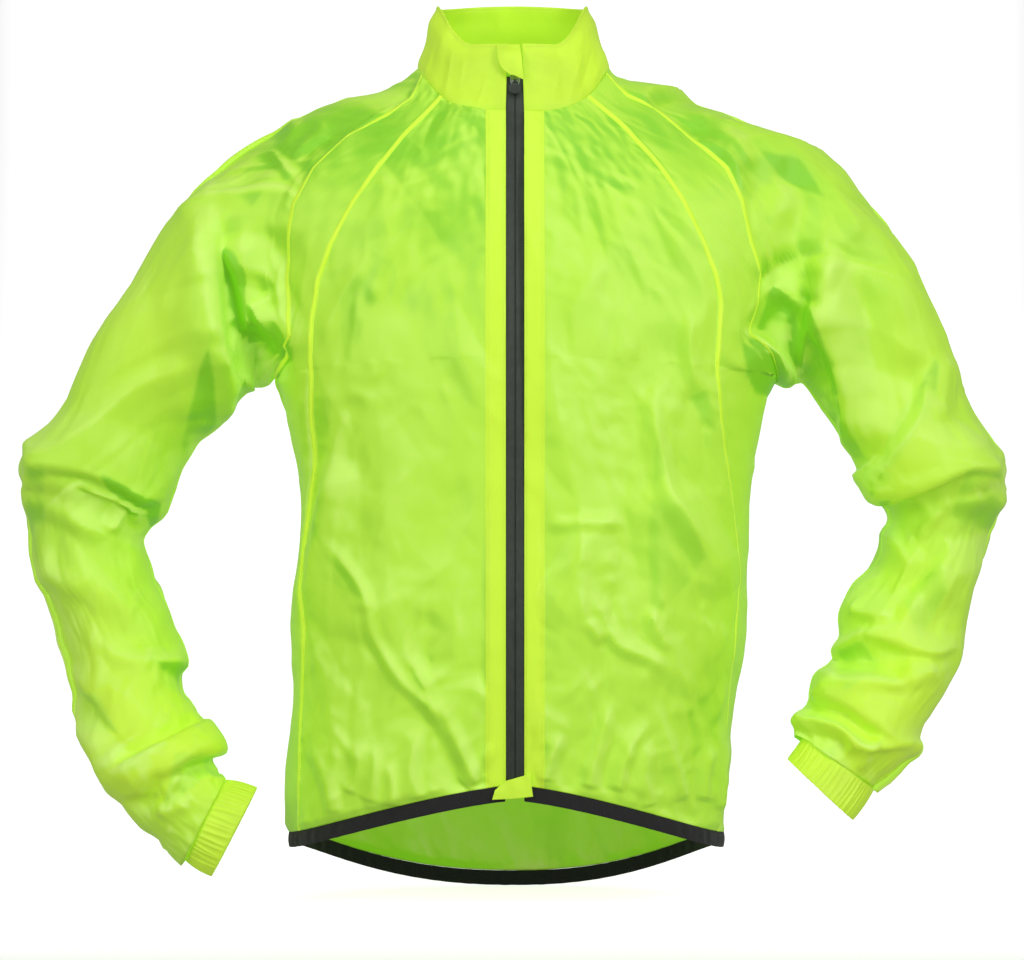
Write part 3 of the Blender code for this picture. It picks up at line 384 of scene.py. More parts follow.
# Folds on the cloth. face is -1 on the front and 1 on the back, height, left and right are in mm: how far the
# fold stands out, or in, and its widths to the left and right of its path. soft is small for a crisp edge, lean
# moves the crest to the right in mm, round is above 0.5 where the fold runs on round the arm, start and end are
# the shares over which it grows and fades, and path is (across, up) in mm as seen from the front.
FOLD_LINE_COLUMNS = ("face", "height", "left", "right", "soft", "lean", "round", "start", "end", "path")
FOLD_LINES = (
    # right sleeve, upper arm
    (-1, 9, 24, 5, 0.15, 2, 0.5, 0.15, 0.45, ((-254, -310), (-263, -238), (-266, -167), (-267, -109))),
    (-1, -6, 6, 8, 1, 0, 0.5, 0.3, 0.3, ((-249, -233), (-258, -185), (-264, -119))),
    (-1, 6, 4, 17, 0.15, -1.5, 0.5, 0.25, 0.3, ((-232, -227), (-238, -194), (-245, -167), (-260, -141))),
    (-1, -5, 9, 10, 1.2, 0, 0.5, 0.35, 0.35, ((-214, -222), (-217, -176), (-210, -128))),
    (-1, 6, 4, 13, 0.15, -1.5, 0.5, 0.3, 0.12, ((-198, -246), (-214, -218), (-229, -193))),
    (-1, -8, 11, 9, 1, 0, 0.6, 0.3, 0.3, ((-248, -229), (-223, -239), (-196, -239))),
    (-1, -4, 8, 9, 1, 0, 0.5, 0.3, 0.3, ((-268, -303), (-275, -268), (-276, -238))),
    (-1, 3, 8, 3, 0.3, 0, 0.7, 0.3, 0.3, ((-258, -278), (-245, -261), (-231, -271))),
    (-1, -3, 16, 14, 1.5, 0, 0.5, 0.35, 0.35, ((-370, -321), (-343, -255), (-321, -194), (-314, -141))),
    (-1, 3, 18, 12, 1.5, 0, 0.5, 0.35, 0.35, ((-392, -317), (-365, -255), (-334, -189), (-321, -136))),
    (-1, 2.5, 5, 4, 0.4, 0, 0.5, 0.3, 0.3, ((-297, -125), (-281, -106), (-258, -88))),
    (-1, 2, 3, 3, 0.3, 0, 0.6, 0.2, 0.2, ((-196, -84), (-220, -55))),
    (-1, 2.5, 5, 3, 0.3, 0, 0.6, 0.25, 0.25, ((-200, -66), (-185, -53), (-164, -39))),
    (-1, 2, 3, 4, 0.3, 0, 0.6, 0.25, 0.25, ((-208, -55), (-192, -36))),
    (-1, -2.5, 5, 6, 0.8, 0, 0.6, 0.3, 0.3, ((-255, -97), (-223, -70), (-189, -46))),
    # right sleeve, elbow
    (-1, 6, 22, 3.5, 0.12, 4, 0.8, 0.10, 0.25,
     ((-424, -342), (-412, -341), (-392, -341), (-370, -343), (-339, -357), (-311, -377))),
    (-1, -6, 6, 11, 1, 0, 0.6, 0.3, 0.2, ((-392, -356), (-361, -364), (-334, -377), (-311, -385))),
    (-1, 5, 9, 3, 0.12, 2, 0.6, 0.3, 0.25, ((-388, -354), (-355, -368), (-318, -385))),
    (-1, 4, 6, 4, 0.2, 1, 0.6, 0.25, 0.25, ((-358, -399), (-344, -386), (-335, -383), (-323, -394))),
    (-1, -4, 10, 10, 1.2, 0, 0.7, 0.2, 0.2, ((-423, -416), (-399, -419), (-372, -428), (-346, -444), (-318, -460))),
    (-1, -3, 8, 9, 1, 0, 0.6, 0.3, 0.3, ((-402, -457), (-365, -472), (-339, -476))),
    (-1, 2, 4, 3, 0.3, 0, 0.5, 0.25, 0.25, ((-347, -486), (-325, -444))),
    (-1, 4, 13, 6, 0.6, 1, 0.9, 0.1, 0.35, ((-430, -370), (-409, -374), (-383, -387), (-361, -409))),
    (-1, 2.5, 10, 6, 0.8, 0, 0.7, 0.2, 0.3, ((-427, -436), (-400, -440), (-376, -451))),
    # right sleeve, forearm and cuff
    (-1, -3.5, 9, 9, 1, 0, 0.7, 0.2, 0.2, ((-377, -483), (-346, -486), (-319, -493), (-294, -500))),
    (-1, 3, 8, 5, 0.5, 1, 0.6, 0.3, 0.3, ((-367, -495), (-339, -507), (-312, -509))),
    (-1, 2.7, 8, 4, 0.2, 1.5, 0.8, 0.3, 0.1, ((-319, -507), (-299, -511), (-277, -517))),
    (-1, -3.6, 7, 9, 0.8, 0, 0.7, 0.3, 0.1, ((-316, -521), (-298, -525), (-277, -532))),
    (-1, 1.8, 5, 5, 0.4, 0, 0.6, 0.3, 0.3, ((-321, -537), (-304, -528), (-281, -546))),
    (-1, -2.4, 8, 9, 1, 0, 0.7, 0.3, 0.1, ((-325, -551), (-302, -547), (-275, -537))),
    (-1, 3, 4, 13, 0.2, -1.5, 0.6, 0.3, 0.3, ((-339, -583), (-367, -548), (-397, -516))),
    (-1, -5, 10, 9, 0.8, 0, 0.6, 0.3, 0.3, ((-383, -546), (-362, -563), (-341, -585))),
    (-1, 8, 4, 12, 0.15, -3, 0.9, 0.2, 0.05, ((-349, -611), (-321, -595), (-295, -582), (-265, -567))),
    (-1, -5, 5, 8, 0.8, 0, 0.7, 0.2, 0.1, ((-348, -600), (-312, -583), (-277, -565))),
    (-1, 5, 9, 4, 0.3, 2, 0.9, 0.3, 0.05, ((-321, -612), (-290, -597), (-256, -588))),
    (-1, -6, 4, 6, 0.6, 0, 0.9, 0.3, 0.1, ((-293, -610), (-277, -600), (-256, -600))),
    (-1, 4, 8, 5, 0.4, 0, 0.6, 0.2, 0.3, ((-325, -630), (-325, -609), (-343, -605))),
    (-1, 3, 5, 4, 0.3, 0, 0.6, 0.3, 0.3, ((-314, -649), (-305, -629), (-295, -609))),
    (-1, 2.5, 5, 4, 0.3, 0, 0.6, 0.3, 0.3, ((-312, -649), (-298, -639), (-284, -641))),
    (-1, -3, 5, 5, 0.6, 0, 0.6, 0.3, 0.3, ((-330, -642), (-316, -634), (-304, -627))),
    (-1, 3, 7, 5, 0.6, 0, 0.7, 0.2, 0.3, ((-362, -591), (-348, -616), (-326, -651))),
    # torso, right half
    (-1, 3, 5, 9, 0.2, 0, 0.5, 0.3, 0.3, ((-187, -462), (-173, -392), (-163, -350), (-154, -308), (-139, -282))),
    (-1, -2.5, 8, 7, 1, 0, 0.5, 0.3, 0.3, ((-143, -352), (-150, -317), (-135, -277))),
    (-1, 2.2, 14, 12, 1.2, 0, 0.5, 0.3, 0.3, ((-121, -502), (-106, -422), (-88, -370), (-73, -321))),
    (-1, -2, 12, 10, 1.2, 0, 0.5, 0.3, 0.3, ((-92, -458), (-75, -396), (-53, -343))),
    (-1, 2.2, 4, 4, 0.2, 0, 0.5, 0.25, 0.25,
     ((-169, -403), (-147, -427), (-129, -456), (-123, -493), (-99, -528), (-73, -556), (-55, -591))),
    (-1, 1.8, 4, 5, 0.2, 0, 0.5, 0.25, 0.25, ((-65, -565), (-80, -532), (-94, -503))),
    (-1, -2.5, 7, 8, 1, 0, 0.5, 0.3, 0.3, ((-68, -528), (-77, -502), (-71, -468))),
    (-1, 2, 4, 5, 0.25, 0, 0.5, 0.05, 0.4, ((-143, -627), (-135, -603), (-140, -579))),
    (-1, 2, 5, 4, 0.25, 0, 0.5, 0.05, 0.4, ((-126, -634), (-121, -607), (-124, -583))),
    (-1, 2.4, 4, 5, 0.2, 0, 0.5, 0.05, 0.4, ((-33, -620), (-50, -585), (-68, -544))),
    (-1, 2, 5, 4, 0.25, 0, 0.5, 0.05, 0.4, ((-45, -621), (-33, -607), (-18, -583))),
    (-1, 1.6, 5, 4, 0.3, 0, 0.5, 0.05, 0.4, ((-84, -632), (-91, -605), (-84, -572))),
    (-1, 1.6, 5, 4, 0.3, 0, 0.5, 0.05, 0.4, ((-157, -644), (-163, -616), (-173, -588))),
    (-1, 1.4, 4, 4, 0.4, 0, 0.5, 0.05, 0.4, ((-106, -639), (-105, -618), (-112, -598))),
    (-1, 1.5, 9, 9, 1, 0, 0.5, 0.3, 0.3, ((-150, -493), (-143, -449), (-149, -409))),
    (-1, -1.5, 9, 9, 1, 0, 0.5, 0.3, 0.3, ((-106, -220), (-91, -167), (-66, -119))),
    (-1, 1.5, 12, 10, 1, 0, 0.5, 0.3, 0.3, ((-132, -194), (-108, -136), (-75, -84))),
    (-1, 1.6, 5, 4, 0.4, 0, 0.5, 0.3, 0.3, ((-172, -238), (-154, -194), (-128, -154))),
    # torso, left half
    (-1, 2.6, 7, 5, 0.2, 0, 0.5, 0.3, 0.3, ((168, -422), (154, -389), (138, -364), (128, -326), (119, -280))),
    (-1, -2, 7, 7, 1, 0, 0.5, 0.3, 0.3, ((154, -370), (145, -334), (138, -290))),
    (-1, 1.8, 4, 4, 0.3, 0, 0.5, 0.3, 0.3, ((26, -392), (62, -389), (99, -391))),
    (-1, 1.8, 4, 4, 0.3, 0, 0.5, 0.3, 0.3, ((64, -473), (71, -486), (77, -497))),
    (-1, 1.8, 4, 4, 0.3, 0, 0.5, 0.3, 0.3, ((117, -465), (124, -484), (135, -503))),
    (-1, 2, 5, 4, 0.3, 0, 0.5, 0.3, 0.3, ((68, -447), (87, -493), (110, -506), (138, -521))),
    (-1, 2, 12, 10, 1.1, 0, 0.5, 0.3, 0.3, ((138, -541), (163, -506), (182, -473))),
    (-1, 2.2, 4, 5, 0.25, 0, 0.5, 0.05, 0.4, ((26, -616), (32, -594), (43, -574))),
    (-1, 2.2, 4, 5, 0.25, 0, 0.5, 0.05, 0.4, ((64, -623), (73, -585), (87, -544))),
    (-1, 2, 5, 4, 0.25, 0, 0.5, 0.05, 0.4, ((89, -625), (99, -591), (121, -561))),
    (-1, 2, 5, 4, 0.25, 0, 0.5, 0.05, 0.4, ((149, -634), (138, -594), (122, -544))),
    (-1, 2.6, 4, 4, 0.3, 0, 0.6, 0.05, 0.4, ((166, -634), (168, -614), (172, -586))),
    (-1, 2.6, 4, 4, 0.3, 0, 0.6, 0.05, 0.4, ((181, -641), (182, -618), (190, -579))),
    (-1, 1.6, 5, 4, 0.3, 0, 0.5, 0.05, 0.4, ((119, -639), (114, -612), (119, -585))),
    (-1, 1.5, 12, 12, 1.2, 0, 0.5, 0.3, 0.3, ((40, -493), (66, -422), (101, -352))),
    (-1, -1.6, 10, 10, 1.2, 0, 0.5, 0.3, 0.3, ((75, -317), (110, -264), (154, -220))),
    (-1, 1.6, 10, 8, 0.8, 0, 0.5, 0.3, 0.3, ((40, -220), (75, -167), (110, -106))),
    (-1, 2, 4, 5, 0.3, 0, 0.5, 0.3, 0.3, ((163, -282), (154, -238), (158, -202))),
    # left sleeve, upper arm
    (-1, -8, 9, 9, 0.9, 0, 0.6, 0.3, 0.3, ((216, -233), (229, -216), (244, -194))),
    (-1, 7, 13, 4, 0.15, 2, 0.6, 0.15, 0.3, ((248, -264), (229, -246), (209, -227))),
    (-1, 5, 5, 8, 0.2, 0, 0.5, 0.3, 0.3, ((251, -260), (256, -224), (262, -192))),
    (-1, 8, 5, 20, 0.15, -2, 0.5, 0.3, 0.25, ((298, -330), (289, -271), (271, -224), (262, -190))),
    (-1, -6, 9, 7, 0.9, 0, 0.5, 0.3, 0.3, ((284, -317), (274, -271), (258, -220))),
    (-1, 4, 7, 6, 0.4, 0, 0.5, 0.2, 0.3, ((261, -194), (273, -169), (284, -146))),
    (-1, -3.5, 8, 9, 1, 0, 0.5, 0.3, 0.3, ((239, -185), (244, -141), (256, -97))),
    (-1, 3, 9, 8, 0.8, 0, 0.5, 0.3, 0.3, ((224, -176), (230, -132), (242, -88))),
    (-1, 5, 5, 14, 0.15, -1, 0.5, 0.25, 0.25, ((321, -363), (329, -341), (351, -308), (361, -282), (365, -243))),
    (-1, 3, 6, 6, 0.4, 0, 0.5, 0.3, 0.3, ((375, -303), (378, -269), (373, -236))),
    (-1, 3.5, 14, 10, 1, 0, 0.5, 0.3, 0.3, ((381, -246), (356, -202), (330, -154))),
    (-1, -3, 12, 10, 1.2, 0, 0.5, 0.3, 0.3, ((339, -246), (321, -194), (295, -136))),
    (-1, 2.4, 5, 5, 0.4, 0, 0.6, 0.3, 0.3, ((173, -42), (194, -62), (209, -81))),
    (-1, 2, 4, 4, 0.3, 0, 0.6, 0.3, 0.3, ((154, -28), (173, -35), (198, -42))),
    (-1, -2.4, 5, 6, 0.8, 0, 0.6, 0.3, 0.3, ((233, -70), (251, -92), (264, -119))),
    (-1, 2.4, 6, 5, 0.5, 0, 0.6, 0.3, 0.3, ((270, -84), (290, -110), (305, -141))),
    # left sleeve, elbow
    (-1, 6, 21, 3.5, 0.12, 4, 0.8, 0.2, 0.10,
     ((305, -364), (325, -368), (343, -362), (365, -354), (392, -342), (414, -340), (426, -343))),
    (-1, -6, 6, 11, 1, 0, 0.6, 0.2, 0.3, ((314, -377), (343, -372), (374, -363), (400, -354))),
    (-1, 5, 10, 5, 0.5, 1, 0.9, 0.05, 0.3, ((304, -343), (314, -354), (325, -370))),
    (-1, 2.5, 4, 4, 0.3, 0, 0.5, 0.3, 0.3, ((349, -402), (365, -389), (379, -378))),
    (-1, 4, 12, 6, 0.6, 1, 0.9, 0.3, 0.1, ((365, -374), (393, -370), (429, -370))),
    (-1, -3.5, 10, 10, 1.2, 0, 0.7, 0.3, 0.1, ((343, -422), (383, -405), (427, -392))),
    # left sleeve, forearm and cuff
    (-1, -5, 8, 9, 0.9, 0, 0.8, 0.1, 0.3, ((305, -416), (321, -427), (337, -437))),
    (-1, 4, 6, 12, 0.3, 0, 0.5, 0.3, 0.3, ((333, -495), (349, -466), (366, -440), (385, -421))),
    (-1, -3.5, 9, 8, 1, 0, 0.6, 0.2, 0.3, ((295, -462), (326, -458), (356, -449), (381, -444))),
    (-1, 4, 8, 4, 0.3, 1.5, 0.8, 0.1, 0.3, ((295, -462), (312, -468), (334, -466))),
    (-1, 5, 9, 4, 0.2, 2, 0.8, 0.1, 0.2, ((309, -484), (333, -493), (365, -502), (389, -496))),
    (-1, 4, 4, 8, 0.3, 0, 0.9, 0.05, 0.3, ((281, -503), (297, -495), (315, -483))),
    (-1, -5, 8, 8, 0.9, 0, 0.8, 0.1, 0.3, ((284, -517), (314, -512), (348, -514))),
    (-1, 3, 6, 5, 0.4, 0, 0.6, 0.3, 0.3, ((341, -530), (356, -523), (372, -518))),
    (-1, 4.5, 9, 4, 0.25, 1.5, 0.8, 0.1, 0.3, ((275, -540), (288, -537), (312, -532), (346, -533))),
    (-1, 3.5, 12, 4, 0.15, 3, 0.8, 0.1, 0.3, ((265, -544), (290, -548), (312, -561), (332, -573), (351, -588))),
    (-1, -6, 5, 6, 0.8, 0, 0.8, 0.1, 0.2, ((261, -556), (284, -559), (305, -570), (321, -579))),
    (-1, 6, 6, 4, 0.25, 2, 0.9, 0.05, 0.2, ((253, -567), (270, -565), (288, -569), (305, -582), (321, -588))),
    (-1, 2, 8, 4, 0.25, 1.5, 0.7, 0.3, 0.3, ((305, -586), (326, -585), (351, -581))),
    (-1, -4, 4, 5, 0.6, 0, 0.8, 0.1, 0.2, ((256, -579), (275, -579), (295, -590))),
    (-1, 3, 4, 4, 0.4, 0, 0.6, 0.3, 0.3, ((288, -579), (302, -588), (311, -598))),
    (-1, 2.5, 4, 4, 0.3, 0, 0.6, 0.3, 0.3, ((302, -609), (309, -600), (316, -593))),
    (-1, 1.2, 5, 4, 0.3, 0, 0.6, 0.3, 0.3, ((312, -625), (323, -612), (339, -602))),
    # back
    (1, 4, 14, 5, 0.3, 1, 0.5, 0.3, 0.3, ((-190, -300), (-150, -270), (-95, -215))),
    (1, -4, 12, 12, 1, 0, 0.5, 0.3, 0.3, ((-190, -330), (-140, -305), (-80, -255))),
    (1, 4, 14, 5, 0.3, 1, 0.5, 0.3, 0.3, ((190, -290), (145, -255), (100, -200))),
    (1, 3.5, 6, 14, 0.3, -1, 0.5, 0.3, 0.3, ((185, -330), (140, -315), (70, -270))),
    (1, 3, 12, 12, 1, 0, 0.5, 0.35, 0.35, ((-120, -120), (-110, -220), (-120, -330))),
    (1, 3, 12, 12, 1, 0, 0.5, 0.35, 0.35, ((110, -110), (118, -230), (100, -340))),
    (1, -3, 16, 14, 1.2, 0, 0.5, 0.35, 0.35, ((-20, -90), (-12, -200), (-25, -320))),
    (1, 4, 5, 16, 0.2, -1, 0.5, 0.3, 0.3, ((-180, -470), (-110, -455), (-40, -462), (30, -450))),
    (1, 3.5, 14, 5, 0.3, 1, 0.5, 0.3, 0.3, ((170, -500), (100, -480), (20, -490), (-50, -478))),
    (1, -4, 12, 12, 1, 0, 0.5, 0.3, 0.3, ((-150, -505), (-60, -500), (60, -512), (140, -530))),
    (1, 3, 8, 8, 0.5, 0, 0.5, 0.3, 0.2, ((-100, -690), (-92, -620), (-115, -540))),
    (1, 3, 8, 8, 0.5, 0, 0.5, 0.3, 0.2, ((40, -700), (52, -630), (30, -560))),
    (1, 3, 8, 8, 0.5, 0, 0.5, 0.3, 0.2, ((130, -680), (120, -610), (150, -540))),
    (1, 6, 20, 5, 0.15, 3, 0.8, 0.1, 0.25, ((-420, -352), (-385, -350), (-345, -362), (-310, -385))),
    (1, -5, 10, 10, 1, 0, 0.6, 0.3, 0.2, ((-400, -372), (-355, -378), (-312, -398))),
    (1, 5, 14, 5, 0.2, 2, 0.7, 0.2, 0.25, ((-412, -420), (-370, -425), (-325, -455))),
    (1, -4, 12, 12, 1, 0, 0.5, 0.3, 0.3, ((-330, -170), (-350, -240), (-385, -310))),
    (1, 4, 14, 6, 0.3, 1, 0.5, 0.3, 0.3, ((-260, -150), (-285, -220), (-300, -300))),
    (1, 5, 5, 18, 0.15, -3, 0.8, 0.1, 0.25, ((424, -350), (390, -351), (352, -360), (318, -386))),
    (1, -5, 10, 10, 1, 0, 0.6, 0.3, 0.2, ((402, -370), (358, -378), (320, -400))),
    (1, 4.5, 5, 13, 0.2, -2, 0.7, 0.2, 0.25, ((415, -415), (372, -422), (328, -450))),
    (1, -4, 12, 12, 1, 0, 0.5, 0.3, 0.3, ((335, -165), (355, -240), (392, -305))),
    (1, 4, 6, 14, 0.3, -1, 0.5, 0.3, 0.3, ((262, -150), (288, -220), (305, -300))),
    (1, 4, 12, 5, 0.3, 1, 0.6, 0.3, 0.3, ((-370, -500), (-335, -505), (-290, -520))),
    (1, 5, 10, 5, 0.3, 1, 0.8, 0.2, 0.1, ((-350, -600), (-310, -588), (-265, -575))),
    (1, 4, 5, 12, 0.3, -1, 0.6, 0.3, 0.3, ((385, -495), (345, -502), (300, -515))),
    (1, 5, 5, 10, 0.3, -1, 0.8, 0.2, 0.1, ((370, -590), (325, -580), (280, -572))),
)

# Spare length in the cloth: round a place seen from the front, in mm, along the turn in degrees from across, or
# square to it.
SPARE_COLUMNS = ("face", "x", "z", "wide", "high", "turn", "across", "amount")
SPARE = (
    (-1, 0, -612, 230, 34, 0, False, 0.1),
    (1, 0, -690, 230, 45, 0, False, 0.1),
    (0, -262, -632, 55, 50, -55, True, 0.072),
    (0, -262, -632, 60, 55, -55, False, 0.036),
    (0, 292, -600, 60, 50, -120, True, 0.072),
    (0, 292, -600, 65, 60, -120, False, 0.036),
    (0, -365, -352, 75, 60, 90, False, 0.03),
    (0, 372, -352, 75, 60, 90, False, 0.03),
    (0, -310, -520, 80, 110, -62, False, 0.018),
    (0, 330, -510, 80, 110, -115, False, 0.018),
    (0, -300, -230, 90, 110, 60, True, 0.015),
    (0, 310, -225, 90, 110, 120, True, 0.015),
    (-1, -245, -215, 45, 50, 45, True, 0.03),
    (-1, 250, -210, 45, 50, 135, True, 0.03),
    (-1, 0, -400, 260, 260, 0, False, 0.006),
    (-1, 0, -460, 260, 200, 90, False, 0.006),
    (1, 0, -250, 260, 300, 0, False, 0.007),
    (1, 0, -480, 260, 220, 90, False, 0.009),
    (0, -150, -40, 70, 45, 20, False, 0.012),
    (0, 150, -40, 70, 45, 160, False, 0.012),
)

# How far the cloth may sink inwards before it meets what lies beneath, in metres, and places where it lies closer:
# across, up, half width and half height in mm, then the gap there.
REST_GAP = 0.010
CLOSE_PLACES = (
    (-120, -100, 70, 60, 0.0008),
    (120, -100, 70, 60, 0.0008),
    (-150, -330, 35, 80, 0.001),
    (160, -330, 35, 80, 0.001),
    (-90, -480, 40, 50, 0.002),
    (60, -380, 50, 90, 0.002),
)

# Places on the front with painted shade, a greener and darker tone: across, up, half width and half height in mm, and
# how much. A negative amount paints the cloth brighter and yellower instead.
PAINTED_SHADE_PLACES = (
    (-110, -45, 95, 38, 0.95),
    (110, -45, 95, 34, 0.8),
    (-190, -80, 60, 40, 0.5),
    (180, -80, 50, 30, 0.3),
    (-60, -125, 90, 90, 0.42),
    (65, -110, 85, 70, 0.36),
    (-240, -210, 40, 60, 0.5),
    (240, -190, 36, 60, 0.4),
    (-195, -560, 20, 70, 0.4),
    (205, -560, 20, 70, 0.3),
    (-365, -520, 50, 110, -0.6),
    (-300, -590, 60, 60, -0.9),
    (350, -500, 50, 130, -0.6),
    (310, -590, 60, 60, -0.8),
    (-320, -220, 60, 90, -0.4),
    (340, -280, 60, 100, -0.4),
)

# Flat facets on the front that lie in shade: how much greener they look, and their corners in mm
SHADED_FACETS = (
    (1.1, ((228, -178), (238, -189), (250, -225), (248, -264), (224, -246), (208, -230), (218, -209))),
    (0.9, ((258, -189), (268, -222), (294, -274), (268, -282), (250, -262), (252, -222))),
    (0.8, ((198, -211), (208, -230), (248, -264), (233, -282), (211, -277), (202, -246))),
    (0.6, ((374, -238), (371, -277), (339, -330), (319, -354), (330, -308), (358, -266))),
    (0.3, ((398, -343), (428, -347), (428, -401), (407, -428), (384, -382))),
    (0.9, ((274, -280), (284, -282), (311, -338), (300, -336), (277, -304))),
    (0.8, ((310, -340), (332, -348), (314, -366), (307, -354))),
    (0.8, ((321, -371), (331, -369), (323, -403), (314, -400))),
    (0.5, ((284, -502), (305, -493), (321, -517), (291, -537))),
    (0.5, ((343, -458), (374, -422), (381, -449), (356, -493))),
    (1.2, ((-271, -106), (-260, -130), (-240, -165), (-233, -192), (-228, -225), (-223, -252), (-245, -268),
           (-258, -233), (-268, -185))),
    (1.1, ((-231, -188), (-212, -211), (-196, -241), (-201, -260), (-242, -269), (-253, -238), (-231, -225))),
    (0.6, ((-297, -336), (-277, -253), (-270, -237), (-265, -264), (-263, -303), (-274, -317))),
    (1.0, ((-370, -340), (-338, -359), (-312, -373), (-318, -401), (-324, -385), (-340, -381), (-355, -363))),
    (0.35, ((-429, -341), (-415, -343), (-414, -431), (-432, -419))),
    (0.7, ((-316, -511), (-284, -511), (-281, -542), (-304, -535))),
    (0.6, ((-385, -535), (-366, -543), (-350, -573), (-381, -571))),
    (0.8, ((-299, -591), (-260, -595), (-264, -605), (-294, -631), (-310, -644))),
    (0.5, ((-348, -598), (-312, -583), (-321, -597), (-337, -609))),
    (0.7, ((256, -591), (283, -588), (277, -605), (260, -604))),
    (0.25, ((124, -316), (135, -321), (168, -419), (154, -440), (121, -481), (117, -405))),
    (0.35, ((-191, -282), (-161, -277), (-170, -387), (-184, -422), (-189, -343))),
    (0.3, ((-181, -383), (-150, -414), (-129, -460), (-176, -435))),
    (0.35, ((-88, -492), (-72, -507), (-77, -554), (-96, -533))),
    (0.4, ((151, -554), (176, -533), (187, -575), (156, -595))),
    (0.3, ((16, -554), (52, -595), (21, -595))),
    (0.3, ((151, -280), (187, -264), (192, -316), (171, -305))),
    (0.3, ((-154, -194), (-126, -150), (-108, -160), (-136, -229), (-150, -257))),
    (0.15, ((-75, -88), (-40, -62), (-27, -106), (-55, -128))),
    (0.35, ((40, -62), (75, -53), (110, -97), (66, -93))),
    (0.5, ((-251, -97), (-223, -62), (-196, -53), (-210, -81), (-231, -111))),
    (0.5, ((216, -62), (251, -70), (272, -102), (240, -93))),
)
FACET_EDGE = 5.0  # millimetres over which a facet's shade fades

# Painted light: facets turned this way get a paler painted highlight, those turned away a greener painted shade
LIGHT_THROUGH = (0.55, -0.15, 0.80)
TURNED_GAIN = 4.8

# The doubled cloth across a seam: share of its half width, and height in mm over the cloth
SEAM_PROFILE = ((-1.0, -0.25), (-0.93, 0.28), (-0.5, 0.42), (0.0, 0.34), (0.5, 0.42), (0.93, 0.28), (1.0, -0.25))
SEAM_STEPS = 6  # points of the cloth, from the seam, that a ribbon may follow
COLLAR_CELLS = 330
COLLAR_CELLS_UP = 30
COLLAR_TALL = 62
COLLAR_CREASES = 26
# The collar's own folds: from (across, up) to (across, up) in mm as seen from the front, height and width in mm
COLLAR_FOLDS = (
    (-62, -15, -55, 28, 1.1, 2.6),
    (-50, -10, -44, 22, 0.9, 2.4),
    (-76, 5, -66, 45, -1.0, 3.2),
    (46, -22, 60, 26, 1.1, 2.4),
    (54, -18, 70, 34, -0.9, 2.4),
    (68, -4, 80, 30, 1.0, 2.4),
    (30, -26, 40, 8, 0.9, 2.2),
    (-36, -28, -24, 6, 0.9, 2.4),
    (16, -24, 24, 22, -0.7, 2.0),
)
CUFF_GATHERS = 52
CUFF_CELLS = 420
CUFF_CELLS_ALONG = 14
HEM_CELLS = 560
HEM_CELLS_UP = 7
SAMPLES_PER_HEM_CELL = 8
SAMPLES_PER_COLLAR_CELL = 6
COIL_PITCH = 0.0011
COIL_END = 0.0008
COIL_SAMPLES = 900
COIL_SAMPLES_ON_COLLAR = 80
# Along one of the coil's bars: share of its reach to the side, and its size there
COIL_BAR = ((-0.55, 0.55), (0.2, 1.0), (0.95, 0.75), (1.0, 0.4))
COIL_BAR_SIDES = 6
# The cord inside the coil: its corners, across and inwards
COIL_CORE = ((-0.0014, -0.0002), (0.0014, -0.0002), (0.0014, 0.0004), (-0.0014, 0.0004))

# Soft lights: name, place, aim, size and power
LIGHTS = (
    ("key_left", (-2.2, -2.6, 0.8), (0, 0, -0.40), (0.9, 1.5), 30.0),
    ("key_right", (2.1, -2.7, 0.8), (0, 0, -0.40), (0.9, 1.5), 42.0),
    ("top", (0.1, -1.6, 2.2), (0, 0, -0.3), (1.6, 0.8), 14.0),
    ("fill", (0.2, -3.2, -1.2), (0, 0, -0.45), (1.8, 0.9), 19.0),
)
WORLD_LIGHT = 0.33
BACKDROP_GLOW = 0.80
# The backdrop: half its width, where its floor begins and ends, the radius of its bend, and its top
BACKDROP_HALF = 9
BACKDROP_NEAR = -6.0
BACKDROP_FAR = 5.2
BACKDROP_BEND = 1.4
BACKDROP_TOP = (6.6, 8.0)
SENSOR_WIDTH = 36.0
VIEW_WIDTH = 1024 * 0.00088  # metres across the view, at the jacket
VIEW_END = 50.0

# The finishes. How brightly cloth shines by itself, in place of the light that comes through it, and half the
# repeat of its weave and its stitching in metres
CLOTH_GLOW = 0.15
DOUBLED_GLOW = 0.24
WEAVE = 0.00035
STITCH = 0.0013
STITCH_GAP = (0.00025, 0.00045)
FRONT_STITCH_LINES = (0.0150, 0.0022)
SEAM_STITCH_LINES = (-0.0014, 0.0014)
COLLAR_STITCH_LINES = (0.0025,)

# How much stronger the small creases and the laid folds are than their tables say, and how far, in metres, laid
# folds may move the cloth where it faces forwards
CRUMPLE_STRENGTH = 1.25
FOLD_STRENGTH = 1.6
FOLD_LIMIT = 0.014

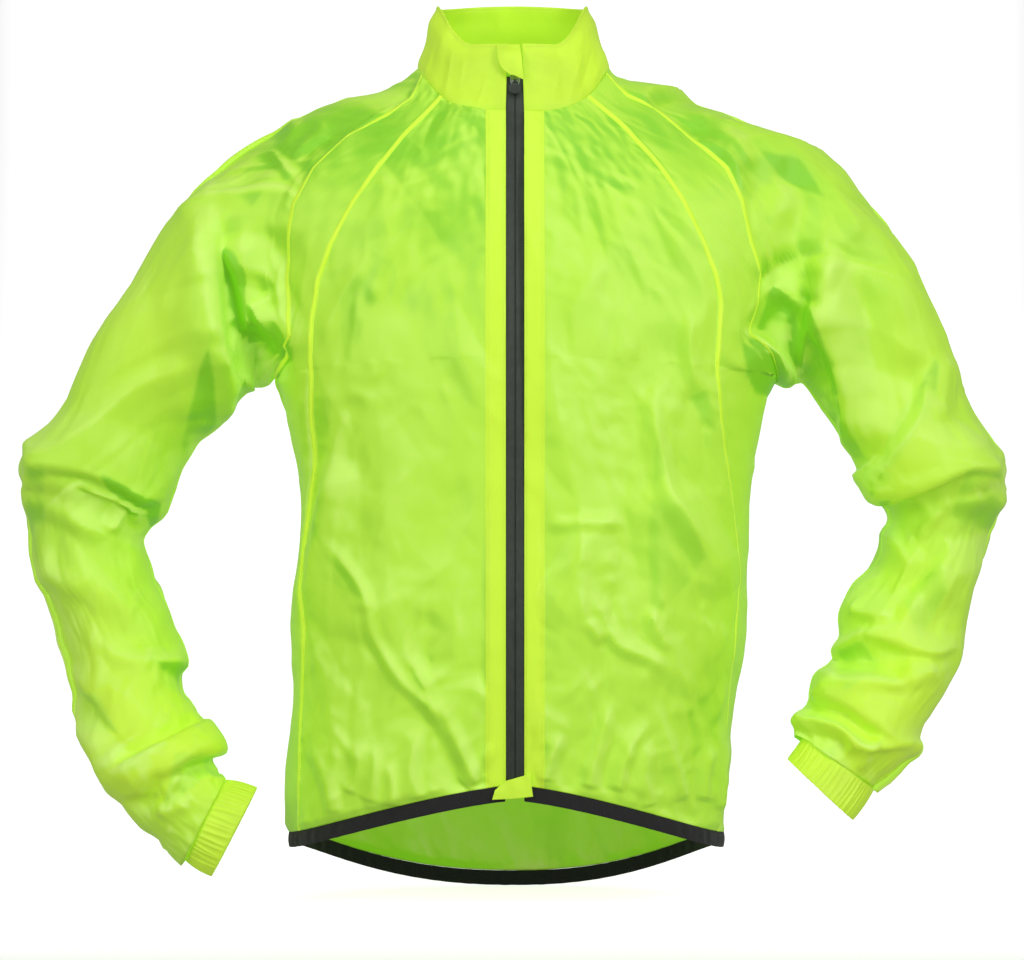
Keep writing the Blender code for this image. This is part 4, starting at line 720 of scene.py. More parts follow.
# Small creases: the piece, how many, their turn in degrees from across and its spread, the shares of the piece's
# height between which they lie, and their length, height and widths in mm.
CRUMPLE_COLUMNS = ("piece", "count", "turn", "spread", "low", "high", "shortest", "longest", "height", "narrow", "wide")
CRUMPLES = (
    ("front", 36, 80, 30, 0.00, 0.85, 40, 130, 0.80, 1.6, 20.0),
    ("front", 110, 62, 40, 0.00, 0.32, 15, 60, 1.0, 1.4, 7.0),
    ("front", 40, 70, 50, 0.30, 0.75, 15, 70, 0.50, 1.4, 8.0),
    ("front", 50, 40, 35, 0.50, 1.00, 15, 60, 0.55, 1.4, 8.0),
    ("side", 40, 80, 45, 0.00, 1.00, 12, 50, 0.70, 1.6, 8.0),
    ("back", 70, 80, 45, 0.00, 1.00, 25, 130, 0.90, 1.8, 20.0),
    ("back", 140, 85, 30, 0.00, 0.35, 15, 60, 0.80, 1.6, 8.0),
    ("back", 60, 30, 35, 0.60, 1.00, 20, 80, 0.70, 1.6, 12.0),
    ("sleeve", 40, 5, 30, 0.00, 1.00, 25, 80, 1.00, 1.6, 16.0),
    ("sleeve", 60, 10, 35, 0.50, 1.00, 12, 45, 0.80, 1.4, 8.0),
)
# Flat facets between creases: the piece, how wide, how tall and how uneven they are in mm, and how far they lean
FACET_COLUMNS = ("piece", "wide", "tall", "height", "lean")
FACETS = (
    ("front", 50, 150, 2.5, 0.12),
    ("front", 26, 60, 0.9, -0.35),
    ("side", 34, 95, 1.3, 0.0),
    ("back", 60, 140, 2.6, 0.0),
    ("back", 26, 60, 0.8, 0.3),
    ("sleeve", 90, 64, 4.6, -0.45),
    ("sleeve", 44, 34, 1.5, 0.8),
    ("collar", 17, 48, 0.45, 0.25),
)
# Puckers at the seams: for each piece, the edge, and their reach, spacing and height in mm
PUCKERS = {
    "front": (
        ("low", 17, 5, 0.6), ("first", 26, 13, 0.45), ("last", 28, 12, 0.55), ("low", 55, 9, 1.0),
        ("high", 20, 13, 0.3),
    ),
    "side": (("low", 17, 5, 0.6), ("first", 24, 12, 0.5), ("last", 24, 10, 0.6), ("low", 50, 9, 1.0)),
    "back": (
        ("low", 17, 5, 0.6), ("first", 28, 11, 0.6), ("last", 28, 11, 0.6), ("low", 60, 9, 1.1),
        ("high", 20, 13, 0.3),
    ),
    "sleeve": (("low", 26, 10, 0.7), ("high", 34, 6, 1.1), ("first", 18, 14, 0.3)),
}
# The pull tab's outline below its neck: how far each step goes down, as a share of its length, and how much
# wider it becomes
PULL_STEPS = (
    (0.06, 2.2), (0.08, 1.42), (0.16, 1.06), (0.20, 1.00), (0.14, 0.97), (0.09, 0.86), (0.05, 0.66), (0.02, 0.5),
)


# ---------------------------------------------------------------- reading the tables
def smooth_at(values, place):
    """The smooth curve through values (rows, ...) at a fractional row number."""
    values = np.asarray(values, float)
    last = len(values) - 1
    place = np.clip(np.asarray(place, float), 0, last)
    low = np.minimum(place.astype(int), last - 1)
    t = (place - low).reshape(place.shape + (1,) * (values.ndim - 1))
    a = values[np.maximum(low - 1, 0)]
    b = values[low]
    c = values[low + 1]
    d = values[np.minimum(low + 2, last)]
    return b + 0.5 * t * (c - a + t * (2 * a - 5 * b + 4 * c - d + t * (3 * (b - c) + d - a)))


def column(columns, rows, name):
    return np.array([row[columns.index(name)] for row in rows])


def between(columns, rows, key, name, at):
    """A column read as straight runs between rows, at a value of the key column."""
    return np.interp(at, column(columns, rows, key), column(columns, rows, name))


def eased(t):
    t = np.clip(t, 0, 1)
    return t * t * (3 - 2 * t)


def power(value, exponent):
    return np.sign(value) * np.abs(value) ** exponent


def unit(vectors):
    return vectors / np.maximum(np.linalg.norm(vectors, axis=-1, keepdims=True), 1e-12)


def flat_map(grid):
    """The cloth's own map: how far across and along it each point of a grid lies, in metres."""
    return np.stack([run_lengths(grid, 1), run_lengths(grid, 0)], -1)


def run_lengths(points, axis=0):
    """How far along the cloth each point of a line or a grid lies from its first point, row or column."""
    steps = np.linalg.norm(np.diff(points, axis=axis), axis=-1)
    start = np.zeros_like(steps[:1] if axis == 0 else steps[:, :1])
    return np.concatenate([start, np.cumsum(steps, axis=axis)], axis=axis)


def nearness(seen, x, z, wide, high):
    """1 at the middle of a soft oval seen from the front, and falling to 0 round it."""
    return np.exp(-(((seen[..., 0] - x) / wide) ** 2 + ((seen[..., 1] - z) / high) ** 2))


def off_neighbours(grid):
    """How far each point of a grid lies from the mean of its four neighbours."""
    wide = np.concatenate([grid[:, :1], grid, grid[:, -1:]], axis=1)
    tall = np.concatenate([grid[:1], grid, grid[-1:]], axis=0)
    return (wide[:, :-2] + wide[:, 2:] + tall[:-2] + tall[2:]) / 4 - grid


def grid_normals(grid):
    return unit(np.cross(np.gradient(grid, axis=1), np.gradient(grid, axis=0)))


# ---------------------------------------------------------------- the body's form
def oval(at, angle):
    """(across, front to back) of a rounded oval, whose four half widths are at's left, right, front and back."""
    sine, cosine = np.sin(angle), np.cos(angle)
    half = np.where(sine > 0, at["left"], at["right"])
    depth = np.where(cosine > 0, at["front"], at["back"])
    return half * power(sine, 2 / ROUNDNESS), -depth * power(cosine, 2 / ROUNDNESS)


def form_normal(form, angle, up, step=1e-3):
    """The outward normal of the body's or the collar's form."""
    across = form(angle + step, up) - form(angle - step, up)
    rise = form(angle, np.minimum(up + step, 1)) - form(angle, np.maximum(up - step, 0))
    return unit(np.cross(across, rise))


def body(angle, level):
    """Points of the body's form. angle is 0 at the middle front and positive towards the jacket's left side."""
    angle, level = np.broadcast_arrays(np.asarray(angle, float), np.asarray(level, float))
    row = smooth_at(BODY_ROWS, level * (len(BODY_ROWS) - 1))
    at = {name: row[..., i] for i, name in enumerate(BODY_COLUMNS)}
    in_front = np.cos(angle) > 0
    end = np.where(in_front, at["front_z"], at["back_z"])
    arch = np.where(in_front, at["arch"], BACK_ARCH)
    z = end + (at["side_z"] - end) * np.abs(np.sin(angle)) ** arch
    return np.stack([*oval(at, angle), z], -1)


def body_normal(angle, level):
    return form_normal(body, angle, level)


def angle_at(x, level, side):
    """The angle at which the body's front lies x from the middle, at a level."""
    name = "left" if side > 0 else "right"
    half = smooth_at(column(BODY_COLUMNS, BODY_ROWS, name), level * (len(BODY_ROWS) - 1))
    return side * np.arcsin(np.clip(np.abs(x) / half, 0, 0.9995) ** (ROUNDNESS / 2))


def front_seam(level, side, name):
    """The angle of the inner or outer front seam at each level: where the body is as wide as the table says."""
    rows = LEFT_FRONT_SEAMS if side > 0 else RIGHT_FRONT_SEAMS
    level = np.asarray(level, float)
    low, high = np.full(level.shape, math.radians(15)), np.full(level.shape, math.radians(89))
    for _ in range(30):
        middle = (low + high) / 2
        place = body(side * middle, level)
        wide = np.abs(place[..., 0]) > between(FRONT_SEAM_COLUMNS, rows, "z", name, place[..., 2])
        low, high = np.where(wide, low, middle), np.where(wide, middle, high)
    return side * (low + high) / 2


def back_seam(level, name):
    return np.radians(between(BACK_SEAM_COLUMNS, BACK_SEAMS, "level", name, level))


def raglan(level, side, in_front):
    """The sleeve seam's angle on the front or the back. It turns under the arm just above the armpit."""
    level = np.asarray(level, float)
    above = np.maximum(level, ARMPIT_LEVEL + ARMPIT_TURN)
    high = front_seam(above, side, "outer") if in_front else side * back_seam(above, "raglan")
    share = np.clip((level - ARMPIT_LEVEL) / ARMPIT_TURN, 0, 1) ** 0.5
    low = side * back_seam(ARMPIT_LEVEL, "raglan")
    return low + (high - low) * share


def body_levels():
    """Levels of the body's rows: even up to the armpit, close where the seam turns, then even to the collar."""
    below = np.linspace(0, ARMPIT_LEVEL, BODY_ROWS_BELOW + 1)
    turn = ARMPIT_LEVEL + ARMPIT_TURN * (np.arange(1, ARMPIT_ROWS + 1) / ARMPIT_ROWS) ** 2
    up = np.arange(1, RAGLAN_ROWS + 1) / RAGLAN_ROWS
    above = turn[-1] + (1 - turn[-1]) * (1 - (1 - up) ** RAGLAN_CROWDING)
    return np.concatenate([below, turn, above])


# ---------------------------------------------------------------- collar
def collar_height(angle):
    """(seam height, top edge height) of the collar round the neck."""
    bottom = body(angle, 1.0)[..., 2]
    away = np.abs((angle + math.pi) % (2 * math.pi) - math.pi)
    rise = eased((away - COLLAR_RISE_FROM) / (COLLAR_RISE_TO - COLLAR_RISE_FROM))
    back = eased((away - COLLAR_RISE_TO) / (math.pi - COLLAR_RISE_TO))
    top = COLLAR_TOP_FRONT + (COLLAR_TOP_SIDE - COLLAR_TOP_FRONT) * rise
    return bottom, top + (COLLAR_TOP_BACK - COLLAR_TOP_SIDE) * back


def collar(angle, share):
    angle, share = np.broadcast_arrays(np.asarray(angle, float), np.asarray(share, float))
    shares = column(COLLAR_COLUMNS, COLLAR_RINGS, "share")
    place = np.interp(share, shares, np.arange(len(shares)))
    row = smooth_at(COLLAR_RINGS, place)
    at = {name: row[..., i] for i, name in enumerate(COLLAR_COLUMNS)}
    bottom, top = collar_height(angle)
    return np.stack([*oval(at, angle), bottom + (top - bottom) * share], -1)


def collar_normal(angle, share):
    return form_normal(collar, angle, share)


def neck_normal(angle):
    """The normal that every piece shares along the collar seam."""
    return unit(body_normal(angle, 0.999) + collar_normal(angle, 0.001))


# ---------------------------------------------------------------- sleeves
def sleeve_section(row, turn):
    """One ring. turn is 0 at the outer point, a quarter at the front, a half at the inner point."""
    at = dict(zip(SLEEVE_COLUMNS, row))
    outer = np.array([at["outer_x"], at["y"], at["outer_z"]])
    inner = np.array([at["inner_x"], at["y"], at["inner_z"]])
    middle, chord = (outer + inner) / 2, (outer - inner) / 2
    deep = np.array([0, -at["depth"] / 2, 0])
    cosine = power(np.cos(turn), 2 / SLEEVE_ROUNDNESS)[:, None]
    sine = power(np.sin(turn), 2 / SLEEVE_ROUNDNESS)[:, None]
    return middle + cosine * chord + sine * deep


def armhole(side):
    """The sleeve seam as a closed loop, from the collar's side over the front, the armpit and the back: its
    points, its normals, those of the form beside it, and its number of columns on the front half."""
    levels = body_levels()[BODY_ROWS_BELOW:][::-1]
    front_top, back_top = raglan(1.0, side, True), raglan(1.0, side, False)
    top = (front_top + back_top) / 2
    half = COLLAR_COLUMNS_ON_SLEEVE
    to_front = np.linspace(top, front_top, half + 1)[:-1]
    from_back = np.linspace(back_top, top, half + 1)[:-1]
    angles = [to_front, raglan(levels, side, True), raglan(levels[::-1][1:], side, False), from_back[1:]]
    heights = [np.ones(half), levels, levels[::-1][1:], np.ones(half - 1)]
    angle, level = np.concatenate(angles), np.concatenate(heights)
    points = body(angle, level)
    at_neck = (level > 0.9999)[:, None]
    normals = np.where(at_neck, neck_normal(angle), body_normal(angle, np.minimum(level, 0.999)))
    lie = np.where(at_neck, body_normal(angle, 0.95), normals)
    return points, normals, lie, half + len(levels) - 1


def column_turns(front, around, crowding):
    """The columns' turns round the arm. Above 1, crowding brings them together along the top of the arm."""
    down = math.pi * (np.arange(front) / front) ** crowding
    up = 2 * math.pi - math.pi * (np.arange(around - front, 0, -1) / (around - front)) ** crowding
    return np.concatenate([down, up])


def sleeve_grid(side):
    """(points, normals) of the whole sleeve: rings from the armhole to the cuff seam, columns round the arm."""
    rows = LEFT_SLEEVE if side > 0 else RIGHT_SLEEVE
    start, start_normals, lie, front = armhole(side)
    places = np.linspace(0, len(rows) - 1, SLEEVE_RINGS)
    sections = []
    for place, row in zip(places, smooth_at(rows, places)):
        crowding = 1 + (TOP_CROWDING - 1) * max(0, 1 - place / CROWDED_ROWS)
        turn = column_turns(front, len(start), crowding)
        sections.append(sleeve_section(row, turn))
    first, second = sections[:2]
    turn = column_turns(front, len(start), TOP_CROWDING)
    chord = first - start
    reach = np.linalg.norm(chord, axis=1, keepdims=True)
    level_chord = unit(chord - (chord * lie).sum(1, keepdims=True) * lie)
    seam = unit(np.roll(start, -1, axis=0) - np.roll(start, 1, axis=0))
    across = -side * unit(np.cross(seam, lie))
    under_arm = 1 - np.clip(np.abs(turn - math.pi) / UNDERARM_TURN, 0, 1)[:, None]
    leave = unit((1 - under_arm) * unit(level_chord + SEAM_PULL * across) + under_arm * unit(chord))
    arrive = unit(second - first) * reach
    near = start + leave * np.minimum(SEAM_MARGIN, 0.4 * reach)
    shoulder = [start]
    for share in np.arange(SHOULDER_RINGS - 1) / (SHOULDER_RINGS - 1):
        a, b = 2 * share**3 - 3 * share**2 + 1, share**3 - 2 * share**2 + share
        c, d = 3 * share**2 - 2 * share**3, share**3 - share**2
        blend = a * near + b * leave * reach + c * first + d * arrive
        shoulder.append(blend)
    points = evened(np.stack(shoulder + sections), 1 - 0.9 * under_arm)
    share = np.arange(1, SHOULDER_RINGS) / SHOULDER_RINGS
    dip = LEFT_SHOULDER_DIP if side > 0 else RIGHT_SHOULDER_DIP
    points[1:SHOULDER_RINGS, :, 2] -= dip * np.sin(math.pi * share)[:, None] * np.maximum(np.cos(turn), 0) ** 4
    normals = ring_normals(points, side)
    normals[0] = start_normals
    return points, normals, front


def bent(points):
    """How far each point lies from the mean of its four neighbours."""
    apart = np.zeros(points.shape)
    around = np.roll(points, 1, axis=1) + np.roll(points, -1, axis=1)
    apart[1:-1] = (around[1:-1] + points[:-2] + points[2:]) / 4 - points[1:-1]
    return apart


def evened(points, freedom):
    """The tube with its shoulder's bending evened out, between the rings by the seam and those of the arm.
    freedom says how far each column takes part."""
    settled = points.copy()
    free = slice(2, SHOULDER_RINGS + 2)
    for _ in range(EVENING_PASSES):
        settled[free] -= EVENING_STEP * bent(bent(settled))[free]
    return points + freedom * (settled - points)


def ring_normals(points, side):
    """Outward normals of a tube of rings."""
    around = np.roll(points, -1, axis=1) - np.roll(points, 1, axis=1)
    along = np.gradient(points, axis=0)
    return unit(np.cross(around, along)) * side


# ---------------------------------------------------------------- folds
def folded(points, normals):
    """The points with the largest folds added along their normals."""
    moved = np.zeros(points.shape[:-1])
    for row in FOLDS:
        fold = dict(zip(FOLD_COLUMNS, row))
        start = np.array([fold["x0"], fold["z0"]])
        line = np.array([fold["x1"], fold["z1"]]) - start
        seen = points[..., [0, 2]] - start
        along = (seen @ line) / (line @ line)
        nearest = np.clip(along, 0, 1)[..., None] * line
        off = np.linalg.norm(seen - nearest, axis=-1) / fold["width"]
        facing = eased(0.5 + 2 * fold["face"] * normals[..., 1])
        taper = eased(1.6 * (1 - np.abs(2 * np.clip(along, 0, 1) - 1)) + 0.2)
        moved += fold["height"] * np.exp(-off * off) * facing * taper
    return points + moved[..., None] * normals


def zip_edge(levels, side):
    return angle_at(np.full(levels.shape, ZIP_HALF), levels, side)


def inner_seam(levels, side):
    return front_seam(levels, side, "inner")


def arm_edge(levels, side, in_front):
    """A panel's edge towards the arm: the side seam below the armpit, and the sleeve seam above it."""
    below = side * back_seam(np.minimum(levels, ARMPIT_LEVEL), "side_back")
    return np.where(levels <= ARMPIT_LEVEL, below, raglan(np.maximum(levels, ARMPIT_LEVEL), side, in_front))


# ---------------------------------------------------------------- the cloth as fine grids
class Sheet:
    """One cut piece as a grid: rows run up the body or down the arm, columns run across."""

    def __init__(self, start, rows, columns, side):
        self.start, self.rows, self.columns, self.side = start, rows, columns, side

    def of(self, values):
        """This piece's part of values that are held for the whole cloth."""
        part = values[self.start : self.start + self.rows * self.columns]
        return part.reshape(self.rows, self.columns, *values.shape[1:])

    def ids(self):
        return np.arange(self.start, self.start + self.rows * self.columns).reshape(self.rows, self.columns)


def stepped(counts):
    """Fractional places through intervals that are each cut into their own count of steps."""
    steps = [i + np.arange(count) / count for i, count in enumerate(counts)]
    return np.concatenate([*steps, [float(len(counts))]])


def body_steps(below, turn, above):
    """Counts of steps in each of the body's coarse rows: below the armpit, where the seam turns, and above."""
    return [below] * BODY_ROWS_BELOW + [turn] * ARMPIT_ROWS + [above] * RAGLAN_ROWS


def level_at(place):
    """The body's level at a fractional coarse row: even, then close where the seam turns, then to the collar."""
    turned = BODY_ROWS_BELOW + ARMPIT_ROWS
    low = ARMPIT_LEVEL * place / BODY_ROWS_BELOW
    turn = ARMPIT_LEVEL + ARMPIT_TURN * (np.clip(place - BODY_ROWS_BELOW, 0, ARMPIT_ROWS) / ARMPIT_ROWS) ** 2
    up = np.clip((place - turned) / RAGLAN_ROWS, 0, 1)
    top = ARMPIT_LEVEL + ARMPIT_TURN
    high = top + (1 - top) * (1 - (1 - up) ** RAGLAN_CROWDING)
    return np.where(place <= BODY_ROWS_BELOW, low, np.where(place <= turned, turn, high))


def even_columns(low, high, level, count):
    """Angles from low to high in each row, spaced evenly along the cloth."""
    share = np.linspace(0, 1, 4 * count + 1)
    angle = low[:, None] + (high - low)[:, None] * share
    points = body(angle, np.broadcast_to(level[:, None], angle.shape))
    run = run_lengths(points, 1)
    wanted = np.linspace(0, 1, count + 1)
    return np.stack([np.interp(wanted * r[-1], r, a) for r, a in zip(run, angle)])


def round_arm(grid, rows, columns):
    """A coarse tube read at fractional rows and columns, closed round the arm."""
    wrapped = np.concatenate([grid[:, -2:], grid, grid[:, :3]], axis=1)
    tall = smooth_at(wrapped, rows)
    return np.moveaxis(smooth_at(np.moveaxis(tall, 1, 0), columns + 2), 0, 1)


class Cloth:
    """All the thin cloth: grids that meet at their seams, at one fineness."""

    def __init__(self, fineness):
        self.sheets, grids = {}, []
        self.fineness = fineness
        self.count = 0
        self.row_steps = body_steps(4 * fineness, fineness, 3 * fineness)
        level = level_at(stepped(self.row_steps))
        self.armpit = 4 * fineness * BODY_ROWS_BELOW
        for side, who in SIDES:
            inner = inner_seam(level, side)
            front = even_columns(zip_edge(level, side), inner, level, FRONT_CELLS * fineness)
            flank = even_columns(inner, arm_edge(level, side, True), level, SIDE_CELLS * fineness)
            for name, angle in ((f"front_{who}", front), (f"side_{who}", flank)):
                grids.append(body(angle, np.broadcast_to(level[:, None], angle.shape)))
                self.add(name, grids[-1], side)
        first, last = arm_edge(level, 1, False), arm_edge(level, -1, False) + 2 * math.pi
        angle = even_columns(first, last, level, BACK_CELLS * fineness)
        grids.append(body(angle, np.broadcast_to(level[:, None], angle.shape)))
        self.add("back", grids[-1], 1)
        half = COLLAR_COLUMNS_ON_SLEEVE
        down = [2 * fineness] * half + self.row_steps[BODY_ROWS_BELOW:][::-1]
        self.column_steps = down + down[::-1]
        self.front_columns = sum(down)
        self.neck_columns = 2 * fineness * half
        columns = stepped(self.column_steps)
        rows = stepped([2 * fineness] * (SHOULDER_RINGS - 1) + [2 * fineness] * SLEEVE_RINGS)
        for side, who in SIDES:
            coarse, _, _ = sleeve_grid(side)
            grid = round_arm(coarse, rows, columns)
            seam = self.armhole_line(side, grids, level)
            near = np.clip(1 - rows / 1.5, 0, 1)[:, None, None] ** 2
            grids.append(grid + near * (seam - grid[0]))
            self.add(f"sleeve_{who}", grids[-1], side)
        self.plain = np.concatenate([g.reshape(-1, 3) for g in grids])
        self.join()
        self.plain = self.welded(self.plain)
        self.normals = self.outward(self.plain)

    def add(self, name, grid, side):
        self.sheets[name] = Sheet(self.count, *grid.shape[:2], side)
        self.count += grid.shape[0] * grid.shape[1]

    def armhole_line(self, side, grids, level):
        """The sleeve's first ring as the body's edges give it: collar, front, armpit, back and collar again."""
        who = 0 if side > 0 else 2
        flank, back = grids[who + 1], grids[4]
        edge = back[:, 0] if side > 0 else back[:, -1]
        front_top = arm_edge(level[-1:], side, True)[0]
        back_top = side * abs(float(raglan(1.0, side, False)))
        middle = (front_top + back_top) / 2
        count = self.neck_columns
        to_front = body(np.linspace(middle, front_top, count + 1)[:-1], np.ones(count))
        from_back = body(np.linspace(back_top, middle, count + 1)[1:], np.ones(count))
        down = flank[self.armpit :, -1][::-1]
        up = edge[self.armpit :][1:]
        return np.concatenate([to_front, down, up, from_back])

    def join(self):
        """Finds the points that several pieces share along their seams."""
        pairs = []
        back = self.sheets["back"].ids()
        for side, who in SIDES:
            front = self.sheets[f"front_{who}"].ids()
            flank = self.sheets[f"side_{who}"].ids()
            sleeve = self.sheets[f"sleeve_{who}"].ids()
            edge = back[:, 0] if side > 0 else back[:, -1]
            pairs.append((front[:, -1], flank[:, 0]))
            pairs.append((flank[: self.armpit + 1, -1], edge[: self.armpit + 1]))
            ring = sleeve[0]
            down = ring[self.neck_columns : self.front_columns + 1]
            up = ring[self.front_columns : len(ring) - self.neck_columns]
            pairs.append((down[::-1], flank[self.armpit :, -1]))
            pairs.append((up, edge[self.armpit :]))
            pairs.append((sleeve[:, 0], sleeve[:, -1]))
        label = np.arange(self.count)
        for _ in range(6):
            for a, b in pairs:
                low = np.minimum(label[a], label[b])
                np.minimum.at(label, a, low)
                np.minimum.at(label, b, low)
        _, inverse, size = np.unique(label, return_inverse=True, return_counts=True)
        self.shared = np.flatnonzero(size[inverse] > 1)
        _, self.group = np.unique(inverse[self.shared], return_inverse=True)
        self.group_size = np.bincount(self.group)[:, None]

    def welded(self, values):
        """The values with those of shared points made the same."""
        sums = [np.bincount(self.group, values[self.shared, i]) for i in range(values.shape[1])]
        values[self.shared] = (np.stack(sums, -1) / self.group_size)[self.group]
        return values

    def outward(self, points):
        normals = np.zeros(points.shape)
        for sheet in self.sheets.values():
            sheet.of(normals)[:] = grid_normals(sheet.of(points)) * sheet.side
        return unit(self.welded(normals))


# ---------------------------------------------------------------- folds laid one by one
def seen_from_front(points):
    """Millimetres across and up, as the points are seen from in front."""
    nearer = EYE_DISTANCE / (EYE_DISTANCE + points[..., 1])
    across = EYE_X + (points[..., 0] - EYE_X) * nearer
    up = EYE_Z + (points[..., 2] - EYE_Z) * nearer
    return np.stack([across, up], -1) * 1000


def smooth_path(corners, each=5):
    corners = np.array(corners, float)
    return smooth_at(corners, np.linspace(0, len(corners) - 1, each * (len(corners) - 1) + 1))


def off_path(places, path):
    """(signed distance, share of the way along, unit vector across) of places from a path. Its left is negative."""
    best = np.full(len(places), 1e9)
    off, along = np.zeros(len(places)), np.zeros(len(places))
    across = np.zeros((len(places), 2))
    run = run_lengths(path)
    for i, length in enumerate(np.linalg.norm(np.diff(path, axis=0), axis=1)):
        ahead = (path[i + 1] - path[i]) / length
        right = np.array([ahead[1], -ahead[0]])
        local = places - path[i]
        t = np.clip(local @ ahead, 0, length)
        gap = np.linalg.norm(local - t[:, None] * ahead, axis=1)
        near = gap < best
        best[near] = gap[near]
        off[near] = (gap * np.where(local @ right > 0, 1, -1))[near]
        along[near] = ((run[i] + t) / run[-1])[near]
        across[near] = right
    return off, along, across


def laid_folds(points, normals, lines, cell):
    """The points with the listed folds added: each line stands out along the normals and may lean to one side.
    No fold is narrower than the grid's cell can carry."""
    seen = seen_from_front(points)
    moved = np.zeros(points.shape)
    for line in lines:
        fold = dict(zip(FOLD_LINE_COLUMNS, line))
        left, right = max(fold["left"], cell), max(fold["right"], cell)
        path = smooth_path(fold["path"])
        reach = 4 * max(left, right)
        low, high = path.min(0) - reach, path.max(0) + reach
        near = ((seen > low) & (seen < high)).all(1) & (fold["face"] * normals[:, 1] > -0.6)
        near = np.flatnonzero(near)
        off, along, across = off_path(seen[near], path)
        scaled = off / np.where(off < 0, left, right)
        soft = fold["soft"]
        profile = np.clip(1 - (np.sqrt(scaled**2 + soft**2) - soft) / 2.1, 0, 1) ** 1.25
        start, end = max(fold["start"], 0.02), max(fold["end"], 0.02)
        taper = eased(along / start + 0.15) * eased((1 - along) / end + 0.15)
        facing = eased(fold["round"] + 2 * fold["face"] * normals[near, 1])
        share = (profile * taper * facing)[:, None]
        lean = np.stack([across[:, 0], np.zeros(len(near)), across[:, 1]], -1)
        lean -= (lean * normals[near]).sum(-1, keepdims=True) * normals[near]
        moved[near] += FOLD_STRENGTH * share * (fold["height"] * normals[near] + fold["lean"] * lean) * 0.001
    limit = FOLD_LIMIT * (0.6 + 0.4 * eased(2 * np.abs(normals[:, 1:2])))
    size = np.linalg.norm(moved, axis=-1, keepdims=True) / limit
    return points + moved / np.sqrt(1 + size**2)


# ---------------------------------------------------------------- settling as thin cloth
def gather_at(middles, ways, facing):
    """How much longer than its laid form the cloth is at each place, along each way."""
    seen = seen_from_front(middles)
    more = np.zeros(seen.shape[:-1])
    for row in SPARE:
        spare = dict(zip(SPARE_COLUMNS, row))
        turn = math.radians(spare["turn"])
        way = np.array([math.cos(turn), 0, math.sin(turn)])
        share = (ways @ way) ** 2
        if spare["across"]:
            share = 1 - share
        near = nearness(seen, spare["x"], spare["z"], spare["wide"], spare["high"])
        side = 1 if spare["face"] == 0 else eased(0.5 + 2 * spare["face"] * facing)
        more += spare["amount"] * near * share * side
    return more


class Settling:
    """The cloth's springs: its threads keep their length, and folds are eased out only as far as they bend."""

    def __init__(self, cloth, laid):
        self.cloth, self.laid = cloth, laid
        self.rest = {}
        for name, sheet in cloth.sheets.items():
            grid, normal = sheet.of(laid), sheet.of(cloth.normals)
            springs = {}
            for kind, (a, b) in self.ends(grid).items():
                facing = self.ends(normal)[kind][0][..., 1]
                way = b - a
                length = np.linalg.norm(way, axis=-1)
                more = gather_at((a + b) / 2, way / np.maximum(length, 1e-9)[..., None], facing)
                springs[kind] = length * (1 + more)
            self.rest[name] = springs

    @staticmethod
    def ends(grid):
        return {
            "across": (grid[:, :-1], grid[:, 1:]),
            "along": (grid[:-1], grid[1:]),
            "down_right": (grid[:-1, :-1], grid[1:, 1:]),
            "down_left": (grid[:-1, 1:], grid[1:, :-1]),
        }

    def pull(self, points):
        for name, sheet in self.cloth.sheets.items():
            grid = sheet.of(points)
            for kind, (a, b) in self.ends(grid).items():
                rest = self.rest[name][kind]
                strength = 1.0 if kind in ("across", "along") else SHEAR
                for odd in (0, 1):
                    cut = (slice(None), slice(odd, None, 2)) if kind == "across" else (slice(odd, None, 2),)
                    first, second, wanted = a[cut], b[cut], rest[cut]
                    apart = second - first
                    length = np.sqrt((apart * apart).sum(-1))
                    off = length - wanted
                    share = np.where(off > 0, 0.5, 0.5 * PUSH) * strength * off / np.maximum(length, 1e-9)
                    apart *= share[..., None]
                    first += apart
                    second -= apart

    def unlike(self, moved):
        """How far each point of a field over all the cloth lies from the mean of its four neighbours."""
        apart = np.zeros(moved.shape)
        for sheet in self.cloth.sheets.values():
            sheet.of(apart)[:] = off_neighbours(sheet.of(moved))
        return self.cloth.welded(apart)

    def run(self, points, passes, stiffness, hold, pinned):
        cloth = self.cloth
        keep = pinned[:, None]
        room = np.minimum(lining_gap(self.laid, cloth.normals), zip_room(cloth))
        for _ in range(passes):
            moved = points - self.laid
            bend = self.unlike(self.unlike(moved))
            moved -= stiffness * bend + hold * moved
            points = self.laid + moved * (1 - keep)
            self.pull(points)
            points = cloth.welded(points)
            out = ((points - cloth.plain) * cloth.normals).sum(-1)
            points += np.maximum(-room - out, 0)[:, None] * cloth.normals
            points = points + keep * (self.laid - points)
        return points


def lining_gap(points, normals):
    """How far the cloth may sink before it meets what lies beneath, in metres."""
    seen = seen_from_front(points)
    gap = np.full(len(points), REST_GAP)
    for *place, close in CLOSE_PLACES:
        gap += (close - REST_GAP) * nearness(seen, *place) * eased(0.5 - 2 * normals[:, 1])
    return np.maximum(gap, 0.0005)


def zip_room(cloth):
    """How far the front cloth may sink over the zip's tapes, and no limit elsewhere."""
    room = np.full(cloth.count, 1.0)
    for name, sheet in cloth.sheets.items():
        if name.startswith("front"):
            away = run_lengths(sheet.of(cloth.plain), 1)
            sheet.of(room)[:] = 0.0003 + 0.02 * eased((away - 0.011) / 0.012)
    return room


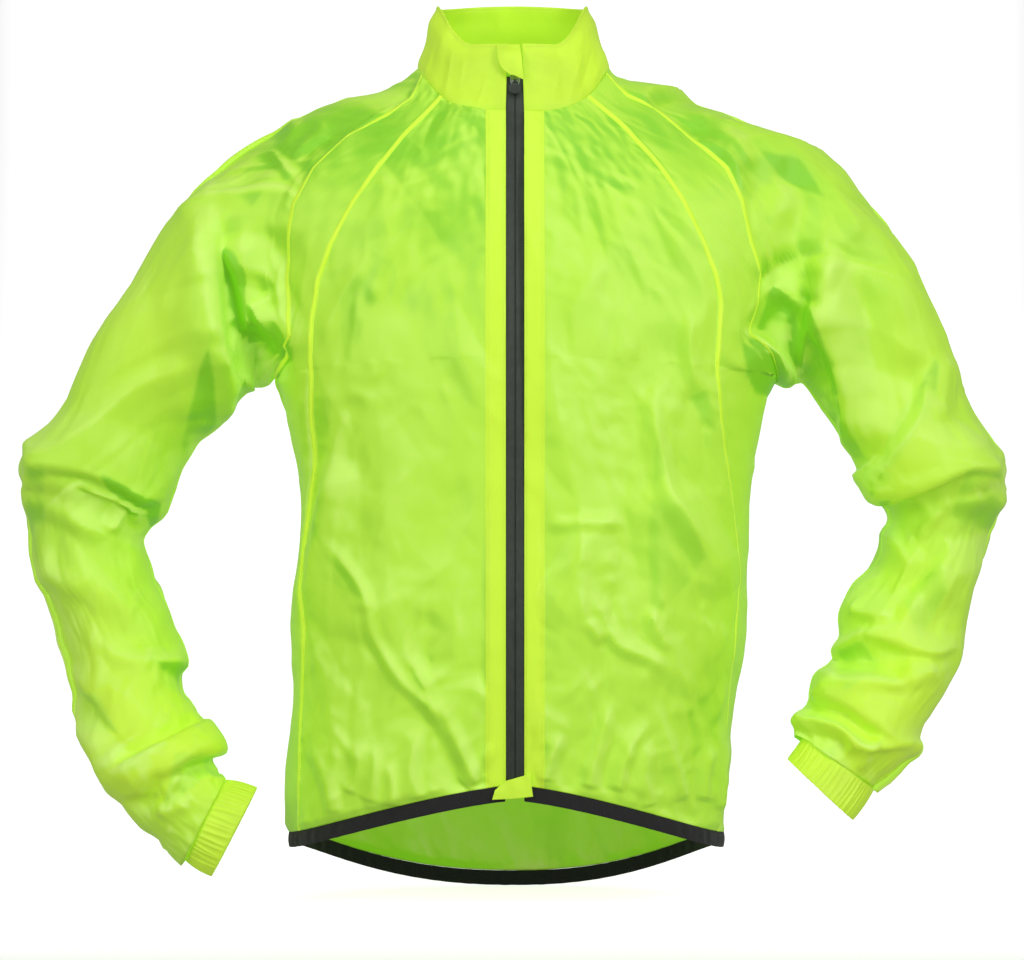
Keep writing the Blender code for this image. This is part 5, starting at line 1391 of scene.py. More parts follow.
def finer(values, coarse, fine):
    """Values on a coarse cloth read on the next finer one."""
    made = np.zeros((fine.count, values.shape[1]))
    for name, sheet in fine.sheets.items():
        grid = coarse.sheets[name].of(values)
        rows = np.linspace(0, grid.shape[0] - 1, sheet.rows)
        columns = np.linspace(0, grid.shape[1] - 1, sheet.columns)
        tall = smooth_at(grid, rows)
        sheet.of(made)[:] = np.moveaxis(smooth_at(np.moveaxis(tall, 1, 0), columns), 0, 1)
    return fine.welded(made)


def unevenness(cloth, settling, height, chance):
    """Small seeded bumps from which wrinkles grow."""
    bumps = chance.normal(size=(cloth.count, 1)) * cloth.normals
    for _ in range(BUMP_PASSES):
        bumps = bumps + settling.unlike(bumps)
    return bumps * (height / max(np.abs(bumps).std(), 1e-9))


def edges_pinned(cloth):
    """1 on the edges that the zip, collar, hem band and cuffs hold, and 0 elsewhere."""
    pinned = np.zeros(cloth.count)
    for name, sheet in cloth.sheets.items():
        grid = sheet.of(pinned)
        if name.startswith("sleeve"):
            grid[0, : cloth.neck_columns + 1] = 1
            grid[0, -cloth.neck_columns - 1 :] = 1
            grid[-1] = 1
        else:
            grid[0] = 1
            grid[-1] = 1
        if name.startswith("front"):
            grid[:, 0] = 1
    return cloth.welded(pinned[:, None])[:, 0] > 0.01


def settled_cloth(finest):
    """(cloth, points) of all the thin cloth, laid in its folds and settled from coarse to fine."""
    chance = np.random.default_rng(SETTLING_SEED)
    points = coarse = coarse_laid = None
    for fineness, passes, stiffness, hold, bumps in SETTLING:
        if fineness > finest:
            break
        cloth = Cloth(fineness)
        base = folded(cloth.plain, cloth.normals)
        laid = cloth.welded(laid_folds(base, cloth.normals, FOLD_LINES, CELL / fineness))
        laid = crumpled(cloth, laid)
        settling = Settling(cloth, laid)
        moved = np.zeros(laid.shape) if points is None else finer(points - coarse_laid, coarse, cloth)
        moved += unevenness(cloth, settling, bumps, chance)
        pinned = edges_pinned(cloth).astype(float)
        points = settling.run(laid + moved, passes, stiffness, hold, pinned)
        coarse, coarse_laid = cloth, laid
    return cloth, points


# ---------------------------------------------------------------- small creases, scattered over each cut piece
def crumpled(cloth, laid):
    """The laid cloth with its small creases: short straight lines, crisp on one side and soft on the other, and
    puckers that start at the seams."""
    fields = np.zeros((cloth.count, 1))
    cell = CELL / cloth.fineness
    for number, (name, sheet) in enumerate(cloth.sheets.items()):
        chance = np.random.default_rng(CREASE_SEED + number)
        grid = sheet.of(cloth.plain)
        across = run_lengths(grid, 1) * 1000
        across -= across[:, sheet.columns // 2 : sheet.columns // 2 + 1]
        along = run_lengths(grid, 0) * 1000
        if name.startswith("sleeve"):
            along -= along[-1:]
        field = sheet.of(fields)[..., 0]
        for row in CRUMPLES:
            kind = dict(zip(CRUMPLE_COLUMNS, row))
            if not name.startswith(kind["piece"]):
                continue
            for _ in range(kind["count"]):
                r = chance.uniform(kind["low"], kind["high"])
                c = chance.uniform(0, 1)
                turn = math.radians(kind["turn"] * sheet.side + chance.normal() * kind["spread"])
                length = chance.uniform(kind["shortest"], kind["longest"])
                height = CRUMPLE_STRENGTH * kind["height"] * chance.uniform(0.25, 1.0)
                height *= 1 if chance.uniform() < 0.62 else -0.8
                narrow, wide = kind["narrow"] * chance.uniform(0.7, 1.6), kind["wide"] * chance.uniform(0.5, 1.4)
                bent = chance.normal() * 0.12
                if chance.uniform() < 0.5:
                    narrow, wide = wide, narrow
                i, j = int(r * (sheet.rows - 1)), int(c * (sheet.columns - 1))
                crease(field, across, along, (i, j), turn, length, height, (narrow, wide), bent, cell)
        for edge, reach, spacing, height in PUCKERS[name.split("_")[0]]:
            place = 0.0
            while place < 1.0:
                place += spacing * chance.uniform(0.5, 1.7) / max(1.0, seam_run(along, across, edge))
                i, j = edge_place(sheet, edge, min(place, 1.0))
                turn = (0.0 if edge in ("first", "last") else math.pi / 2) + chance.normal() * 0.35
                size = height * chance.uniform(0.3, 1.0)
                length = reach * chance.uniform(0.4, 1.3)
                crease(field, across, along, (i, j), turn, length, size, (2.0, 2.8), 0.0, cell)
        for row in FACETS:
            kind = dict(zip(FACET_COLUMNS, row))
            if name.startswith(kind["piece"]):
                field += facets(across, along, chance, kind, sheet.side)
        field *= eased((along - along[0]) / 10 + 0.15)
        if name.startswith("front"):
            near = across - across[:, :1]
            field[:] = np.maximum(field, -0.25 - 4 * eased((near - 12) / 12))
    return cloth.welded(laid + cloth.normals * fields * 0.001)


def facets(across, along, chance, kind, side):
    """Heights in mm of a piece crushed into flat facets, which meet in straight ridges and troughs."""
    wide, tall, lean = kind["wide"], kind["tall"], kind["lean"] * side
    u, v = (across - lean * along) / wide, along / tall
    corners = []
    for j in range(int(v.min()) - 1, int(v.max()) + 3):
        for i in range(int(u.min()) - 2, int(u.max()) + 3):
            shift = chance.uniform(-0.42, 0.42, 2)
            corners.append((i + 0.5 * (j % 2) + shift[0], j + shift[1], chance.normal() * kind["height"]))
    corners = np.array(corners)
    flat = [Vector(corner[:2]) for corner in corners]
    _, _, faces, *_ = delaunay_2d_cdt(flat, [], [], 0, 1e-6)
    height = np.zeros(across.shape)
    for face in faces:
        (ax, ay, az), (bx, by, bz), (cx, cy, cz) = corners[list(face)]
        box = (u >= min(ax, bx, cx)) & (u <= max(ax, bx, cx)) & (v >= min(ay, by, cy)) & (v <= max(ay, by, cy))
        rows, columns = np.nonzero(box)
        if not len(rows):
            continue
        x, y = u[rows, columns], v[rows, columns]
        whole = (by - cy) * (ax - cx) + (cx - bx) * (ay - cy)
        first = ((by - cy) * (x - cx) + (cx - bx) * (y - cy)) / whole
        second = ((cy - ay) * (x - cx) + (ax - cx) * (y - cy)) / whole
        inside = (first >= -1e-9) & (second >= -1e-9) & (first + second <= 1 + 1e-9)
        rows, columns = rows[inside], columns[inside]
        first, second = first[inside], second[inside]
        height[rows, columns] = first * az + second * bz + (1 - first - second) * cz
    return height


def seam_run(along, across, edge):
    """Length in mm of one of a piece's edges."""
    if edge in ("first", "last"):
        return float((along[-1] - along[0]).mean())
    row = 0 if edge == "low" else -1
    return float(across[row, -1] - across[row, 0])


def edge_place(sheet, edge, share):
    """Row and column of a place along a piece's edge."""
    if edge in ("first", "last"):
        return int(share * (sheet.rows - 1)), 0 if edge == "first" else sheet.columns - 1
    return 0 if edge == "low" else sheet.rows - 1, int(share * (sheet.columns - 1))


def crease(field, across, along, middle, turn, length, height, widths, bent, cell):
    """Adds one crease to a piece's field of heights, in mm, round a row and column."""
    i, j = middle
    reach = length / 2 + 3 * max(widths)
    rows = 2 + int(reach / max(0.5, (along[-1, j] - along[0, j]) / (len(along) - 1)))
    columns = 2 + int(reach / max(0.5, (across[i, -1] - across[i, 0]) / (across.shape[1] - 1)))
    part = (slice(max(0, i - rows), i + rows + 1), slice(max(0, j - columns), j + columns + 1))
    x, z = across[part] - across[i, j], along[part] - along[i, j]
    ahead = x * math.cos(turn) + z * math.sin(turn)
    off = -x * math.sin(turn) + z * math.cos(turn) + bent * ahead * ahead / length
    left, right = (max(w, 1.3 * cell) for w in widths)
    scaled = np.abs(off) / np.where(off < 0, left, right)
    ends = np.clip(1 - np.abs(ahead) / (length / 2), 0, 1)
    field[part] += height * np.clip(1 - (np.sqrt(scaled**2 + 0.04) - 0.2) / 1.7, 0, 1) ** 1.2 * ends**0.7


# ---------------------------------------------------------------- making pieces of cloth
def grid_faces(rows, columns, turned, ring=False):
    """Quads of a grid, facing the other way if turned, joined up round a ring."""
    row, col = np.meshgrid(np.arange(rows - 1), np.arange(columns if ring else columns - 1), indexing="ij")
    nxt = (col + 1) % columns
    a, b = row * columns + col, row * columns + nxt
    c, d = (row + 1) * columns + nxt, (row + 1) * columns + col
    corners = (a, d, c, b) if turned else (a, b, c, d)
    return np.stack([x.ravel() for x in corners], -1)


def in_scene(name, mesh, look):
    mesh.materials.append(look)
    mesh.shade_smooth()
    piece = bpy.data.objects.new(name, mesh)
    bpy.context.scene.collection.objects.link(piece)
    return piece


def faced_outwards(mesh):
    """Turns every face of a closed mesh outwards."""
    shape = bmesh.new()
    shape.from_mesh(mesh)
    bmesh.ops.recalc_face_normals(shape, faces=shape.faces)
    shape.to_mesh(mesh)
    shape.free()


def add_piece(name, points, faces, look, marks=None, uv=None):
    """A new object in the scene from points and quads, with its marks for the material and a map in metres."""
    mesh = bpy.data.meshes.new(name)
    mesh.from_pydata([tuple(p) for p in points.reshape(-1, 3)], [], [tuple(f) for f in faces.tolist()])
    for mark, values in (marks or {}).items():
        layer = mesh.attributes.new(mark, "FLOAT", "POINT")
        layer.data.foreach_set("value", np.asarray(values, np.float32).ravel())
    if uv is not None:
        layer = mesh.uv_layers.new(name="cloth")
        flat = uv.reshape(-1, 2)[faces.ravel()]
        layer.data.foreach_set("uv", np.asarray(flat, np.float32).ravel())
    return in_scene(name, mesh, look)


def thickened(piece, thickness, rim=0.0):
    """Gives a sheet its wall, inwards from its outer side, and rounds its rim."""
    wall = piece.modifiers.new("wall", "SOLIDIFY")
    wall.thickness = thickness
    wall.offset = -1
    if rim:
        edge = piece.modifiers.new("rim", "BEVEL")
        edge.width = rim
        edge.segments = 2
        edge.limit_method = "ANGLE"
        edge.angle_limit = math.radians(60)
    return piece


def placed(piece, slot, *nodes, body=BODY):
    """The piece stands for its solid parts and moves with their body."""
    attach(piece, body)
    if nodes:
        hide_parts(*nodes)
    return piece


def at_distance(lines, distance):
    """The point a distance along each of many polylines (count, steps, 3)."""
    steps = np.linalg.norm(np.diff(lines, axis=1), axis=-1)
    run = run_lengths(lines, 1)
    index = np.clip((run < distance).sum(1) - 1, 0, lines.shape[1] - 2)
    every = np.arange(len(lines))
    share = (distance - run[every, index]) / np.maximum(steps[every, index], 1e-9)
    return lines[every, index] + (lines[every, index + 1] - lines[every, index]) * share[:, None]


def seam_ribbon(name, first, second, normals, half, look, profile):
    """The doubled cloth along a seam: first and second are the lines that leave the seam on either side."""
    rows = []
    for across, height in profile:
        side = first if across < 0 else second
        rows.append(at_distance(side, abs(across) * half) + normals * height * 0.001)
    grid = np.stack(rows, 1)
    middle = len(profile) // 2
    run = np.repeat(run_lengths(grid[:, middle : middle + 1]), len(profile), axis=1)
    across = np.broadcast_to(np.array([p[0] * half for p in profile]), run.shape)
    facing = np.cross(grid[1, 3] - grid[1, 2], grid[2, 3] - grid[1, 3]) @ normals[1]
    faces = grid_faces(*grid.shape[:2], facing < 0)
    return add_piece(name, grid, faces, look, uv=np.stack([across, run], -1))


def slider_frame():
    """(origin, out, up) at the slider's lower end, on the zip's face: out points away from the body."""
    share = np.array(collar_share(SLIDER_TOP - SLIDER_LENGTH))
    out = collar_normal(np.array(0.0), share)
    origin = collar(np.array(0.0), share) - out * (CLOTH + LAYER_GAP)
    up = unit(np.cross(out, np.array([1.0, 0, 0])))
    return origin, out, up if up[2] > 0 else -up


def bail_axis():
    """A point on the axis on which the pull tab hangs."""
    origin, out, up = slider_frame()
    return origin + out * (LAYER_GAP + SLIDER_PLATE + BAIL_STAND) + up * BAIL_DROP


# ---------------------------------------------------------------- finishes
class Amount:
    """A value in a material. Arithmetic on it adds Math nodes."""

    def __init__(self, finish, socket):
        self.finish, self.socket = finish, socket

    def maths(self, operation, *values):
        node = self.finish.node("Math", {"operation": operation}, dict(enumerate(values)))
        return Amount(self.finish, node.outputs[0])

    def __add__(self, other):
        return self.maths("ADD", self, other)

    __radd__ = __add__

    def __sub__(self, other):
        return self.maths("SUBTRACT", self, other)

    def __rsub__(self, other):
        return self.maths("SUBTRACT", other, self)

    def __mul__(self, other):
        return self.maths("MULTIPLY", self, other)

    __rmul__ = __mul__

    def __abs__(self):
        return self.maths("ABSOLUTE", self)

    def repeated(self, length):
        return self.maths("PINGPONG", self, length)

    def rising(self, low, high):
        """0 below low, 1 above high, and smooth between. high may be the lower of the two."""
        settings = {"interpolation_type": "SMOOTHSTEP"}
        flip = low > high
        values = {0: self, 1: min(low, high), 2: max(low, high), 3: 1.0 if flip else 0.0, 4: 0.0 if flip else 1.0}
        return Amount(self.finish, self.finish.node("MapRange", settings, values).outputs[0])


class Finish:
    """A material being made."""

    def __init__(self, name, **constants):
        self.material = bpy.data.materials.new(name)
        self.material.use_nodes = True
        self.tree = self.material.node_tree
        self.shader = self.tree.nodes["Principled BSDF"]
        for socket, value in constants.items():
            self.shader.inputs[socket.replace("_", " ")].default_value = value

    def give(self, socket, value):
        value = value.socket if isinstance(value, Amount) else value
        if isinstance(value, bpy.types.NodeSocket):
            self.tree.links.new(value, socket)
        elif isinstance(value, (tuple, list)) and len(value) == 3 and socket.type == "RGBA":
            socket.default_value = (*value, 1)
        else:
            socket.default_value = value

    def node(self, kind, settings=None, values=None):
        made = self.tree.nodes.new("ShaderNode" + kind)
        for name, value in (settings or {}).items():
            setattr(made, name, value)
        for socket, value in (values or {}).items():
            self.give(made.inputs[socket], value)
        return made

    def mark(self, name):
        return Amount(self, self.node("Attribute", {"attribute_name": name}).outputs["Fac"])

    def map(self):
        """Distances across and along the piece's own map, in metres."""
        parts = self.node("SeparateXYZ", {}, {0: self.node("UVMap", {"uv_map": "cloth"}).outputs[0]})
        return Amount(self, parts.outputs[0]), Amount(self, parts.outputs[1])

    def place(self):
        return self.node("TexCoord").outputs["Object"]

    def stretched(self, vector, scale, turn=(0, 0, 0)):
        return self.node("Mapping", {}, {0: vector, "Scale": scale, "Rotation": turn}).outputs[0]

    def noise(self, vector, scale, detail=3.0, roughness=0.5, distortion=0.0):
        values = {0: vector, "Scale": scale, "Detail": detail, "Roughness": roughness, "Distortion": distortion}
        return Amount(self, self.node("TexNoise", {}, values).outputs[0])

    def mixed(self, share, first, second):
        node = self.node("Mix", {"data_type": "RGBA"}, {0: share, 6: first, 7: second})
        return node.outputs[2]

    def bumped(self, height):
        """The normal over a height in metres."""
        return self.node("Bump", {}, {"Strength": 1.0, "Distance": 1.0, "Height": height}).outputs[0]

    def set(self, **links):
        for socket, value in links.items():
            self.give(self.shader.inputs[socket.replace("_", " ")], value)
        return self.material


def cloth_finish(name, colours, facing_edge=False):
    """Thin coated nylon: colours are its usual tone, a greener painted shade tone, a paler painted highlight tone and
    the doubled cloth's tone. With facing_edge, the cloth shows the doubled strip behind the zip's edge and its
    stitching."""
    usual, greener, paler, doubled = colours
    finish = Finish(name, Sheen_Weight=0.0, Specular_IOR_Level=0.45, Emission_Strength=CLOTH_GLOW)
    place = finish.place()
    across, along = finish.map()
    patches = finish.noise(place, 9.0, 2.0, 0.55, 0.6)
    lies = finish.mark("lies")
    stands = finish.mark("crest")
    turned = finish.mark("turned")
    # Painted shade and highlight: the lies mark (painted shade of hollows, listed places and shaded facets) and facets
    # turned from the painted light make the cloth greener and darker; facets turned to it and fold crests make it
    # paler. The glow takes these painted tones too
    painted_shade_mask = (lies * (0.75 - turned * 0.45) - turned * 0.42 + (0.5 - patches) * 0.12).rising(0.0, 1.1)
    painted_highlight_mask = (turned * 0.55 + stands * 0.35 + (patches - 0.5) * 0.2).rising(0.0, 1.0)
    # Painted brightening: where the lies mark is below 0 the cloth takes the doubled cloth's brighter yellow
    colour = finish.mixed((0.0 - lies).rising(0.0, 0.9) * 0.75, usual, doubled)
    colour = finish.mixed(painted_highlight_mask * (1 - painted_shade_mask * 0.7), finish.mixed(painted_shade_mask, colour, greener), paler)
    short_crease = abs(finish.noise(finish.stretched(place, (52, 52, 34), (0.2, -0.55, 0)), 1.0, 1.0, 0.5, 0.3) - 0.5)
    fine = finish.noise(place, 140.0, 3.0, 0.6)
    weave = across.repeated(WEAVE) + along.repeated(WEAVE)
    height = short_crease * 0.0003 + fine * 0.00006 + weave * 0.10
    roughness = 0.40 + (patches - 0.5) * 0.10
    if facing_edge:
        strip = across.rising(0.0176, 0.0170)
        colour = finish.mixed(strip, colour, doubled)
        outer, inner = (abs(across - place).rising(0.0007, 0.0002) for place in FRONT_STITCH_LINES)
        line = outer + inner
        stitch = along.repeated(STITCH).rising(*STITCH_GAP) * line
        colour = finish.mixed(stitch * 0.45, colour, tuple(0.72 * c for c in doubled))
        height = height - line * 0.00012 + stitch * 0.00016 + across.rising(0.0178, 0.0172) * 0.0003
    normal = finish.bumped(height)
    return finish.set(Base_Color=colour, Emission_Color=colour, Roughness=roughness, Normal=normal)


def doubled_finish(name, colour, darker, stitch_lines=(), stitch_axis="across"):
    """The same cloth doubled: brighter and yellower, with its lines of stitching."""
    finish = Finish(
        name, Sheen_Weight=0.05, Sheen_Roughness=0.4, Specular_IOR_Level=0.45, Emission_Strength=DOUBLED_GLOW,
    )
    place = finish.place()
    across, along = finish.map()
    patches = finish.noise(place, 22.0, 3.0, 0.55, 0.5)
    fine = finish.noise(place, 170.0, 3.0, 0.6)
    tone = finish.mixed((patches - 0.35).rising(0.0, 0.4) * 0.6, darker, colour)
    height = fine * 0.00008 + across.repeated(WEAVE) * 0.10 + along.repeated(WEAVE) * 0.10
    way, other = (across, along) if stitch_axis == "across" else (along, across)
    for line in stitch_lines:
        near = abs(way - line).rising(0.0006, 0.0002)
        stitch = other.repeated(STITCH).rising(*STITCH_GAP) * near
        tone = finish.mixed(stitch * 0.35, tone, tuple(0.7 * c for c in colour))
        height = height - near * 0.00030 + stitch * 0.00028
    return finish.set(Base_Color=tone, Emission_Color=tone, Roughness=0.46, Normal=finish.bumped(height))


def tape_finish(name, colour):
    """Black zip tape, coated on its face, with a fine rib along it."""
    finish = Finish(name, Specular_IOR_Level=0.5)
    across, along = finish.map()
    rib = across.repeated(0.00045)
    weave = along.repeated(0.0003)
    dust = finish.noise(finish.place(), 90.0, 3.0, 0.6)
    edge = across.rising(0.0010, 0.0004)
    tone = finish.mixed(dust.rising(0.35, 0.75) * 0.5 + edge * 0.3, colour, tuple(min(1.0, 2.1 * c) for c in colour))
    height = rib * 0.25 + weave * 0.1
    return finish.set(Base_Color=tone, Roughness=0.42 + dust * 0.12, Normal=finish.bumped(height))


def elastic_finish(name, colour):
    """Black woven elastic: ribs across the band and a fine knit."""
    finish = Finish(name, Specular_IOR_Level=0.25, Sheen_Weight=0.15, Sheen_Roughness=0.5)
    across, along = finish.map()
    ribs = along.repeated(0.0006)
    knit = across.repeated(0.0009)
    fuzz = finish.noise(finish.place(), 260.0, 2.0, 0.6)
    tone = finish.mixed(ribs.rising(0.0001, 0.0006) * 0.5 + fuzz * 0.3, colour, tuple(2.4 * c for c in colour))
    height = ribs * 0.35 + knit * 0.12 + fuzz * 0.0001
    return finish.set(Base_Color=tone, Roughness=0.78 + fuzz * 0.1, Normal=finish.bumped(height))


def rubber_finish(name, colour):
    """Black moulded rubber, a little worn along its edges."""
    finish = Finish(name, Specular_IOR_Level=0.5)
    place = finish.place()
    grain = finish.noise(place, 900.0, 2.0, 0.6)
    wear = finish.noise(place, 160.0, 3.0, 0.6)
    rim = finish.mark("rim")
    tone = finish.mixed(wear.rising(0.5, 0.8) * 0.4 + rim * 0.6, colour, tuple(2.6 * c for c in colour))
    return finish.set(Base_Color=tone, Roughness=0.42 + wear * 0.18, Normal=finish.bumped(grain * 0.00004))


def metal_finish(name, colour):
    """Grey die-cast metal with fine scratches."""
    finish = Finish(name, Metallic=1.0)
    place = finish.place()
    wear = finish.noise(place, 320.0, 3.0, 0.6)
    scratches = finish.noise(finish.stretched(place, (2600, 300, 300)), 1.0, 2.0, 0.5)
    tone = finish.mixed(wear, tuple(0.8 * c for c in colour), tuple(min(1, 1.25 * c) for c in colour))
    height = scratches * 0.00002 + wear * 0.00003
    return finish.set(Base_Color=tone, Roughness=0.26 + scratches * 0.18, Normal=finish.bumped(height))


# ---------------------------------------------------------------- sizes and colours a user would change
class JacketSizes(bpy.types.PropertyGroup):
    """Sizes of the jacket's cloth and sewing"""

    cloth_thickness: bpy.props.FloatProperty(
        name="Cloth thickness", description="Wall of a single layer of cloth", default=0.0004, min=0.0001,
        max=0.0015, unit="LENGTH", subtype="DISTANCE", precision=5,
    )
    doubled_thickness: bpy.props.FloatProperty(
        name="Doubled cloth", description="Wall of the collar and the cuffs", default=0.0014, min=0.0004,
        max=0.0030, unit="LENGTH", subtype="DISTANCE", precision=5,
    )
    seam_width: bpy.props.FloatProperty(
        name="Seam width", description="Width of the doubled cloth along a seam", default=0.0047, min=0.001,
        max=0.012, unit="LENGTH", subtype="DISTANCE", precision=4,
    )
    fineness: bpy.props.IntProperty(
        name="Fineness", description="How finely the cloth is drawn: 1, 2 or 4", default=4, min=1, max=4,
    )
    cuff_gathers: bpy.props.FloatProperty(
        name="Cuff gathers", description="How far the gathers of the cuffs stand out", default=0.0015, min=0,
        max=0.003, unit="LENGTH", subtype="DISTANCE", precision=4,
    )


class JacketColours(bpy.types.PropertyGroup):
    """Colours of the jacket and its fastenings"""

    shell: bpy.props.FloatVectorProperty(
        name="Cloth", description="The shell's usual colour", default=(0.49, 0.86, 0.052), min=0, max=1,
        subtype="COLOR",
    )
    # Painted shade tone: the greener, darker colour laid where the cloth lies close, in shaded places and on facets
    # turned from the light
    shell_painted_shade: bpy.props.FloatVectorProperty(
        name="Cloth lying close", description="Greener tone where the cloth lies close beneath",
        default=(0.25, 0.66, 0.020), min=0, max=1, subtype="COLOR",
    )
    # Painted highlight tone: the paler colour laid on fold crests and on facets turned to the light
    shell_painted_highlight: bpy.props.FloatVectorProperty(
        name="Cloth standing off", description="Paler tone along the folds", default=(0.62, 0.94, 0.16), min=0,
        max=1, subtype="COLOR",
    )
    doubled: bpy.props.FloatVectorProperty(
        name="Doubled cloth", description="Collar, cuffs, seams and front edges", default=(0.62, 0.94, 0.040),
        min=0, max=1, subtype="COLOR",
    )
    black: bpy.props.FloatVectorProperty(
        name="Zip", description="Zip tape and coil", default=(0.018, 0.026, 0.017), min=0, max=1, subtype="COLOR",
    )
    elastic: bpy.props.FloatVectorProperty(
        name="Elastic", description="Hem band", default=(0.012, 0.012, 0.012), min=0, max=1, subtype="COLOR",
    )
    metal: bpy.props.FloatVectorProperty(
        name="Slider", description="The slider's metal", default=(0.36, 0.37, 0.37), min=0, max=1, subtype="COLOR",
    )


def sizes():
    return bpy.context.scene.jacket_sizes


def colours():
    return bpy.context.scene.jacket_colours


# ---------------------------------------------------------------- what the operators share
class Workshop:
    """The settled cloth and the finishes, made once and used by every operator."""

    cloth = None
    points = None
    normals = None
    marks = None
    looks = {}
    made = {}

    @classmethod
    def settle(cls):
        finest = sizes().fineness
        cls.cloth, cls.points = settled_cloth(finest)
        cls.normals = cls.cloth.outward(cls.points)
        cls.marks = cloth_marks(cls.cloth, cls.points, cls.normals)

    @classmethod
    def look(cls, name):
        if not cls.looks:
            c = colours()
            shell = (tuple(c.shell), tuple(c.shell_painted_shade), tuple(c.shell_painted_highlight), tuple(c.doubled))
            deep = tuple(0.82 * v for v in c.doubled)
            bright = tuple(min(1.0, 1.10 * v) for v in c.doubled)
            cls.looks = {
                "shell": cloth_finish("fluorescent_shell", shell),
                "front": cloth_finish("fluorescent_front", shell, facing_edge=True),
                "seam": doubled_finish("seam_cloth", bright, tuple(c.doubled), SEAM_STITCH_LINES),
                "flat_seam": doubled_finish("flat_seam_cloth", tuple(c.shell), tuple(c.shell)),
                "double": doubled_finish("doubled_cloth", tuple(c.doubled), deep),
                "collar": doubled_finish("collar_cloth", tuple(c.doubled), deep, COLLAR_STITCH_LINES, "along"),
                "tape": tape_finish("zip_tape_black", tuple(c.black)),
                "coil": rubber_finish("zip_coil_black", tuple(c.black)),
                "rubber": rubber_finish("pull_rubber_black", tuple(c.black)),
                "elastic": elastic_finish("hem_elastic_black", tuple(c.elastic)),
                "metal": metal_finish("slider_grey", tuple(c.metal)),
            }
        return cls.looks[name]


def inside(places, corners):
    """1 well inside a polygon and 0 outside, with an edge a few mm wide."""
    ends = np.roll(corners, -1, axis=0)
    odd, near = np.zeros(len(places), bool), np.full(len(places), 1e9)
    for (ax, az), (bx, bz) in zip(corners, ends):
        x, z = places[:, 0], places[:, 1]
        crosses = (az > z) != (bz > z)
        odd ^= crosses & (x < ax + (bx - ax) * (z - az) / (bz - az if bz != az else 1e-9))
        step = np.array([bx - ax, bz - az])
        share = np.clip(((places - (ax, az)) @ step) / (step @ step), 0, 1)[:, None]
        near = np.minimum(near, np.linalg.norm(places - (ax, az) - share * step, axis=1))
    return eased(0.5 + np.where(odd, near, -near) / FACET_EDGE)


def cloth_marks(cloth, points, normals):
    """What the cloth's material reads: lies, the painted shade where the cloth lies close, in listed places and on
    shaded facets; where a fold's crest runs, for a painted highlight; and how far a facet is turned to the painted
    light it lets through, for painted highlight and shade."""
    out = ((points - cloth.plain) * normals).sum(-1)
    seen = seen_from_front(points)
    lies = np.zeros(len(points))
    in_front = eased(0.5 - 2 * normals[:, 1])
    # Painted shade in the listed places and on the shaded facets, on the front only
    for *place, amount in PAINTED_SHADE_PLACES:
        lies += amount * nearness(seen, *place) * in_front
    for amount, corners in SHADED_FACETS:
        lies += amount * inside(seen, np.array(corners, float)) * in_front
    # Painted shade where the cloth has sunk inwards, and painted brightening where it stands out
    lies += 0.10 * np.tanh(-out / 0.008)
    curl, turned = np.zeros(len(points)), np.zeros(len(points))
    for sheet in cloth.sheets.values():
        grid, facing = sheet.of(points), sheet.of(normals)
        now, before = grid_normals(grid), grid_normals(sheet.of(cloth.plain))
        way = np.sign((before * facing).sum(-1, keepdims=True))
        # How far each facet is turned to the painted light, for its painted highlight or shade
        sheet.of(turned)[:] = ((now - before) * way) @ unit(np.array(LIGHT_THROUGH))
        sheet.of(curl)[:] = (-off_neighbours(grid) * facing).sum(-1)
    cell = CELL / cloth.fineness * 0.001
    crest = np.clip(curl / (0.30 * cell), -1, 1)
    return {"lies": lies, "crest": crest, "turned": np.tanh(turned * TURNED_GAIN)}


def grid_piece(name, points, uv, look, wall, rim=0.0, turned=False, marks=None):
    """A piece of cloth from a grid of its outer side's points, with its map, look and wall."""
    faces = grid_faces(*points.shape[:2], turned)
    return thickened(add_piece(name, points, faces, Workshop.look(look), marks, uv), wall, rim)


def shell_piece(name, sheet, columns=slice(None)):
    """A piece of the shell from some columns of one sheet of the settled cloth."""
    points, plain, ids = (
        each[:, columns] for each in (sheet.of(Workshop.points), sheet.of(Workshop.cloth.plain), sheet.ids())
    )
    marks = {mark: values[ids].ravel() for mark, values in Workshop.marks.items()}
    look = "front" if name.startswith("front") else "shell"
    wall = sizes().cloth_thickness
    piece = grid_piece(name + "_cloth", points, flat_map(plain), look, wall, turned=sheet.side < 0, marks=marks)
    Workshop.made[name] = placed(piece, "shell", name)


# ---------------------------------------------------------------- operators
class SettleCloth(bpy.types.Operator):
    """Lay the cloth in its folds and let it settle"""

    bl_idname = "jacket.settle_cloth"
    bl_label = "Settle the cloth"

    def execute(self, context):
        Workshop.settle()
        return {"FINISHED"}


class AddBodyPanels(bpy.types.Operator):
    """Add the fronts, the side panels and the back"""

    bl_idname = "jacket.add_body_panels"
    bl_label = "Body panels"

    def execute(self, context):
        for name, sheet in Workshop.cloth.sheets.items():
            if not name.startswith("sleeve"):
                shell_piece(name, sheet)
        return {"FINISHED"}


class AddSleeves(bpy.types.Operator):
    """Add the sleeves, each of a front and a back piece"""

    bl_idname = "jacket.add_sleeves"
    bl_label = "Sleeves"

    def execute(self, context):
        underarm = Workshop.cloth.front_columns
        for _, who in SIDES:
            sheet = Workshop.cloth.sheets[f"sleeve_{who}"]
            shell_piece(f"sleeve_front_{who}", sheet, slice(0, underarm + 1))
            shell_piece(f"sleeve_back_{who}", sheet, slice(underarm, None))
        return {"FINISHED"}


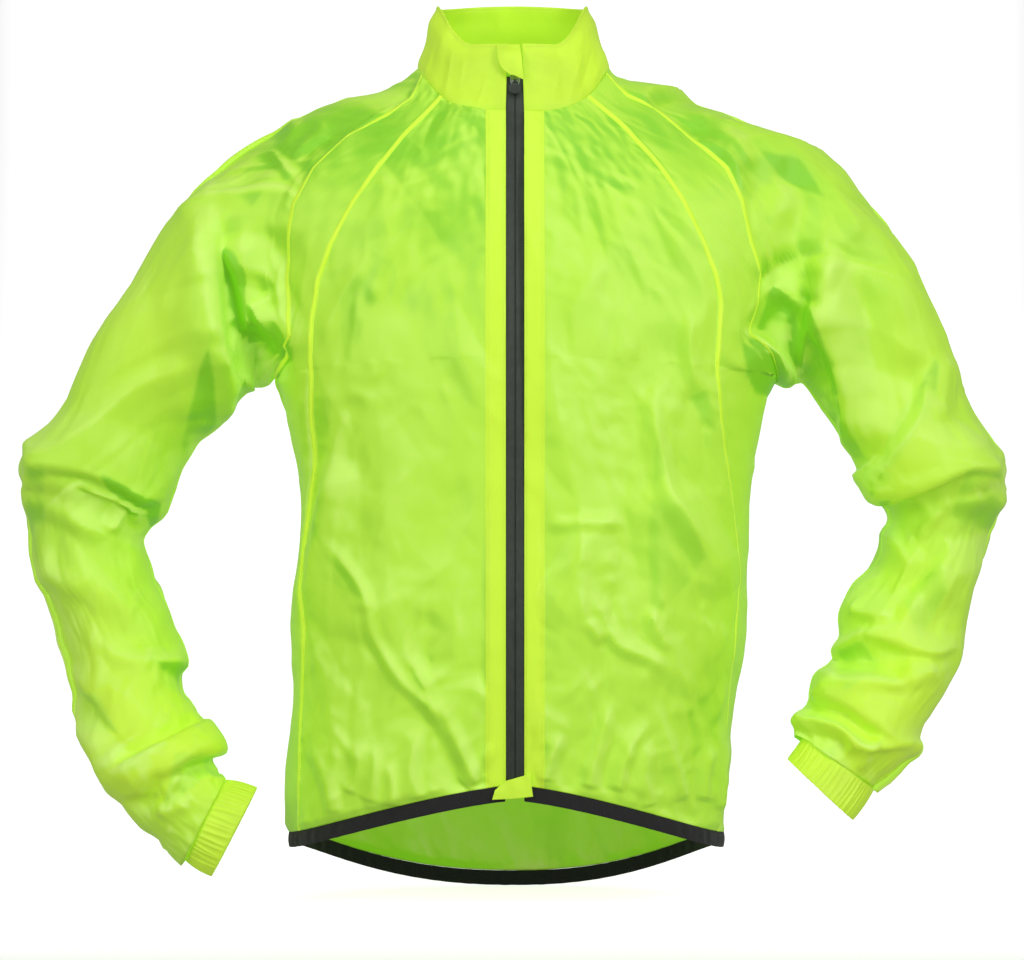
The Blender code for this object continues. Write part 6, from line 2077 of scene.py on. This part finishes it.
class AddSeams(bpy.types.Operator):
    """Add the doubled cloth along the seams"""

    bl_idname = "jacket.add_seams"
    bl_label = "Seams"

    def ribbon(self, name, first, second, ids, look="seam"):
        half = sizes().seam_width / 2
        normals = Workshop.normals[ids]
        piece = seam_ribbon(name, first, second, normals, half, Workshop.look(look), SEAM_PROFILE)
        Workshop.made[name] = placed(piece, "double")

    def execute(self, context):
        cloth, points = Workshop.cloth, Workshop.points
        low = cloth.armpit
        back = cloth.sheets["back"]
        for side, who in SIDES:
            front, flank, sleeve = (cloth.sheets[f"{part}_{who}"] for part in ("front", "side", "sleeve"))
            fronts, flanks, arm, backs = (sheet.of(points) for sheet in (front, flank, sleeve, back))
            if side < 0:
                backs = backs[:, ::-1]
            back_ids = back.ids() if side > 0 else back.ids()[:, ::-1]
            self.ribbon(f"seam_chest_{who}", fronts[:, ::-1][:, :SEAM_STEPS], flanks[:, :SEAM_STEPS],
                        front.ids()[:, -1])
            self.ribbon(f"seam_side_{who}", flanks[: low + 1, ::-1][:, :SEAM_STEPS],
                        backs[: low + 1, :SEAM_STEPS], back_ids[: low + 1, 0])
            body_side = np.concatenate([flanks[low:, ::-1][::-1, :SEAM_STEPS], backs[low + 1 :, :SEAM_STEPS]])
            ring = slice(cloth.neck_columns, arm.shape[1] - cloth.neck_columns)
            arm_side = np.moveaxis(arm[:SEAM_STEPS, ring], 0, 1)
            self.ribbon(f"seam_armhole_{who}", body_side, arm_side, sleeve.ids()[0, ring])
            middle = cloth.front_columns
            before, after = arm[:, ::-1][:, :SEAM_STEPS], arm[:, :SEAM_STEPS]
            self.ribbon(f"seam_overarm_{who}", before, after, sleeve.ids()[:, 0], "flat_seam")
            before = arm[:, : middle + 1][:, ::-1][:, :SEAM_STEPS]
            after = arm[:, middle:][:, :SEAM_STEPS]
            self.ribbon(f"seam_underarm_{who}", before, after, sleeve.ids()[:, middle], "flat_seam")
        return {"FINISHED"}


def round_body(level, count, samples):
    """Angles round the body from one side of the zip to the other, evenly along the cloth, and how far along it
    they lie."""
    start = float(zip_edge(np.array(level), 1))
    angle = np.linspace(start, 2 * math.pi - start, samples)
    run = run_lengths(body(angle, np.full(angle.shape, level)))
    even = np.linspace(0, run[-1], count)
    return np.interp(even, run, angle), even


class AddCollar(bpy.types.Operator):
    """Add the stand-up collar of doubled cloth"""

    bl_idname = "jacket.add_collar"
    bl_label = "Collar"

    def execute(self, context):
        chance = np.random.default_rng(COLLAR_SEED)
        around, run = round_body(1.0, COLLAR_CELLS, SAMPLES_PER_COLLAR_CELL * COLLAR_CELLS)
        length = run[-1]
        angle, share = np.meshgrid(around, np.linspace(0, 1, COLLAR_CELLS_UP))
        points = collar(angle, share)
        normals = collar_normal(angle, share)
        out = np.zeros(angle.shape)
        seen = seen_from_front(points)
        for x0, z0, x1, z1, height, width in COLLAR_FOLDS:
            line = smooth_path(((x0, z0), ((x0 + x1) / 2 + 0.6, (z0 + z1) / 2), (x1, z1)))
            off, along, _ = off_path(seen.reshape(-1, 2), line)
            taper = eased(along / 0.3 + 0.1) * eased((1 - along) / 0.3 + 0.1)
            facing = eased(0.5 - 2 * normals[..., 1])
            out += height * (np.exp(-np.abs(off / width)) * taper).reshape(out.shape) * facing
        for _ in range(COLLAR_CREASES):
            place, wide = chance.uniform(0, length), chance.uniform(0.004, 0.011)
            low, tall = chance.uniform(0.0, 0.5), chance.uniform(0.25, 0.6)
            height = chance.uniform(-0.5, 0.8)
            lean = chance.uniform(-0.012, 0.012)
            shape = np.exp(-(((run + lean * share - place) / wide) ** 2)) * np.exp(-(((share - low) / tall) ** 2))
            out += height * shape
        kind = next(dict(zip(FACET_COLUMNS, row)) for row in FACETS if row[0] == "collar")
        out += facets(np.broadcast_to(run * 1000, share.shape), share * COLLAR_TALL, chance, kind, 1)
        out += 0.35 - 0.35 * np.exp(-((share / 0.045) ** 2)) + 0.25 * np.exp(-(((share - 0.12) / 0.07) ** 2))
        out += 0.35 * eased((share - 0.93) / 0.04)
        points = points + normals * out[..., None] * 0.001
        up = run_lengths(points)
        uv = np.stack([np.broadcast_to(run, up.shape), up.max(0) - up], -1)
        piece = grid_piece("collar_cloth", points, uv, "collar", sizes().doubled_thickness, DOUBLED_RIM)
        Workshop.made["collar"] = placed(piece, "double", "collar")
        return {"FINISHED"}


class AddCuffs(bpy.types.Operator):
    """Add the gathered cuffs"""

    bl_idname = "jacket.add_cuffs"
    bl_label = "Cuffs"

    def execute(self, context):
        for side, who in SIDES:
            chance = np.random.default_rng(CUFF_SEED + side)
            rows = LEFT_CUFF if side > 0 else RIGHT_CUFF
            turn = np.linspace(0, 2 * math.pi, CUFF_CELLS + 1)[:-1]
            places = np.linspace(0, len(rows) - 1, CUFF_CELLS_ALONG)
            points = np.stack([sleeve_section(row, turn) for row in smooth_at(rows, places)])
            normals = ring_normals(points, side)
            share = np.linspace(0, 1, CUFF_CELLS_ALONG)[:, None]
            out = np.zeros((CUFF_CELLS_ALONG, CUFF_CELLS))
            for number in range(CUFF_GATHERS):
                middle = (number + chance.uniform(-0.28, 0.28)) * 2 * math.pi / CUFF_GATHERS
                wide = chance.uniform(0.26, 0.40) * 2 * math.pi / CUFF_GATHERS
                twist = chance.uniform(-0.6, 0.6) * 2 * math.pi / CUFF_GATHERS
                away = (turn[None, :] - middle - twist * (share - 0.5) + math.pi) % (2 * math.pi) - math.pi
                fade = 1 - chance.uniform(0.0, 0.7) * np.abs(share - chance.uniform(0, 1)) ** 1.5
                shape = chance.uniform(0.35, 1.0) * fade * np.exp(-np.abs(away / wide) ** 1.6)
                out = np.maximum(out, shape)
            puff = 0.35 + 0.65 * np.sin(math.pi * np.clip(share, 0, 1)) ** 0.5
            out = (out - 0.55) * puff + 0.5 * np.sin(math.pi * share) ** 0.5
            points = points + normals * (out * sizes().cuff_gathers)[..., None]
            loop = np.concatenate([points, points[:, :1]], axis=1)
            faces = grid_faces(CUFF_CELLS_ALONG, CUFF_CELLS, side < 0, ring=True)
            look = Workshop.look("double")
            piece = add_piece(f"cuff_{who}_cloth", points, faces, look, uv=flat_map(loop)[:, :-1])
            thickened(piece, sizes().doubled_thickness, DOUBLED_RIM)
            Workshop.made[f"cuff_{who}"] = placed(piece, "double", f"cuff_{who}")
        return {"FINISHED"}


class AddHemBand(bpy.types.Operator):
    """Add the elastic band below the hem"""

    bl_idname = "jacket.add_hem_band"
    bl_label = "Hem band"

    def execute(self, context):
        angle, even = round_body(0.0, HEM_CELLS, SAMPLES_PER_HEM_CELL * HEM_CELLS)
        top = body(angle, np.zeros(angle.shape))
        normals = body_normal(angle, np.full(angle.shape, 0.001))
        share = np.linspace(0, 1, HEM_CELLS_UP)[:, None]
        drop = np.array([0.0, 0.0, -1.0]) * HEM_BAND_HEIGHT
        points = top + (1 - share)[..., None] * drop
        wave = 0.35 * np.sin(even * 2 * math.pi / 0.017) + 0.25 * np.sin(even * 2 * math.pi / 0.011 + 1.3)
        out = -0.5 + wave * np.sin(math.pi * share) + 0.3 * np.sin(math.pi * share)
        points = points + normals * (out * 0.001)[..., None]
        up = np.broadcast_to(share * HEM_BAND_HEIGHT, out.shape)
        uv = np.stack([np.broadcast_to(even, out.shape), up], -1)[..., ::-1]
        piece = grid_piece("hem_band_elastic", points, uv, "elastic", ELASTIC_CLOTH, DOUBLED_RIM)
        Workshop.made["hem_band"] = placed(piece, "elastic", "hem_band")
        return {"FINISHED"}


def strip(reaches, side, depths, top_share):
    """Rows of points up the front, each at its own distance from the middle and depth under the cloth, and their
    map."""
    level = level_at(stepped(body_steps(10, 2, 8)))
    shares = np.linspace(0, top_share, 22)[1:]
    lines = [front_line(reach, side, level, shares) for reach in reaches]
    grid, normals = (np.stack(each, 1) for each in zip(*lines))
    grid = grid - normals * np.array(depths)[None, :, None]
    return grid, np.stack([np.broadcast_to(np.array(reaches), grid.shape[:2]), run_lengths(grid)], -1)


def front_line(reach, side, levels, shares):
    """(points, normals) up the front at a distance from the middle, over the body and then the collar."""
    angle = angle_at(np.full(levels.shape, reach), levels, side)
    up_body = body(angle, levels)
    normals = body_normal(angle, np.clip(levels, 0.001, 0.999))
    top = np.full(shares.shape, float(angle_at(np.array(reach), np.array(1.0), side)))
    up_collar = collar(top, shares)
    collar_normals = collar_normal(top, np.clip(shares, 0.001, 0.999))
    return np.concatenate([up_body, up_collar]), np.concatenate([normals, collar_normals])


def read_along(run, values, at):
    """Values of points on a line, read at a distance along it."""
    return np.array([np.interp(at, run, values[:, k]) for k in range(3)])


def tube_faces(base, rings, around):
    """Quads of a tube whose rings of points follow one another, from point number base on."""
    starts = [base + ring * around for ring in range(rings - 1)]
    pairs = [(k, (k + 1) % around) for k in range(around)]
    return [(s + a, s + b, s + b + around, s + a + around) for s in starts for a, b in pairs]


def collar_share(z):
    """The collar's share at a height, in the middle front."""
    bottom, top = collar_height(np.array(0.0))
    return float((z - bottom) / (top - bottom))


class AddZip(bpy.types.Operator):
    """Add the zip's tapes and coil, and the folded edges behind it"""

    bl_idname = "jacket.add_zip"
    bl_label = "Zip"

    def execute(self, context):
        top = collar_share(SLIDER_TOP - TAPE_DROP)
        inset = CLOTH + LAYER_GAP
        for side, who in SIDES:
            reaches, bulges = zip(*TAPE_PROFILE)
            grid, uv = strip(reaches, side, [inset - bulge for bulge in bulges], top)
            piece = grid_piece(f"zip_tape_{who}_cloth", grid, uv, "tape", TAPE_CLOTH, turned=side < 0)
            Workshop.made[f"zip_tape_{who}"] = placed(piece, "zip_tape", f"zip_tape_{who}")
            reaches = tuple(ZIP_HALF + (FACING_REACH - ZIP_HALF) * step for step in FACING_STEPS)
            under = [CLOTH + LAYER_GAP + TAPE_THICK + LAYER_GAP] * len(reaches)
            grid, uv = strip(reaches, side, under, FACING_TOP)
            piece = grid_piece(f"facing_{who}_cloth", grid, uv, "double", FOLDED_CLOTH, turned=side < 0)
            Workshop.made[f"facing_{who}"] = placed(piece, "double", f"facing_{who}")
        self.coil(top, inset + TAPE_THICK + LAYER_GAP)
        return {"FINISHED"}

    def coil(self, top, inset):
        """Rows of small bars that cross in the middle, behind the tapes."""
        level = np.linspace(0, 1, COIL_SAMPLES)
        middle, normals = front_line(0.0001, 1, level, np.linspace(0, top, COIL_SAMPLES_ON_COLLAR)[1:])
        run = run_lengths(middle)
        even = np.arange(COIL_END, run[-1] - COIL_END, COIL_PITCH)
        points, faces = [], []
        for i, at in enumerate(even):
            centre, out = read_along(run, middle, at), unit(read_along(run, normals, at))
            up = unit(np.cross(np.array([1.0, 0, 0]), out))
            side = 1 if i % 2 else -1
            base = len(points)
            for share, size in COIL_BAR:
                x = side * (share * COIL_HALF - 0.0002)
                for k in range(COIL_BAR_SIDES):
                    turn = 2 * math.pi * k / COIL_BAR_SIDES
                    depth = 0.0011 + 0.0010 * size * math.cos(turn)
                    along = 0.00042 * size * math.sin(turn)
                    points.append(centre + np.array([x, 0, 0]) - out * (inset + depth) + up * along)
            faces += tube_faces(base, len(COIL_BAR), COIL_BAR_SIDES)
            for first in (base, len(points) - COIL_BAR_SIDES):
                faces.append((first, first + 1, first + 2, first + 3))
                faces.append((first, first + 3, first + 4, first + 5))
        base, around = len(points), len(COIL_CORE)
        for at in even[::4]:
            centre, out = read_along(run, middle, at), unit(read_along(run, normals, at))
            for x, depth in COIL_CORE:
                points.append(centre + np.array([x, 0, 0]) - out * (inset + depth))
        faces += tube_faces(base, (len(points) - base) // around, around)
        faces.append(tuple(range(base, base + around)))
        faces.append(tuple(range(len(points) - around, len(points))))
        mesh = bpy.data.meshes.new("zip_coil_rows")
        mesh.from_pydata([tuple(p) for p in points], [], faces)
        faced_outwards(mesh)
        piece = in_scene("zip_coil_rows", mesh, Workshop.look("coil"))
        Workshop.made["zip_coil"] = placed(piece, "zip_coil", "zip_coil")


class AddFlaps(bpy.types.Operator):
    """Add the tongue over the slider and the scrap over the zip's lower end"""

    bl_idname = "jacket.add_flaps"
    bl_label = "Flaps"

    def execute(self, context):
        self.garage()
        self.hem_flap()
        return {"FINISHED"}

    def garage(self):
        rows = smooth_at(GARAGE, np.linspace(0, len(GARAGE) - 1, GARAGE_CELLS_DOWN))
        at = {name: rows[:, i] for i, name in enumerate(GARAGE_COLUMNS)}
        share = np.linspace(0, 1, GARAGE_CELLS)
        x = at["right_x"][:, None] + (at["left_x"] - at["right_x"])[:, None] * share
        z = at["right_z"][:, None] + (at["left_z"] - at["right_z"])[:, None] * share
        heights = np.clip(np.vectorize(collar_share)(z), 0, 1)
        angles = np.sign(x) * np.abs(angle_at(np.abs(x), np.ones(x.shape), 1))
        normal = collar_normal(angles, np.clip(heights, 0.001, 0.999))
        lift = np.clip(at["lift"], 0, 1)[:, None]
        stand = LAYER_GAP + (GARAGE_STAND - LAYER_GAP) * lift + FLAP_THICK
        down = np.linspace(0, 1, GARAGE_CELLS_DOWN)[:, None]
        stand = stand + 0.0004 * np.sin(share * 9 + 3 * down) * down
        points = (collar(angles, heights) + normal * stand[..., None])[::-1]
        piece = grid_piece("zip_garage_cloth", points, flat_map(points), "double", FOLDED_CLOTH, FOLDED_RIM)
        Workshop.made["zip_garage"] = placed(piece, "double", "zip_garage")

    def hem_flap(self):
        at = np.array(HEM_FLAP)
        across = smooth_at(at, np.linspace(0, len(at) - 1, HEM_FLAP_CELLS))
        share = np.linspace(0, 1, HEM_FLAP_CELLS_UP)[:, None]
        x = across[:, 0] + (across[:, 2] - across[:, 0]) * share
        z = across[:, 1] + (across[:, 3] - across[:, 1]) * share
        front = float(body(np.array(0.0), np.array(0.01))[1])
        ripple = 0.0005 * np.sin(x * 420 + share * 3) * share + 0.0004 * np.sin(share * math.pi)
        y = front - HEM_FLAP_STAND - ripple
        points = np.stack([x, y, z], -1)
        piece = grid_piece("hem_flap_cloth", points, flat_map(points), "double", FOLDED_CLOTH, FOLDED_RIM)
        Workshop.made["hem_flap"] = placed(piece, "double", "hem_flap")


# ---------------------------------------------------------------- slider and pull tab, modelled in their frame
def nothing_selected():
    bpy.ops.object.select_all(action="DESELECT")


def block(low, high):
    """A block between two corners in the slider's frame: across, out and up."""
    nothing_selected()
    middle = [(a + b) / 2 for a, b in zip(low, high)]
    bpy.ops.mesh.primitive_cube_add(size=1, location=middle, scale=[b - a for a, b in zip(low, high)])
    bpy.ops.object.transform_apply(location=True, rotation=True, scale=True)
    return bpy.context.active_object


def picked(piece, test, mode="FACE"):
    """In edit mode, selects the faces or vertices that pass a test on place and normal."""
    bpy.ops.mesh.select_mode(type=mode)
    bpy.ops.mesh.select_all(action="DESELECT")
    shape = bmesh.from_edit_mesh(piece.data)
    for each in shape.faces if mode == "FACE" else shape.verts:
        place = each.calc_center_median() if mode == "FACE" else each.co
        each.select = test(place, each.normal)
    shape.select_flush_mode()
    bmesh.update_edit_mesh(piece.data)


def finished_with(piece, kind, **settings):
    """Applies one modifier to a piece."""
    nothing_selected()
    piece.select_set(True)
    bpy.context.view_layer.objects.active = piece
    step = piece.modifiers.new(kind.lower(), kind)
    for name, value in settings.items():
        setattr(step, name, value)
    bpy.ops.object.modifier_apply(modifier=step.name)
    return piece


def joined(pieces, name, frame, look):
    """One object from several, put in its place on the jacket."""
    nothing_selected()
    for piece in pieces:
        piece.select_set(True)
    bpy.context.view_layer.objects.active = pieces[0]
    if len(pieces) > 1:
        bpy.ops.object.join()
    piece = bpy.context.active_object
    piece.name = piece.data.name = name
    origin, out, up = (Vector(v) for v in frame)
    across = Vector((1.0, 0.0, 0.0))
    turn = Matrix((across, out, up)).transposed().to_4x4()
    piece.data.transform(Matrix.Translation(origin) @ turn)
    faced_outwards(piece.data)
    piece.data.materials.clear()
    piece.data.materials.append(look)
    piece.data.shade_smooth()
    return piece


def slider_plate(near, far):
    """One plate of the slider: broad shoulders above, drawn in below, with rounded edges."""
    plate = block((-SLIDER_HALF, near, 0), (SLIDER_HALF, far, SLIDER_LENGTH))
    bpy.ops.object.mode_set(mode="EDIT")
    bpy.ops.mesh.select_all(action="SELECT")
    bpy.ops.mesh.subdivide(number_cuts=5)
    picked(plate, lambda place, normal: place.z < 0.001, "VERT")
    bpy.ops.transform.resize(value=(0.70, 1, 1))
    picked(plate, lambda place, normal: 0.001 < place.z < 0.004, "VERT")
    bpy.ops.transform.resize(value=(0.82, 1, 1))
    picked(plate, lambda place, normal: place.z > SLIDER_LENGTH - 0.001, "VERT")
    bpy.ops.transform.resize(value=(0.78, 1, 1))
    bpy.ops.object.mode_set(mode="OBJECT")
    finished_with(plate, "BEVEL", width=0.0004, segments=2, limit_method="ANGLE", angle_limit=math.radians(50))
    return finished_with(plate, "SUBSURF", levels=1, render_levels=1)


class AddSlider(bpy.types.Operator):
    """Add the zip's slider with its bail"""

    bl_idname = "jacket.add_slider"
    bl_label = "Slider"

    def execute(self, context):
        face = LAYER_GAP + SLIDER_PLATE
        back = -(TAPE_THICK + LAYER_GAP + COIL_THICK + LAYER_GAP)
        parts = [slider_plate(LAYER_GAP, face), slider_plate(back - SLIDER_PLATE, back)]
        low = SLIDER_LENGTH - 0.0018
        neck = block((-SLIDER_NECK, back - BITE, low), (SLIDER_NECK, LAYER_GAP + BITE, SLIDER_LENGTH - BITE))
        parts.append(finished_with(neck, "BEVEL", width=0.0003, segments=2))
        tip = face + BAIL_STAND + BAIL_POST
        for start in (-BAIL_HALF, BAIL_HALF - BAIL_POST):
            post = block((start, face - BITE, BAIL_DROP - BAIL_POST), (start + BAIL_POST, tip, BAIL_DROP + BAIL_POST))
            bpy.ops.object.mode_set(mode="EDIT")
            picked(post, lambda place, normal: normal.y < -0.9)
            bpy.ops.transform.resize(value=(1.2, 1, 1.5))
            bpy.ops.object.mode_set(mode="OBJECT")
            parts.append(finished_with(post, "BEVEL", width=0.00028, segments=3))
        nothing_selected()
        bpy.ops.mesh.primitive_cylinder_add(
            vertices=20, radius=BAIL_RADIUS, depth=2 * BAIL_HALF - BAIL_POST, rotation=(0, math.pi / 2, 0),
            location=(0, face + BAIL_STAND, BAIL_DROP),
        )
        bpy.ops.object.transform_apply(location=True, rotation=True, scale=True)
        parts.append(context.active_object)
        piece = joined(parts, "slider_body", slider_frame(), Workshop.look("metal"))
        Workshop.made["slider"] = placed(piece, "metal", "slider")
        return {"FINISHED"}


class AddPullTab(bpy.types.Operator):
    """Add the rubber pull tab on the slider's bail"""

    bl_idname = "jacket.add_pull_tab"
    bl_label = "Pull tab"

    def execute(self, context):
        half = PULL_THICK / 2
        tab = block((-1.1 * EYE_HALF, -half, -0.20 * PULL_LENGTH), (1.1 * EYE_HALF, half, -EYE_HOLE - 0.0002))
        bpy.ops.object.mode_set(mode="EDIT")
        for down, wide in PULL_STEPS:
            picked(tab, lambda place, normal: normal.z < -0.5)
            bpy.ops.mesh.extrude_region_move(TRANSFORM_OT_translate={"value": (0, 0, -down * PULL_LENGTH)})
            bpy.ops.transform.resize(value=(wide, 1, 1))
        for way in (-1, 1):
            picked(tab, lambda place, normal: normal.y * way > 0.9 and place.z < -0.25 * PULL_LENGTH)
            bpy.ops.mesh.inset(thickness=0.0009, depth=0)
            bpy.ops.transform.translate(value=(0, -way * 0.00035, 0))
        bpy.ops.object.mode_set(mode="OBJECT")
        finished_with(tab, "BEVEL", width=0.00022, segments=2, limit_method="ANGLE", angle_limit=math.radians(35))
        finished_with(tab, "SUBSURF", levels=2, render_levels=2)
        rim = tab.data.attributes.new("rim", "FLOAT", "POINT")
        rim.data.foreach_set("value", [float(abs(point.co.y) > 0.76 * half) for point in tab.data.vertices])
        nothing_selected()
        bpy.ops.mesh.primitive_torus_add(
            major_radius=(EYE_OUTER + EYE_HOLE) / 2, minor_radius=(EYE_OUTER - EYE_HOLE) / 2, major_segments=28,
            minor_segments=12, rotation=(0, math.pi / 2, 0),
        )
        eye = context.active_object
        eye.scale = (1, 1, 2.4 * EYE_HALF / (EYE_OUTER - EYE_HOLE) / 1.2)
        bpy.ops.object.transform_apply(location=True, rotation=True, scale=True)
        _, out, up = slider_frame()
        piece = joined([tab, eye], "pull_tab_rubber", (bail_axis(), out, up), Workshop.look("rubber"))
        Workshop.made["pull_tab"] = placed(piece, "rubber", "pull_tab", body=PULL_BODY)
        return {"FINISHED"}


# ---------------------------------------------------------------- stage
class AddStage(bpy.types.Operator):
    """Add the floor, the soft lights and the camera"""

    bl_idname = "jacket.add_stage"
    bl_label = "Stage"

    def execute(self, context):
        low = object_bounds()[0].z
        nothing_selected()
        bpy.ops.mesh.primitive_plane_add(size=1)
        floor = context.active_object
        floor.name = "floor"
        made = bmesh.new()
        bend = BACKDROP_BEND
        turns = np.linspace(0, math.pi / 2, 14)
        line = [(BACKDROP_FAR + bend * math.sin(t), bend - bend * math.cos(t)) for t in turns]
        line = [(BACKDROP_NEAR, 0.0), *line, BACKDROP_TOP]
        sides = (-BACKDROP_HALF, BACKDROP_HALF)
        rows = [[made.verts.new((x, y, low - 0.0005 + z)) for x in sides] for y, z in line]
        for a, b in zip(rows, rows[1:]):
            made.faces.new((a[0], a[1], b[1], b[0]))
        made.to_mesh(floor.data)
        made.free()
        floor.data.shade_smooth()
        look = Finish("floor_white", Roughness=0.9, Specular_IOR_Level=0.1, Emission_Strength=BACKDROP_GLOW)
        parts = look.node("SeparateXYZ", {}, {0: look.place()}).outputs
        behind = Amount(look, parts[1]).rising(-0.75, 0.0) * abs(Amount(look, parts[0])).rising(1.6, 1.1)
        glow = look.mixed(behind, (0, 0, 0), (1, 1, 1))
        grain = look.noise(look.place(), 3.0, 3.0, 0.5)
        tone = look.mixed(grain, (0.90, 0.90, 0.90), (0.93, 0.93, 0.93))
        floor.data.materials.append(look.set(Base_Color=tone, Emission_Color=glow))
        floor.visible_diffuse = floor.visible_glossy = False
        floor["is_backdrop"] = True
        self.lights()
        self.camera(context)
        return {"FINISHED"}

    def lights(self):
        for name, place, aim, size, power in LIGHTS:
            data = bpy.data.lights.new(name, "AREA")
            data.shape = "RECTANGLE"
            data.size, data.size_y = size
            data.energy = power
            lamp = bpy.data.objects.new(name, data)
            bpy.context.scene.collection.objects.link(lamp)
            lamp.location = place
            way = Vector(aim) - Vector(place)
            lamp.rotation_euler = way.to_track_quat("-Z", "Y").to_euler()
        world = bpy.data.worlds.new("studio")
        world.use_nodes = True
        world.node_tree.nodes["Background"].inputs[0].default_value = (1.0, 1.0, 1.0, 1.0)
        world.node_tree.nodes["Background"].inputs[1].default_value = WORLD_LIGHT
        bpy.context.scene.world = world

    def camera(self, context):
        data = bpy.data.cameras.new("camera")
        data.sensor_width = SENSOR_WIDTH
        data.lens = SENSOR_WIDTH * EYE_DISTANCE / VIEW_WIDTH
        data.clip_end = VIEW_END
        data.dof.use_dof = False
        eye = bpy.data.objects.new("camera", data)
        context.scene.collection.objects.link(eye)
        eye.location = (EYE_X, -EYE_DISTANCE, EYE_Z)
        eye.rotation_euler = (math.pi / 2, 0, 0)
        context.scene.camera = eye
        context.scene.view_settings.view_transform = "Standard"


class JacketPanel(bpy.types.Panel):
    """Lists the jacket's operators, sizes and colours"""

    bl_label = "Rain jacket"
    bl_idname = "JACKET_PT_make"
    bl_space_type = "VIEW_3D"
    bl_region_type = "UI"
    bl_category = "Jacket"

    def draw(self, context):
        column = self.layout.column()
        for operator in OPERATORS:
            column.operator(operator.bl_idname)
        for group in (context.scene.jacket_sizes, context.scene.jacket_colours):
            for name in group.__annotations__:
                column.prop(group, name)


OPERATORS = (
    SettleCloth, AddBodyPanels, AddSleeves, AddSeams, AddCollar, AddCuffs, AddHemBand, AddZip, AddSlider,
    AddPullTab, AddFlaps, AddStage,
)
CLASSES = (JacketSizes, JacketColours, *OPERATORS, JacketPanel)


def register():
    for each in CLASSES:
        bpy.utils.register_class(each)
    bpy.types.Scene.jacket_sizes = bpy.props.PointerProperty(type=JacketSizes)
    bpy.types.Scene.jacket_colours = bpy.props.PointerProperty(type=JacketColours)


def unregister():
    del bpy.types.Scene.jacket_colours
    del bpy.types.Scene.jacket_sizes
    for each in reversed(CLASSES):
        bpy.utils.unregister_class(each)


def main():
    register()
    for operator in OPERATORS:
        space, name = operator.bl_idname.split(".")
        getattr(getattr(bpy.ops, space), name)()
    bpy.context.view_layer.update()


if __name__ == "__main__":
    main()
